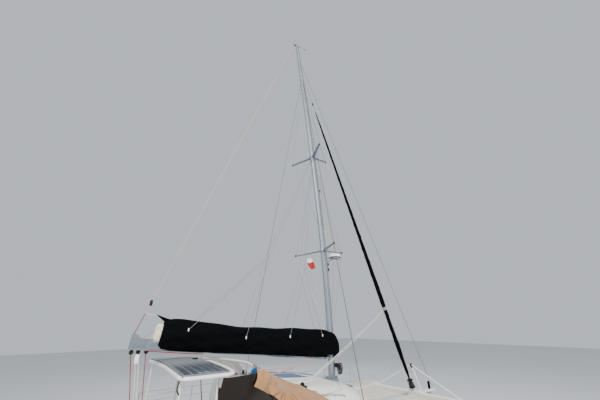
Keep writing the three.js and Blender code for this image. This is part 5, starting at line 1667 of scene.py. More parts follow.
@dataclass
class Dodger:
    """The hoop ahead of the helm with its windscreen, tan canvas and a side curtain tinted dark brown as
    painted shade.

    Attributes:
        hoop: Points of the hoop's centreline.
        screen: Rows of y and the top edge's height.
        canvas: Rows of x, inner y, ridge y, ridge z and hem z.
    """

    hoop: Rows = ((-2.64, 1.99, 1.5), (-2.87, 2.04, 2.76), (-2.92, 1.97, 2.96), (-2.945, 1.6, 3.07),
            (-2.96, 0, 3.165), (-2.955, -1.43, 3.215), (-2.95, -1.85, 3.19), (-2.93, -2.06, 3.11),
            (-2.88, -2.1, 2.8), (-2.64, -2.01, 1.5))
    screen: Rows = (
        (1.7, 3.0), (1.35, 3.05), (1.0, 3.076), (0.5, 3.106), (0.0, 3.134), (-0.7, 3.158), (-1.05, 3.17))
    canvas: Rows = (
        (-2.74, -1.25, -1.49, 3.06, 2.71), (-2.6, -1.26, -1.55, 3.04, 2.61),
        (-2.47, -1.28, -1.565, 2.96, 2.5), (-2.33, -1.3, -1.58, 2.88, 2.25), (-2.15, -1.33, -1.6, 2.82, 1.9),
        (-1.97, -1.36, -1.62, 2.76, 1.8), (-1.54, -1.44, -1.66, 2.59, 1.8), (-1.0, -1.64, -1.76, 2.37, 1.8),
        (-0.8, -1.76, -1.83, 2.24, 1.85))
    coachroof: Coachroof = field(default_factory=Coachroof)

    def build(self) -> None:
        """Makes the hoop, its cover, the screen, canvas and curtain."""
        hoop = tube(self.hoop, 0.016, 14, 10)
        put(hoop, "dodger_frame", PAINTED_ALLOY, replaces=("dodger_hoop",))
        line = spline(self.hoop[3:7], 16)
        put(tube(line + [-0.004, 0, -0.012], 0.026, 12), "dodger_edge_roll", WHITE_CLOTH)
        self.windscreen()
        self.awning()
        self.curtain()

    def pane_at(self, share: Array, y: Array) -> Array:
        """The windscreen's sloping surface: from the hoop, share 0, to the roof's aft edge, share 1."""
        rows = np.array(self.screen)
        top = through(rows, y, 1)
        foot = self.coachroof.top(np.full_like(y, -2.46), y)[..., 2]
        return columns(-2.96 + share * 0.5, y, top + (foot - top) * share + 0.03 * np.sin(np.pi * share))

    def windscreen(self) -> None:
        """Clear vinyl in a cloth border, split by two zips."""
        share, y = np.meshgrid(np.linspace(0.01, 0.97, 14), np.linspace(-1.04, 1.69, 48), indexing="ij")
        sheet = self.thicken(self.pane_at(share, y), 0.006)
        made = put(sheet, "dodger_windscreen", BLUE_VINYL, replaces=("dodger_screen",))
        seams = []
        for y_at in (-1.03, -0.35, 0.35, 1.02, 1.68):
            run = np.linspace(0.01, 0.97, 12)
            seams.append(tube(self.pane_at(run, np.full(12, y_at)) + [0, 0, 0.006], 0.012, 6))
        put(seams, "windscreen_seams", WHITE_CLOTH)

    @staticmethod
    def thicken(grid: Array, thick: float) -> Form:
        """A sheet: the grid and a copy set back along its normals, joined round the rim."""
        square = np.cross(np.gradient(grid, axis=0), np.gradient(grid, axis=1))
        square /= np.maximum(np.linalg.norm(square, axis=-1, keepdims=True), 1e-12)
        return skin(np.concatenate([grid, (grid - thick * square)[:, ::-1]], axis=1))

    def awning(self) -> None:
        """The tan canvas over the helm's fore side: ridge, slack folds and a scalloped hem."""
        rows = np.array(self.canvas)
        x = np.linspace(rows[0, 0], rows[-1, 0], 150)
        inner, ridge, high, hem = (through(rows, x, k) for k in (1, 2, 3, 4))
        near = np.clip((-2.45 - x) / 0.29, 0, 1)
        across = [columns(x, inner, self.coachroof.top(x, inner)[:, 2] + 0.012),
                columns(x, ridge + 0.07, high - 0.012), columns(x, ridge, high),
                columns(x, ridge - 0.23, high - 0.05), columns(x, -2.14,
                np.maximum(high - 0.19, hem + 0.06)), columns(x, np.full_like(x, -2.29) + 0.07 * near,
                np.maximum(high - 0.42, hem + 0.04)), columns(x, np.full_like(x, -2.345) + 0.11 * near,
                np.maximum((high - 0.42 + hem) / 2, hem + 0.02)),
                columns(x, np.full_like(x, -2.35) + 0.1 * near, hem)]
        grid = np.stack([spline(row, 11) for row in np.stack(across, axis=1)])
        share = np.linspace(0, 1, grid.shape[1])[None, :]
        along = np.linspace(0, 1, grid.shape[0])[:, None]
        folds = (0.018 * np.sin(2 * np.pi * (3.1 * along + 1.3 * share)) * np.sin(np.pi * share)
                 + 0.012 * np.sin(2 * np.pi * (7.3 * along - 2.1 * share)) * share ** 2)
        ridges = (0.02 * np.sin(2 * np.pi * share / 0.13) * np.clip((along - 0.2) * 6, 0, 1)
                  * (np.abs(share - 0.39) < 0.13))
        grid[..., 2] += (folds + ridges) * (1 - along ** 6)
        grid[..., 1] -= np.abs(folds) * 0.4 * share
        fore, down = grid[..., 0] + 2.25, 2.74 - grid[..., 2]
        pleat = np.abs(np.sin(9.5 * np.arctan2(fore, np.maximum(down, 0.0) + 0.01))) - 0.5
        reach = np.hypot(fore, down)
        grid[..., 1] -= (0.07 * pleat * np.clip(reach * 5, 0, 1) * np.clip((1.0 - reach) * 2.2, 0, 1)
                         * np.clip(down * 14, 0, 1))
        made = put(self.thicken(grid, 0.006), "helm_awning",
                   TAN_CANVAS, replaces=("helm_canvas", "helm_canvas_side"), smooth=60)
        welts = [tube(grid[k] + [0, 0, 0.001], 0.005, 6) for k in (0, -1)]
        put([*welts, tube(grid[:, -1], 0.006, 6)], "awning_welts", TAN_CANVAS)
        self.lobe()
        # The hoop's corner pane: its blue colour is a painted reflection of the sky
        corner = rounded([(-3.0, 2.86), (-3.09, 3.0), (-3.06, 3.12), (-2.96, 3.17), (-2.93, 3.02)], 0.02)
        put(inlay(lambda x, z: columns(x, 0 * x - 2.03, z), corner, 0.0, 0.006, 0.002, 4),
            "hoop_corner_pane", PAINTED_SHADOW_AND_SKY_BLUE)
        put(slab((-3.19, -1.95, 3.03), (-3.12, -1.86, 3.12), 0.015), "hoop_instrument",
            PAINTED_ALLOY)
        put(slab((-3.215, -1.945, 3.04), (-3.195, -1.875, 3.11), 0.008), "hoop_instrument_face",
            BLACK_PLASTIC)

    def lobe(self) -> None:
        """The canvas's aft flap over the hoop's near leg: y bellies out and two creases cross it."""
        corners = rounded([(-2.99, 3.09), (-2.9, 3.125), (-2.78, 3.08), (-2.64, 2.99), (-2.52, 2.84),
                           (-2.5, 2.62), (-2.62, 2.64), (-2.76, 2.7), (-2.92, 2.78), (-3.07, 2.85),
                           (-3.02, 2.95)], 0.02)
        outline = Hardtop.dense(corners, 0.03)

        def place(x: Array, z: Array) -> Array:
            belly = 0.06 * np.clip(1 - ((x + 2.8) / 0.3) ** 2, 0, 1) * np.clip((z - 2.6) / 0.3, 0, 1)
            crease = 0.018 * np.sin(26 * (x + 2.8) - 14 * (z - 2.8)) * np.clip((x + 3.0) / 0.3, 0, 1)
            return columns(x, -2.165 - belly + crease + 0.4 * np.clip(z - 2.98, 0, 1), z)

        piece = put(inlay(place, outline, -0.004, 0.004, 0.001, 12), "awning_lobe", TAN_CANVAS, smooth=60)

    def curtain(self) -> None:
        """The side curtain between hardtop and hoop, bellied outwards, its dark brown tint a painted shade.
        """
        u, v = np.meshgrid(np.linspace(0, 1, 20), np.linspace(0, 1, 20), indexing="ij")
        top = between((-3.56, -1.785, 3.0), (-2.865, -2.14, 3.08), u[..., None])
        low = between((-3.9, -1.865, 1.57), (-2.1, -2.14, 1.57), u[..., None])
        grid = between(top, low, v[..., None])
        grid[..., 1] -= (0.3 * (np.maximum(u, 1e-6) ** 0.45 - u)
                         + 0.05 * np.sin(np.pi * u) * np.sin(np.pi * v))
        made = put(self.thicken(grid, 0.004), "helm_side_curtain", SHADE_DARKENED_VINYL, replaces=("helm_curtain",))
        put([tube(grid[0], 0.01, 6), tube(grid[-1], 0.01, 6), tube(grid[:, -1], 0.01, 6)],
            "side_curtain_hem", BLACK_PLASTIC)


@dataclass
class Mast:
    """The bent mast with its head, winch, spreaders, radar, lamps and running lines.

    Attributes:
        section: Half length and half width of the section.
        taper_from: Share of the height where the section starts to taper.
        spreaders: Height, side reach and forward reach of the lower and upper sets.
        sweep: How far the side arms point aft.
    """

    section: Row = (0.13, 0.085)
    taper_from: float = 0.82
    spreaders: Rows = ((6.59, 1.29, 0.98), (10.83, 1.08, 0.76))
    sweep: float = math.radians(23)
    radar_z: float = 6.35
    radar_reach: float = 0.57
    winch_z: float = 2.72

    def at(self, z: float, ahead: float = 0.0, side: float = 0.0) -> Array:
        """A point beside the mast's axis at a height."""
        return np.array([BOAT.mast_at(z) + ahead, side, z])

    def tips(self, row: int) -> dict[str, Array]:
        """Ends of a spreader set's three arms."""
        z, reach, forward = self.spreaders[row]
        x = BOAT.mast_at(z)
        aft, out = reach * math.sin(self.sweep), reach * math.cos(self.sweep)
        return {"port": np.array([x - aft, out, z - 0.04]), "starboard": np.array([x - aft, -out, z - 0.04]),
                "forward": np.array([x + forward, 0.0, z + 0.04])}

    def build(self) -> None:
        """Makes the spar and everything on it."""
        put(self.spar(), "mast_extrusion", MAST_SILVER, replaces=("mast",), smooth=30)
        put(self.head(), "masthead_crane", PAINTED_ALLOY)
        put(self.step(), "mast_step", PAINTED_ALLOY)
        self.winches()
        for row, name in enumerate(("lower", "upper")):
            self.spreader_set(row, name)
        self.radar()
        self.fittings()
        self.lines()

    def taper(self, z: Array, rate: float = 2.2) -> Array:
        """The section's share at a height: 1, less the rate times the height's share over taper_from."""
        share = (z - BOAT.mast_foot[1]) / (BOAT.mast_top - BOAT.mast_foot[1])
        return 1 - np.clip(share - self.taper_from, 0, 1) * rate

    def spar(self) -> Form:
        """Oval rings up the bent axis, tapering near the head; a luff groove is a notch at the aft side."""
        z = np.linspace(BOAT.mast_foot[1] + 0.001, BOAT.mast_top, 120)[:, None]
        taper = self.taper(z)
        angle = np.concatenate([np.linspace(-np.pi + 0.13, np.pi - 0.13, 31),
                [np.pi - 0.1, np.pi, np.pi + 0.1]])
        deep = np.concatenate([np.ones(31), [0.9, 0.86, 0.9]])
        x = BOAT.mast_x(z) + self.section[0] * taper * deep * np.cos(angle)
        y = self.section[1] * taper * np.sin(angle)
        return skin(columns(x, y, z + 0 * angle))

    def head(self) -> Form:
        """Crane with sheave cheeks, and a wand, wind vane, lamp and aerial above it."""
        top = BOAT.mast_top
        plate = [(-0.23, top - 0.02), (-0.1, top - 0.06), (0.12, top - 0.06), (0.15, top - 0.02),
                (0.13, top + 0.012), (-0.22, top + 0.012)]
        x = BOAT.mast_at(top)
        cheeks = [prism([(x + a, b) for a, b in plate], y - 0.006, y + 0.006) for y in (-0.028, 0.028)]
        sheaves = [lathe(spool(0.04, 0.034, 0.018, 0.02), (x + dx, 0, top - 0.024), (0, 1, 0), 18)
                   for dx in (-0.17, 0.09)]
        cap = prism([(x - 0.2, -0.034), (x + 0.14, -0.034), (x + 0.14, 0.034), (x - 0.2, 0.034)], top,
                top + 0.012, 2)
        wand = tube([(x - 0.19, 0, top), (x - 0.19, 0, top + 0.52)], 0.006, 6)
        arm = tube([(x + 0.02, 0, top + 0.01), (x + 0.12, 0, top + 0.10), (x + 0.52, 0, top + 0.12)],
                   0.005, 6)
        cups = [lathe([(0, 0), (0.02, 0.006), (0.024, 0.02), (0.02, 0.006), (0, 0.0)],
                      (x + 0.52 + 0.04 * math.cos(a), 0.04 * math.sin(a), top + 0.115), sides=10)
                for a in (0.3, 2.4, 4.5)]
        vane = prism([(x + 0.42, top + 0.15), (x + 0.50, top + 0.15), (x + 0.62, top + 0.18),
                (x + 0.62, top + 0.13), (x + 0.50, top + 0.145)], -0.002, 0.002)
        lamp = lathe([(0, 0), (0.032, 0), (0.036, 0.02), (0.036, 0.07), (0.02, 0.09), (0, 0.095)],
                     (x - 0.05, 0, top + 0.012), sides=18)
        return all_of([*cheeks, *sheaves, cap, wand, arm, *cups, vane, lamp])

    def step(self) -> Form:
        """Collar and base plate on the roof, with four halyard blocks round them."""
        x, z = BOAT.mast_foot
        plate = slab((x - 0.19, -0.15, 2.06), (x + 0.19, 0.15, 2.352), 0.015)
        ring = lathe([(0.13, 0), (0.16, 0), (0.16, 0.02), (0.14, 0.05), (0.13, 0.05), (0.13, 0)], (0, 0, 0),
                sides=36)
        ring = ring.scaled((1.07, 0.75, 1)).moved((x, 0, z + 0.01))
        blocks = [lathe(rod(0.032, -0.015, 0.015), (x + dx, dy, z + 0.055), (1, 0, 0), 16)
                  for dx in (-0.12, 0.12) for dy in (-0.115, 0.115)]
        return all_of([plate, ring, *blocks])

    def winches(self) -> None:
        """Two black halyard winches on the mast's sides, with a coil of dark rope on the near one."""
        x = BOAT.mast_at(self.winch_z) + 0.1
        drum = [(0, 0), (0.07, 0), (0.07, 0.02), (0.05, 0.032), (0.044, 0.075), (0.052, 0.105),
                (0.06, 0.112), (0.06, 0.135), (0.026, 0.145), (0, 0.145)]
        pad = slab((x - 0.055, -0.13, self.winch_z - 0.055), (x + 0.055, -0.045, self.winch_z + 0.055), 0.01)
        put(lathe(drum, (x, -0.13, self.winch_z), (0, -1, 0), 30) + pad, "mast_winch_starboard",
            BLACK_PLASTIC)
        small = [(r * 0.8, h * 0.8) for r, h in drum]
        put(lathe(small, (x - 0.05, 0.078, self.winch_z + 0.22), (0, 1, 0), 30), "mast_winch_port",
            BLACK_PLASTIC)
        turn = np.linspace(0, 2 * np.pi * 5, 120)
        coil = columns(x + 0.09 + 0.05 * np.sin(turn / 5) + 0.05 * np.cos(turn),
                -0.17 + 0.03 * np.cos(turn / 2.5), self.winch_z - 0.1 + 0.15 * np.sin(turn))
        put(tube(coil, 0.017, 6), "halyard_coil", BLACK_ROPE)

    def spreader_set(self, row: int, name: str) -> None:
        """Three flattened, tapering arms with rounded ends, and a collar round the mast."""
        z = self.spreaders[row][0]
        tips = self.tips(row)
        root = self.at(z)
        arms = []
        width = np.array([0.05, *np.linspace(0.07, 0.05, 12), 0.03])
        for tip in tips.values():
            start = root + (tip - root) * 0.07
            line = start + (tip - start) * np.linspace(0, 1, 14)[:, None]
            bar = tube(line, width, 16)
            arms.append(Form(self.flattened(bar.points, line), bar.faces, bar.uvs))
        root_ring = lathe(collar(0.078, 0.1, 0.104, 0.05), sides=40)
        arms.append(root_ring.scaled((1.62, 1.16, 1)).moved(root))
        put(arms, f"spreader_arms_{name}", MAST_SILVER, replaces=(f"spreaders_{name}",))
        caps = [lathe(spool(0.03, 0.036, 0.036, 0.04), tip, sides=14) for tip in tips.values()]
        put(caps, f"spreader_tips_{name}", BLACK_PLASTIC)

    @staticmethod
    def flattened(points: Array, line: Array) -> Array:
        """Points drawn to 38% of their height over the line's own height at the same plan distance."""
        plan = line[-1, :2] - line[0, :2]
        share = ((points[:, :2] - line[0, :2]) @ plan) / (plan @ plan)
        level = line[0, 2] + (line[-1, 2] - line[0, 2]) * share
        return columns(points[:, 0], points[:, 1], level + (points[:, 2] - level) * 0.38)

    def radar(self) -> None:
        """White dome with a dark band low on it, on a two-legged bracket."""
        middle = self.at(self.radar_z, self.radar_reach)
        dome = [(0, 0.0), (0.17, 0), (0.208, 0.008), (0.226, 0.03), (0.23, 0.05), (0.228, 0.11),
                (0.214, 0.146), (0.18, 0.176), (0.12, 0.198), (0.06, 0.205), (0, 0.206)]
        put(lathe(dome, middle, sides=48), "radar_dome", WHITE_PLASTIC, replaces=("radar",), smooth=60)
        band = [(0.2, 0.004), (0.214, 0.008), (0.2315, 0.03), (0.2335, 0.05), (0.22, 0.056), (0.2, 0.004)]
        put(lathe(band, middle, sides=48), "radar_band", BLACK_PLASTIC)
        legs = []
        for y in (-0.07, 0.07):
            legs.append(tube([self.at(self.radar_z - 0.01, 0.09, y * 0.6), middle + [-0.1, y, -0.012],
                              middle + [0.16, y, -0.012]], 0.012, 8))
            legs.append(tube([self.at(self.radar_z - 0.2, 0.1, y * 0.5), middle + [-0.05, y, -0.014]],
                    0.011, 8))
        foot = slab(middle + [-0.15, -0.1, -0.02], middle + [0.17, 0.1, 0.002], 0.006)
        put([*legs, foot], "radar_bracket", MAST_SILVER)

    def fittings(self) -> None:
        """Steaming and deck lamps, spreader lights, the batten track, hound tangs, a sleeve and the
        gooseneck's lugs.
        """
        lamps = []
        for z, ahead in ((6.06, 0.17), (5.86, 0.17), (9.2, 0.16)):
            where = self.at(z, ahead - 0.02)
            lamps.append(lathe([(0, -0.05), (0.036, -0.05), (0.05, 0.0), (0.05, 0.05), (0.03, 0.07),
                    (0, 0.072)], where, sides=18))
        put(lamps, "mast_lamps", BLACK_PLASTIC)
        z = np.linspace(3.35, BOAT.mast_top - 0.25, 70)
        back = columns(BOAT.mast_x(z) - self.section[0] * self.taper(z) * 0.97, 0 * z, z)
        track = skin(np.stack([back + [0, 0.013, 0], back + [-0.014, 0.013, 0], back + [-0.014, -0.013, 0],
                               back + [0, -0.013, 0]], axis=1))
        put(track, "batten_track", MAST_SILVER)
        hounds = [slab(self.at(z, 0.05, -0.016) + [0, 0, -0.04],
                       self.at(z, 0.16, 0.016) + [0, 0, 0.06], 0.008)
                  for z in (BOAT.hounds, BOAT.outer_hounds)]
        sleeve = lathe(collar(0.08, 0.098, 0.1, 0.04), sides=36)
        sleeve = sleeve.scaled((1.36, 0.92, 1)).moved(self.at(BOAT.hounds - 0.06))
        lugs = [slab(self.at(BOAT.gooseneck[1] + low, -0.215, -0.026),
                     self.at(BOAT.gooseneck[1] + low, -0.11, 0.026) + [0, 0, 0.028], 0.004)
                for low in (-0.09, 0.062)]
        put([*hounds, sleeve, *lugs], "mast_tangs", STAINLESS)

    def lines(self) -> None:
        """Halyards close along the mast, the flag halyard with its pennant, and the spinnaker halyard."""
        made = []
        for z0, z1, ahead, side in ((2.6, 15.2, 0.142, 0.03), (2.6, 16.2, 0.145, -0.035),
                (2.5, 17.8, -0.07, -0.094)):
            z = np.linspace(z0, z1, 40)
            taper = self.taper(z, 1.6)
            made.append(tube(columns(BOAT.mast_x(z) + ahead * taper, side * taper, z), THIN_LINE, 6))
        put(made[0] + made[2], "halyards_white", WHITE_ROPE)
        put(made[1], "halyard_red", RED_WHITE_ROPE)
        head = self.tips(1)["port"] * [1, 0.42, 1] + [0.09, 0, 0]
        put(tube([head, (0.42, 0.45, 6.5), (0.71, 0.45, 3.04)], 0.002, 5), "flag_halyard", GREY_ROPE)
        self.pennant()

    @staticmethod
    def pennant() -> None:
        """A small two-coloured pennant that hangs limp from the halyard: white above, red below."""
        hoist = np.array([0.40, 0.45, 6.33])
        for name, start, end, finish in (("white", 0.0, 0.36, WHITE_CLOTH), ("red", 0.36, 1.0, RED_CLOTH)):
            u, v = np.meshgrid(np.linspace(start, end, 14), np.linspace(0, 1, 12), indexing="ij")
            wide = 0.16 + 0.1 * np.sin(np.pi * u)
            grid = columns(hoist[0] + 0.15 * u + wide * (v - 0.5) * 0.8,
                    hoist[1] - 0.03 * u - wide * (v - 0.5) * 0.55 + 0.03 * np.sin(7 * v + 3 * u),
                    hoist[2] - 0.40 * u - 0.03 * np.sin(5 * v))
            piece = put(Dodger.thicken(grid, 0.002), f"pennant_{name}", finish)


@dataclass
class Rigging:
    """Standing rigging: shrouds, diamonds, jumper wires, turnbuckles and chainplates.

    Attributes:
        mast: The mast that it holds up.
    """

    mast: Mast

    def build(self) -> None:
        """Makes the wires with their terminals."""
        head_x = BOAT.mast_at(BOAT.hounds)
        for side, sign in SIDES.items():
            plate = np.array([BOAT.chainplate[0] + 0.08, sign * BOAT.chainplate[1], BOAT.deck])
            head = np.array([head_x - 0.02, sign * 0.088, 15.3])
            self.stay(plate, head, f"cap_shroud_{side}", (f"shroud_{side}",), 0.009)
        self.diamonds()

    @staticmethod
    def stay(foot: Array, head: Array, name: str, replaces: tuple[str, ...], radius: float) -> None:
        """A wire with a toggle, a turnbuckle body, two studs and a swaged terminal at its foot."""
        along = (head - foot) / np.linalg.norm(head - foot)
        wire = tube([foot + along * 0.42, head], radius, 8)
        put(wire, name, WIRE, replaces=replaces)
        screw = [(0, 0.04), (0.008, 0.04), (0.008, 0.13), (0.013, 0.135), (0.015, 0.16), (0.015, 0.28),
                (0.013, 0.3), (0.008, 0.305), (0.008, 0.36), (0.011, 0.37), (0.011, 0.44), (0.006, 0.45),
                (0, 0.45)]
        body = lathe(screw, foot, along, 16)
        ears = [tube([foot + [0, dy, 0], foot + along * 0.06 + [0, dy, 0]], 0.006, 8)
                for dy in (-0.012, 0.012)]
        base = slab(foot + [-0.06, -0.014, 0.0], foot + [0.06, 0.014, 0.012], 0.005)
        pin = tube([foot + along * 0.045 + [0, -0.02, 0], foot + along * 0.045 + [0, 0.02, 0]], 0.006, 10)
        put([body, *ears, base, pin], f"{name}_turnbuckle", STAINLESS)

    def diamonds(self) -> None:
        """Wires over the spreader tips, from hounds to boom height, and jumpers between the tips."""
        mast = self.mast
        lower, upper = mast.tips(0), mast.tips(1)
        legs = []
        for side, sign in SIDES.items():
            legs += [[mast.at(15.1, -0.03, sign * 0.08), upper[side]],
                     [upper[side], mast.at(7.55, 0, sign * 0.085)],
                     [mast.at(10.35, 0, sign * 0.085), lower[side]],
                     [lower[side], mast.at(3.68, 0, sign * 0.085)]]
        legs += [[mast.at(10.4, 0.13), lower["forward"]], [lower["forward"], mast.at(3.7, 0.13)],
                 [mast.at(14.95, 0.12), upper["forward"]], [upper["forward"], mast.at(7.6, 0.13)]]
        legs += [[tips[side], tips["forward"]] for tips in (lower, upper) for side in SIDES]
        put([tube(leg, 0.006, 6) for leg in legs], "diamond_wires", BRIGHT_WIRE)


@dataclass
class Boom:
    """The boom with its groove, ends, blocks and lines, and the stacked mainsail in its cover.

    Attributes:
        section: Half width and half height.
        cover: Rows of distance aft of the pin, low edge, high edge and half width.
        front: Rows of height, reach ahead of the mast's axis and half width of the cover's front.
        lift_shares: Where the topping lift's block and knot are, as shares of its length.
        jacks: Each fan of lazy jacks: where its legs part in x and z, and each foot's place and degrees.
    """

    section: Row = (0.075, 0.115)
    cover: Rows = ((0.06, -0.07, 0.745, 0.15), (0.12, -0.075, 0.745, 0.19), (0.9, -0.08, 0.725, 0.215),
            (2.5, -0.09, 0.61, 0.225), (3.6, -0.1, 0.57, 0.215), (4.6, -0.105, 0.605, 0.2),
            (5.2, -0.1, 0.57, 0.16), (5.36, -0.09, 0.5, 0.12))
    front: Rows = ((2.93, 0.19, 0.11), (3.02, 0.27, 0.16), (3.16, 0.315, 0.2), (3.32, 0.31, 0.2),
            (3.46, 0.265, 0.18), (3.58, 0.205, 0.14), (3.65, 0.16, 0.105))
    lift_shares: Row = (0.951, 0.968)
    jacks: tuple[tuple, ...] = (
        ((-1.72, 6.02), ((4.75, 16), (3.15, 9))), ((-0.29, 5.69), ((1.69, 18), (0.36, 30))))

    def build(self) -> None:
        """Makes spar, cover, apron, sail and lines."""
        self.spar()
        self.stack()
        self.apron()
        self.leech()
        self.mainsheet()
        self.lifts()
        self.reefs()

    def spar(self) -> None:
        """Rounded box section from the gooseneck to its end casting, which flares up at the top."""
        turn = superellipse(self.section[0], self.section[1], 3.4, 36)
        distance = np.concatenate([[0.075], np.linspace(0.09, 5.86, 30), [5.9, 5.925]])
        scale = np.concatenate([[0.9], np.ones(30), [0.97, 0.86]])
        rings = [BOAT.on_boom(columns(d, turn[:, 0] * k, turn[:, 1] * k)) for d, k in zip(distance, scale)]
        put(skin(np.array(rings)), "boom_extrusion", BOOM_SILVER, "boom", replaces=("boom",), smooth=30)
        cap = [(5.5, 0.10), (5.62, 0.10), (5.74, 0.125), (5.8, 0.175), (5.86, 0.205), (5.93, 0.2),
               (5.94, 0.12), (5.925, 0.0), (5.935, -0.05), (5.92, -0.118), (5.6, -0.122), (5.5, -0.118)]
        outline = BOAT.on_boom([(d, 0.0, h) for d, h in cap])[:, [0, 2]]
        casting = prism(outline, -0.079, 0.079)
        sheaves = [lathe(spool(0.04, 0.034, 0.01, 0.012),
                         BOAT.boom_point(5.9, dy, 0.02), (0, 1, 0), 20) for dy in (-0.04, 0.0, 0.04)]
        toggle = lathe([(0.011, -0.088), (0.028, -0.088), (0.028, 0.055), (0.011, 0.055), (0.011, -0.088)],
                       (BOAT.gooseneck[0], 0, BOAT.gooseneck[1]), sides=20)
        neck = slab(BOAT.boom_point(0.1, -0.02, 0) + [0, 0, -0.05],
                BOAT.boom_point(0.02, 0.02, 0) + [0, 0, 0.05], 0.006)
        recess = prism(outline.mean(axis=0) + (outline - outline.mean(axis=0)) * 0.72, -0.083, 0.083)
        put(recess, "boom_end_recess", BOOM_SILVER, "boom")
        put([casting, *sheaves, toggle, neck], "boom_castings", PAINTED_ALLOY, "boom")

    def cover_at(self, distance: Array, angle: Array) -> Array:
        """The cover's skin in the boom's frame: a pear section with long creases.

        Half width and height follow the angle as |cos|^0.8 and |sin|^0.75; the top half narrows by a
        third. The creases are waves that drift along the boom, deepest on the flanks.
        """
        low, high, half = (through(self.cover, distance, k) for k in (1, 2, 3))
        c, s = np.cos(angle), np.sin(angle)
        rise = np.sign(s) * np.abs(s) ** 0.75
        middle, reach = (low + high) / 2, (high - low) / 2
        narrow = 1 - 0.30 * np.clip(rise, 0, 1) ** 2 - 0.08 * np.clip(-rise, 0, 1)
        crease = (0.013 * np.sin(3.1 * distance + 6.5 * rise + 1.1 * np.sign(c))
                  + 0.008 * np.sin(7.7 * distance - 9.0 * rise) + 0.005 * np.sin(17 * distance + 13 * rise))
        out = np.sign(c) * np.abs(c) ** 0.8 * half * narrow + c * crease * 1.3
        sag = 0.010 * np.sin(5.3 * distance) * np.clip(rise, 0, 1)
        return BOAT.on_boom(
            columns(distance, out, middle + reach * rise + sag).reshape(-1, 3)).reshape(*out.shape, 3)

    def stack(self) -> None:
        """The black cover packed with sail: one closed skin, its folds and slack in the surface."""
        distance = np.linspace(0.06, 5.34, 180)[:, None]
        angle = circle(60)[None, :]
        grid = self.cover_at(distance + 0 * angle, angle + 0 * distance)
        cover = put(skin(grid), "sail_stack_cover", BLACK_CANVAS, "boom", replaces=("sail_cover",),
                smooth=70)
        seams = []
        for d in (0.95, 2.05, 3.2, 4.3):
            ring = self.cover_at(np.full((1, 60), d), angle)[0]
            seams.append(loop(ring, 0.003))
        ridge = self.cover_at(distance[::4], np.full((45, 1), np.pi / 2))[:, 0] + [0, 0, 0.006]
        seams.append(tube(ridge, 0.010, 8))
        flap = [BOAT.boom_point(d, 0.0, h)[[0, 2]]
                for d, h in ((5.08, 0.57), (5.3, 0.5), (5.56, 0.66), (5.3, 0.6))]
        seams.append(prism(flap, -0.035, 0.035))
        put(seams, "cover_seams_and_zip", BLACK_CANVAS, "boom")

    def apron(self) -> None:
        """The cover's rounded front round the fore side of the mast, its ends, and a gusset to the cover."""
        rows = np.array(self.front)
        z = np.linspace(rows[0, 0], rows[-1, 0], 30)[:, None]
        angle = np.linspace(-1.5, 1.5, 34)[None, :]
        reach, half = through(rows, z, 1), through(rows, z, 2)
        slack = 1 + 0.02 * np.sin(7 * angle + 9 * z) * np.cos(angle)
        outer = columns(BOAT.mast_x(z) + 0.012 + reach * slack * np.cos(angle),
                half * slack * np.sin(angle), z + 0 * angle)
        piece = put(Dodger.thicken(outer, 0.008), "cover_apron_cloth",
                    BLACK_CANVAS, replaces=("cover_apron",), smooth=70)
        lids = []
        for k in (0, -1):
            hub = Mast().at(rows[k, 0], 0.06)
            fan = hub + (outer[k] - hub) * np.linspace(1, 0.6, 6)[:, None, None]
            lids.append(Dodger.thicken(fan if k else fan[:, ::-1], 0.006))
        put(lids, "cover_apron_ends", BLACK_CANVAS, smooth=70)
        self.gusset()

    def gusset(self) -> None:
        """Loose cloth on each side from the cover's front end to the apron."""
        rows = np.array(self.front)
        z = np.linspace(rows[0, 0] + 0.1, rows[-1, 0], 16)
        half = through(rows, z, 2)
        lift = (z - z[0]) / (z[-1] - z[0])
        for side, sign in SIDES.items():
            share = np.linspace(0, 1, 12)[:, None]
            fore = columns(BOAT.mast_x(z) + 0.05, sign * half, z + 0.03 * lift)
            aft = columns(0 * z + BOAT.gooseneck[0] - 0.14, sign * (0.18 - 0.05 * lift),
                    z + 0.02 + 0.1 * lift)
            grid = aft + (fore - aft) * share[..., None]
            grid[..., 1] += sign * 0.012 * np.sin(np.pi * share) * np.sin(9 * z)
            grid = grid if sign > 0 else grid[::-1]
            piece = put(Dodger.thicken(grid, 0.006), f"cover_gusset_{side}", BLACK_CANVAS, "", smooth=70)
            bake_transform(piece)

    def leech(self) -> None:
        """Off-white folds of the sail's leech that stick out behind the cover, laced in white cord."""
        rings = []
        angle = circle(48)
        for d, k in ((5.24, 1.0), (5.37, 0.98), (5.43, 0.92), (5.47, 0.8), (5.49, 0.55)):
            wave = 1 + 0.1 * np.cos(9 * angle + 12 * d)
            rings.append(BOAT.on_boom(columns(d, 0.09 * k * wave * np.cos(angle),
                    0.25 + 0.22 * k * wave * np.sin(angle))))
        bundle = put(skin(np.array(rings)), "leech_folds", SAILCLOTH, "boom", smooth=70)
        zigzag = [(5.37 + 0.04 * (k % 3), 0.1 if k % 2 == 0 else -0.1, h)
                  for k, h in enumerate(np.linspace(0.06, 0.44, 7))]
        put(tube(BOAT.on_boom(zigzag), 0.005, 6, 6), "cover_lacing", WHITE_ROPE, "boom")

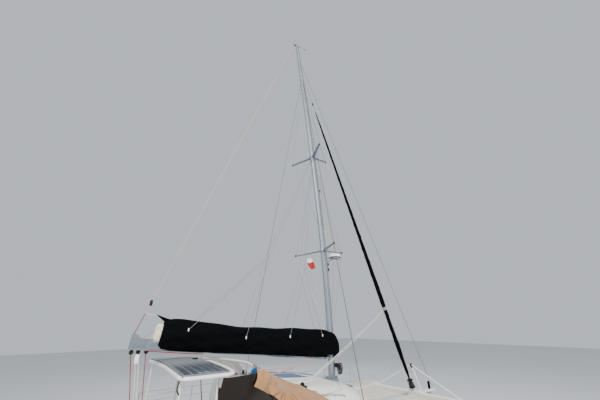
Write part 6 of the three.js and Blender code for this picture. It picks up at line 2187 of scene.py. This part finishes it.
    def lifts(self) -> None:
        """Topping lift, its block and tail, and the lazy jacks."""
        end = BOAT.boom_point(5.91, 0, 0.2)
        masthead = np.array([BOAT.mast_at(BOAT.mast_top) - 0.2, 0, BOAT.mast_top - 0.03])
        knot = between(masthead, end, self.lift_shares[1])
        self.strung([masthead, knot], LIFT_LINE, "topping_lift", RED_WHITE_ROPE)
        block = between(masthead, end, self.lift_shares[0])
        piece = put(slab(block + [-0.035, -0.025, -0.07], block + [0.035, 0.025, 0.07], 0.014),
                "topping_lift_block", BLACK_PLASTIC, "")
        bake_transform(piece)
        self.strung([knot, end], REEF_LINE, "topping_lift_tail", RED_ROPE)
        self.strung([knot, BOAT.boom_point(5.5, 0.0, 0.64)], THIN_LINE, "topping_lift_tie", WHITE_ROPE)
        for name, sign in SIDES.items():
            top = Mast().at(10.7, -0.1, sign * 0.06)
            number = 0
            for middle, feet in self.jacks:
                split = np.array([middle[0], sign * 0.15, middle[1]])
                for leg in ([top, split], *([split, self.on_cover(d, a, sign)] for d, a in feet)):
                    self.strung(leg, THIN_LINE, f"lazy_jack_{name}_{number}", GREY_ROPE)
                    number += 1
            toggles = [lathe(spool(0.014, 0.018, 0.036, 0.04),
                             self.on_cover(d, a, sign), sides=10) for _, feet in self.jacks for d, a in feet]
            put(toggles, f"lazy_jack_toggles_{name}", WHITE_PLASTIC, "boom")

    def on_cover(self, distance: float, degrees: float, sign: float) -> Array:
        """A point on the cover's flank, some degrees over its widest line."""
        angle = math.radians(degrees if sign > 0 else 180 - degrees)
        return self.cover_at(np.array([[distance]]), np.array([[angle]]))[0, 0] + [0, sign * 0.01, 0]

    @staticmethod
    def strung(leg: Sequence[Array], radius: float, name: str, finish: Finish) -> None:
        """A taut line between two points, on no body."""
        head, foot = np.array(leg[0], float), np.array(leg[1], float)
        line = head + (foot - head) * np.linspace(0, 1, 12)[:, None]
        piece = put(tube(line, radius, 6), name, finish, "")
        masthead = Mast().at(BOAT.mast_top, -0.2)
        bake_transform(piece)

    def mainsheet(self) -> None:
        """Blocks under the boom's end and on the traveller, with the sheet's parts between them."""
        top, low = BOAT.boom_point(5.7, 0, -0.24), np.array([-4.7, 0.0, 1.6])
        parts = ((-0.14, -0.02, 0.03, RED_ROPE), (-0.03, 0.02, 0.0, WHITE_ROPE),
                (0.03, -0.02, 0.0, WHITE_ROPE), (0.17, 0.02, 0.03, RED_ROPE))
        for number, (dx, dy, up, finish) in enumerate(parts):
            ends = np.array([top + [dx, dy, up], low + [dx * 0.6, dy, 0.06]])
            piece = put(tube(ends[0] + (ends[1] - ends[0]) * np.linspace(0, 1, 10)[:, None],
                             MAINSHEET_LINE, 8),
                        f"mainsheet_part_{number}", finish, "")
            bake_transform(piece)
        sheave = spool(0.045, 0.05, 0.028, 0.03)
        upper = [lathe(sheave, top + [dx, 0, 0.08], (0, 1, 0), 24) for dx in (-0.14, 0.0, 0.17)]
        upper += [tube([top + [dx, dy, 0.09], BOAT.boom_point(5.7 - dx, dy * 1.4, -0.1)], 0.008, 8)
                  for dx in (-0.14, 0.0, 0.17) for dy in (-0.03, 0.03)]
        put(upper, "mainsheet_blocks_upper", BLACK_PLASTIC, "boom")
        put(slab(top + [-0.045, -0.03, -0.16], top + [0.045, 0.03, 0.05], 0.02), "mainsheet_fiddle_block",
            WHITE_PLASTIC, "boom")
        lower = [lathe(sheave, low + [0, dy, 0.02], (0, 1, 0), 24) for dy in (-0.035, 0.035)]
        put(lower, "mainsheet_blocks_lower", BLACK_PLASTIC)

    def reefs(self) -> None:
        """Reefing lines along the boom's underside and up to the leech."""
        red = [BOAT.boom_point(d, -0.05, -0.128 - 0.012 * math.sin(1.7 * d)) for d in (5.6, 4.9, 4.2)]
        up = [BOAT.boom_point(5.86, 0.07, -0.02), BOAT.boom_point(5.6, 0.08, 0.2),
              BOAT.boom_point(5.36, 0.06, 0.42)]
        put(tube(red, REEF_LINE, 6, 6), "reef_line_red", RED_ROPE, "boom")
        for number, (d, arch) in enumerate(((0.34, (-2.86, -2.02, 3.1)), (0.62, (-2.88, -2.07, 2.98)))):
            foot = BOAT.boom_point(d, -0.05, -0.12)
            piece = put(tube(sagging(arch, foot, 0.05, 20), SHEET_LINE, 6), f"reef_line_lead_{number}",
                        RED_WHITE_ROPE, "")
            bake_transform(piece)
        put(tube(up, THIN_LINE, 6, 6), "reef_line_leech", GREY_ROPE, "boom")


@dataclass
class Headsail:
    """Forestay, outer stay, furled genoa, its drum, swivel and sheets.

    Attributes:
        roll: Rows of distance up the stay and the roll's radius.
        winding: How far up the stay one turn of the cloth climbs.
    """

    roll: Rows = ((0.43, 0.032), (0.52, 0.038), (0.7, 0.057), (1.1, 0.065), (1.6, 0.085), (2.4, 0.073),
            (3.1, 0.075), (3.4, 0.088), (5.2, 0.078), (9.0, 0.052), (12.3, 0.03), (12.9, 0.018))
    winding: float = 1.15

    def __post_init__(self) -> None:
        """Works out the forestay's ends and direction."""
        self.tack = np.array(BOAT.tack)
        self.head = np.array([BOAT.mast_at(BOAT.hounds) + 0.18, 0, BOAT.hounds + 0.02])
        self.along = (self.head - self.tack) / np.linalg.norm(self.head - self.tack)

    def up(self, distance: float) -> Array:
        """The point that far up the forestay."""
        return self.tack + self.along * distance

    def build(self) -> None:
        """Makes stays, roll, drum and sheets."""
        foil = tube([self.up(0.06), self.up(14.6)], 0.0055, 8)
        put(foil, "forestay_wire", WIRE, replaces=("forestay",))
        self.sail()
        self.drum()
        self.outer()
        self.sheets()

    def sail(self) -> None:
        """The roll: rings up the stay; a ridge winds up their radius, as in rolled cloth."""
        distance = np.concatenate([np.linspace(0.43, 0.6, 12), np.linspace(0.6, 12.9, 260)[1:]])[:, None]
        angle = circle(28)[None, :]
        radius = through(self.roll, distance, 1)
        phase = angle - 2 * np.pi * distance / self.winding
        ridge = (0.010 * np.exp(-((np.mod(phase, 2 * np.pi) - 0.5) / 0.35) ** 2)
                 - 0.006 * np.exp(-((np.mod(phase, 2 * np.pi) - 1.3) / 0.3) ** 2))
        pucker = 0.003 * np.sin(5 * angle + 9 * distance)
        size = radius + (ridge + pucker) * np.clip(radius / 0.06, 0.2, 1)
        side = np.array([0.0, 1.0, 0.0])
        other = np.cross(self.along, side)
        rings = (self.tack + self.along * distance[..., None]
                 + size[..., None] * (np.cos(angle)[..., None] * side + np.sin(angle)[..., None] * other))
        piece = put(skin(rings), "furled_genoa", BLACK_CANVAS, "furler", replaces=("furled_headsail",),
                smooth=70)
        foil = tube([self.up(12.85), self.up(14.0)], 0.014, 10)
        swivel = lathe([(0, 0), (0.03, 0), (0.034, 0.02), (0.034, 0.12), (0.024, 0.15), (0, 0.15)],
                self.up(13.3), self.along)
        put(foil, "headfoil", MAST_SILVER, "furler")
        put(swivel, "halyard_swivel", BLACK_PLASTIC, "furler")

    def drum(self) -> None:
        """Furler drum: two flanges with line wound between, on the stay's turnbuckle."""
        shape = [(0, 0.07), (0.07, 0.07), (0.118, 0.08), (0.122, 0.094), (0.12, 0.108), (0.075, 0.116),
                (0.07, 0.32), (0.116, 0.33), (0.12, 0.342), (0.114, 0.352), (0.05, 0.362), (0.045, 0.42),
                (0, 0.42)]
        put(lathe(shape, self.tack, self.along, 40), "furler_drum_spool",
            BLACK_PLASTIC, "furler", replaces=("furler_drum",))
        wound = [(0.065, 0.12), (0.1, 0.124), (0.106, 0.17), (0.102, 0.24), (0.065, 0.26), (0.065, 0.12)]
        put(lathe(wound, self.tack, self.along, 40), "furling_line_wound", BLACK_ROPE, "furler")
        link = [tube([self.tack + [dx, dy, -0.05], self.up(0.07) + [dx, dy, 0]], 0.007, 8)
                for dx, dy in ((0, -0.014), (0, 0.014))]
        put(link, "forestay_toggle", STAINLESS)

    def outer(self) -> None:
        """The outer stay with its black boot and turnbuckle on the bowsprit's end."""
        foot = np.array([6.47, 0, 1.456])
        head = Mast().at(BOAT.outer_hounds, 0.174) + [0, 0, 0.01]
        Rigging.stay(foot, head, "outer_stay_wire", ("outer_stay",), 0.008)
        put(lathe([(0, 0), (0.045, 0), (0.05, 0.04), (0.05, 0.22), (0.04, 0.27), (0, 0.28)],
                (6.24, 0, 1.456), (0, 0, 1), 20), "sprit_roll_bag", BLACK_CANVAS)

    def sheets(self) -> None:
        """Genoa sheets from the roll to the turning block on the roof, and three turns round the roll."""
        clew = self.up(3.12)
        turn = np.linspace(0, 2 * np.pi * 3, 60)
        side, other = np.array([0.0, 1.0, 0.0]), np.cross(self.along, [0.0, 1.0, 0.0])
        wrap = (clew + self.along * np.linspace(0, 0.14, 60)[:, None]
                + 0.098 * (np.cos(turn)[:, None] * side + np.sin(turn)[:, None] * other))
        put(tube(wrap, MAINSHEET_LINE, 6), "genoa_sheet_turns", WHITE_ROPE, "furler")
        roof = Coachroof()
        block = roof.top(np.array(-1.36), np.array(-1.4)) + [0.05, 0, 0.05]
        lead = wrap[0] + [0, -0.02, 0]
        far = block + [0.25, 0.16, 0.02]
        for number, (end, drop) in enumerate(((block, 0.05), (far, 0.1))):
            put(tube(sagging(lead, end, drop, 24), SHEET_LINE, 8), f"genoa_sheet_{number}", WHITE_ROPE)


@dataclass
class Foregear:
    """Crossbeam, bowsprit with its striker, and the anchor under its roller.

    Attributes:
        beam: Crossbeam's x, height and radius.
        sprit: Bowsprit's start x, end x and radius.
        striker_top: Where the striker's post and rods meet.
        anchor_x: The anchor's reference x.
    """

    beam: Row = (5.2, 1.4, 0.1)
    sprit: Row = (5.25, 6.56, 0.055)
    striker_top: Row = (5.225, 0.0, 2.4)
    anchor_x: float = 6.18

    def build(self) -> None:
        """Makes beam, sprit, striker and anchor."""
        x, z, r = self.beam
        inside = float(Hull("port").half(np.array(x)))
        reach = BOAT.hull_y - inside + 0.05
        put(lathe(rod(r, -reach, reach), (x, 0, z), (0, 1, 0), 40), "crossbeam_tube",
            PALE_ALLOY, replaces=("crossbeam",))
        plates = [slab((x - 0.14, s * (reach - 0.075) - 0.02, z - 0.14),
                (x + 0.14, s * (reach - 0.075) + 0.02, 1.46), 0.01) for s in SIDES.values()]
        put(plates, "crossbeam_brackets", PALE_ALLOY)
        self.bowsprit()
        self.striker()
        self.anchor()

    def bowsprit(self) -> None:
        """A tube with a cap, a saddle on the beam, end fitting and roller cheeks."""
        start, end, r = self.sprit
        z = self.beam[1]
        spar = lathe([(0, 0), (r, 0), (r, end - start - 0.012), (r - 0.012, end - start), (0, end - start)],
                     (start, 0, z), (1, 0, 0), 32)
        saddle = prism(rounded([(5.1, 1.24), (5.48, 1.24), (5.52, 1.44), (5.4, 1.535), (5.14, 1.545),
                (5.08, 1.5)], 0.05), -0.32, 0.32)
        bands = [lathe([(r, -0.02), (r + 0.008, -0.018), (r + 0.008, 0.018), (r, 0.02), (r, -0.02)],
                (bx, 0, z), (1, 0, 0), 32) for bx in (5.65, 6.47)]
        put([spar, *bands], "bowsprit_tube", PALE_ALLOY, replaces=("bowsprit",))
        put(saddle, "bowsprit_saddle", GELCOAT)
        cheeks = [prism(rounded([(6.02, 1.345), (6.2, 1.345), (6.24, 1.29), (6.2, 1.27), (6.04, 1.31)],
                0.01), y - 0.004, y + 0.004) for y in (-0.045, 0.045)]
        roller = lathe(spool(0.03, 0.02, 0.038, 0.038), (6.17, 0, 1.318), (0, 1, 0), 20)
        put(cheeks, "roller_cheeks", STAINLESS)
        put(roller, "bow_roller", BLACK_PLASTIC)

    def striker(self) -> None:
        """The post from the sprit, its two rods to the beam and the fitting at their top."""
        top = np.array(self.striker_top)
        x, z, _ = self.beam
        post = tube([(5.65, 0, z + 0.05), between((5.65, 0, z + 0.05), top, 0.5), top], 0.036, 16)
        rods = []
        for sign in SIDES.values():
            foot = np.array([x, sign * 1.84, z + 0.095])
            rods.append(tube([foot, between(foot, top, 0.5), top], 0.021, 12))
            rods.append(lathe([(0, 0), (0.02, 0.01), (0.02, 0.12), (0.012, 0.15), (0, 0.15)], foot,
                    top - foot, 14))
            rods.append(lathe(rod(0.024, -0.03, 0.05), foot, (0, 0, 1), 14))
        put(post + all_of(rods), "striker_rods", WHITE_PLASTIC)
        knob = lathe([(0, -0.12), (0.036, -0.11), (0.044, -0.06), (0.046, 0.02), (0.03, 0.044), (0, 0.046)],
                top, top - np.array([5.65, 0, z]), 20)
        put(knob, "striker_head", BLACK_PLASTIC)

    def anchor(self) -> None:
        """A plough anchor: shank from a rounded side outline, plough from rings that widen aft."""
        ax, z = self.anchor_x, self.beam[1]
        shank = rounded([(ax - 0.42, z - 0.056), (ax + 0.13, z - 0.056), (ax + 0.25, z - 0.19),
                (ax + 0.16, z - 0.236), (ax + 0.10, z - 0.25), (ax + 0.16, z - 0.18),
                (ax + 0.09, z - 0.092), (ax - 0.42, z - 0.092)], 0.02)
        rings = []
        for back in np.linspace(0, 0.39, 10):
            half = np.interp(back, [0, 0.19, 0.39], [0.01, 0.12, 0.172])
            drop = np.interp(back, [0, 0.19, 0.39], [0.2, 0.262, 0.298])
            rise = np.interp(back, [0, 0.19, 0.39], [0.004, 0.04, 0.07])
            v = np.linspace(-1, 1, 17)
            under = columns(ax + 0.298 - back, v * half, z - drop + rise * np.abs(v) ** 1.3)
            upper = (under + [0, 0, 0.012])[::-1]
            rings.append(np.vstack([under, upper]))
        plough = skin(np.array(rings))
        shackle = tube([(ax - 0.41, -0.02, z - 0.075), (ax - 0.45, -0.02, z - 0.075),
                (ax - 0.465, 0, z - 0.075), (ax - 0.45, 0.02, z - 0.075), (ax - 0.41, 0.02, z - 0.075)],
                0.006, 8, 5)
        put([prism(shank, -0.011, 0.011), plough, shackle], "plough_anchor",
            GALVANISED, replaces=("anchor",))


@dataclass
class Nets:
    """Two trampolines: a mesh of woven straps in a rope border, laced to the deck, beam and hulls.

    Attributes:
        x: Aft and fore edge.
        inner: The inner edge's distance from the middle.
        z: Height of the net.
        pitch: Spacing of the straps.
        strap_half: Half a strap's width and half its thickness.
    """

    x: Row = (3.04, 5.06)
    inner: float = 0.17
    z: float = 1.464
    pitch: float = 0.044
    strap_half: Row = (0.008, 0.001)

    @staticmethod
    def outer(x: Array) -> Array:
        """The outer edge, 30 mm inside the hull's deck edge."""
        return BOAT.hull_y - Hull("port").half(x) - 0.03

    def build(self) -> None:
        """Makes both nets."""
        for side, sign in SIDES.items():
            start, end = self.x
            straps = []
            for x in np.arange(start, end, self.pitch):
                out = float(self.outer(np.array(x)))
                straps.append(self.strap((x, self.inner), (x, out), 0.0))
            widest = float(self.outer(np.array(end)))
            for y in np.arange(self.inner, widest, self.pitch):
                xs = np.linspace(start, end, 80)
                inside = xs[self.outer(xs) > y]
                if inside[0] < end:
                    straps.append(self.strap((float(inside[0]), y), (end, y), 0.0022))
            net = all_of(straps).scaled((1, sign, 1))
            put(net, f"net_straps_{side}", NET_WEBBING, replaces=(f"trampoline_{side}",))
            xs = np.linspace(start, end, 30)
            edge = [(start, self.inner)] + list(zip(xs, self.outer(xs))) + [(end, self.inner),
                    (start, self.inner)]
            border = np.array([(a, b, self.z) for a, b in edge])
            rope = tube(border, MAINSHEET_LINE, 8).scaled((1, sign, 1))
            put(rope, f"net_border_{side}", WHITE_ROPE)
            put(self.lacing(sign), f"net_lacing_{side}", WHITE_ROPE)

    def strap(self, a: Row, b: Row, lift: float) -> Form:
        """A flat strap 16 mm wide and 2 mm thick between two points of the plan."""
        start, end = np.array([*a, self.z + lift]), np.array([*b, self.z + lift])
        along = (end - start) / np.linalg.norm(end - start)
        side = np.cross([0, 0, 1.0], along) * self.strap_half[0]
        up = np.array([0, 0, self.strap_half[1]])
        rings = [np.array([p + side + up, p - side + up, p - side - up, p + side - up])
                 for p in (start, end)]
        return skin(np.array(rings))

    def lacing(self, sign: float) -> Form:
        """Zigzag lacing between the border and the deck's edge, the beam and the hull."""
        start, end = self.x
        made = []
        for x, reach, count in ((start, -0.036, 40), (end, 0.05, 50)):
            width = float(self.outer(np.array(x))) - self.inner
            made.append([(x + (0.0 if k % 2 else reach), self.inner + width * k / count, self.z)
                         for k in range(count + 1)])
        xs = np.linspace(start, end, 70)
        rim = [(x, float(self.outer(np.array(x))) + (0.0 if k % 2 else 0.026), self.z)
               for k, x in enumerate(xs)]
        made.append(rim)
        return all_of([tube(path, 0.0035, 5) for path in made]).scaled((1, sign, 1))


@dataclass
class Rails:
    """Toe rail, stanchions and two lifelines along one side.

    Attributes:
        side: "port" or "starboard".
        stations: Where the stanchions stand.
        toe_span: Where the toe rail starts and ends.
        wire_heights: Heights of the lifelines over the toe rail.
    """

    side: str
    stations: Row
    toe_span: Row = (-4.58, 4.9)
    wire_heights: Row = (0.34, 0.585)

    def edge(self, x: float) -> Array:
        """The toe rail's middle at x: 35 mm inside the straight between the hull's stations."""
        rows = np.array(Hull(self.side).stations)[::-1]
        half = float(np.interp(x, rows[:, 0], rows[:, 1]))
        return np.array([x, SIDES[self.side] * (BOAT.hull_y + half - 0.035), 1.5113])

    def build(self) -> None:
        """Makes the rail, stanchions and wires."""
        toe = [self.edge(x) + [0, 0, 0.001] for x in np.linspace(*self.toe_span, 40)]
        made = [tube(toe, 0.011, 10)]
        for x in self.stations:
            foot = self.edge(x) + [0, 0, -0.01]
            made.append(lathe([(0, 0), (0.034, 0), (0.034, 0.006), (0.019, 0.012), (0.019, 0.07),
                    (0.0125, 0.074), (0.0125, 0.595), (0.010, 0.606), (0, 0.6085)], foot, sides=16))
            for z in (0.33, 0.575):
                made.append(lathe([(0.0125, -0.012), (0.0165, -0.01), (0.0165, 0.01), (0.0125, 0.012),
                        (0.0125, -0.012)], foot + [0, 0, z], sides=14))
        put(made, f"stanchions_{self.side}", STAINLESS, replaces=(f"guardrail_{self.side}",))
        wires = []
        for z in self.wire_heights:
            wires.append(tube([self.edge(x) + [0, 0, z] for x in self.stations], 0.0035, 6))
        last = self.edge(self.stations[-1])
        bow = np.array([4.9, last[1] * 0.985, 1.515])
        first = self.edge(self.stations[0])
        wires += [tube([last + [0, 0, z], bow], 0.0035, 6) for z in self.wire_heights]
        stern = self.edge(-4.57)
        wires += [tube([first + [0, 0, z], stern + [0, 0, 0.01]], 0.0035, 6)
                  for z in self.wire_heights]
        put(wires, f"lifelines_{self.side}", WIRE)


@dataclass
class Ladder:
    """The swim ladder, folded up on the starboard platform: two stiles, three treads, a hinge bar.

    Attributes:
        at: Its hinge's x and z.
        half: Half the distance between the stiles.
    """

    at: Row = (-5.845, 0.475)
    half: float = 0.17

    def build(self) -> None:
        """Makes the ladder."""
        x, z = self.at
        y = -BOAT.hull_y
        metal = []
        for sign in (-1, 1):
            metal.append(tube([(x, y + sign * self.half, z), (x, y + sign * self.half, z + 0.4),
                               (x, y + sign * self.half, z + 0.815)], 0.0135, 12))
        metal.append(tube([(x, y - 0.212, z), (x, y + 0.212, z)], 0.009, 14))
        put(metal, "ladder_stiles", STAINLESS, "ladder", replaces=("swim_ladder",))
        treads = [slab((x - 0.029, y - self.half, z + h - 0.01), (x + 0.029, y + self.half, z + h + 0.01),
                0.006) for h in (0.2, 0.45, 0.7)]
        put(treads, "ladder_treads", BLACK_PLASTIC, "ladder")


@dataclass
class Studio:
    """Camera, floor at the waterline and soft lights.

    Attributes:
        eye: The camera's place.
        turn: Its heading, pitch and roll in degrees.
        lens: Focal length for a 36 mm sensor.
    """

    eye: Row = (-5.995, -7.946, 3.959)
    turn: Row = (54.537, 25.05, -0.716)
    lens: float = 16.0

    def camera(self) -> None:
        """Stands the camera at the photo's place, looking up past the boom's end."""
        yaw, pitch, roll = (math.radians(a) for a in self.turn)
        ahead = Vector((math.cos(yaw) * math.cos(pitch), math.sin(yaw) * math.cos(pitch), math.sin(pitch)))
        right = Vector((math.sin(yaw), -math.cos(yaw), 0.0))
        up = right.cross(ahead)
        tilted = right * math.cos(roll) + up * math.sin(roll)
        lifted = up * math.cos(roll) - right * math.sin(roll)
        data = bpy.data.cameras.new("camera")
        data.lens, data.sensor_width, data.clip_end = self.lens, 36.0, 200.0
        seat = linked("camera", data)
        back = -ahead
        seat.matrix_world = Matrix((
            (tilted.x, lifted.x, back.x, self.eye[0]), (tilted.y, lifted.y, back.y, self.eye[1]),
            (tilted.z, lifted.z, back.z, self.eye[2]), (0, 0, 0, 1)))
        bpy.context.scene.camera = seat

    def build(self) -> None:
        """Makes the floor, the pale world and three soft lights."""
        self.floor()
        self.world()
        self.lamp("key", (-11, -16, 17), (0, 0, 6), 9.0, 8000, "fff4e6")
        self.lamp("fill", (14, -14, 9), (0, 0, 4), 12.0, 900, "dfe8f4")
        self.lamp("back", (10, 18, 14), (0, 0, 5), 12.0, 1100, "e6edf6")

    @staticmethod
    def floor() -> None:
        """A plain pale floor at the waterline, wide enough to fill the view."""
        corners = [(x, y, 0.0) for x, y in ((-60, -60), (60, -60), (60, 60), (-60, 60))]
        mesh = bpy.data.meshes.new("floor")
        mesh.from_pydata(corners, [], [(0, 1, 2, 3)])
        mesh.materials.append(FLOOR.material())
        linked("floor", mesh)

    @staticmethod
    def world() -> None:
        """An even pale sky."""
        sky = bpy.data.worlds.new("pale_sky")
        sky.use_nodes = True
        ground = sky.node_tree.nodes["Background"]
        ground.inputs["Color"].default_value = linear("dfe5ec")
        ground.inputs["Strength"].default_value = 0.82
        bpy.context.scene.world = sky

    @staticmethod
    def lamp(name: str, place: Row, aim: Row, size: float, power: float, tint: str) -> None:
        """A square area light that faces a point."""
        data = bpy.data.lights.new(name, "AREA")
        data.energy, data.size, data.color = power, size, linear(tint)[:3]
        lit = linked(name, data)
        lit.location = place
        lit.rotation_euler = (Vector(aim) - Vector(place)).to_track_quat("-Z", "Y").to_euler()


def main() -> None:
    """Builds the sub-assemblies in order, logging each."""
    studio = Studio()
    studio.camera()
    assemblies = [Hull("port"), Hull("starboard"), Underbody("port"), Underbody("starboard"), BridgeDeck(),
            Coachroof(), Saloon(), Cockpit(), Hardtop(), Dodger(), Mast(), Rigging(Mast()), Boom(),
            Headsail(), Foregear(), Nets(), Rails("port", (-4.3, -2.7, -0.6, 1.3, 3.1, 4.5)),
            Rails("starboard", (-4.3, -2.7, -0.6, 1.3)), Ladder(), studio]
    for assembly in assemblies:
        LOG.info("building %s", assembly)
        assembly.build()


if __name__ == "__main__":
    logging.basicConfig(level=logging.INFO, format="%(name)s: %(message)s")
    main()
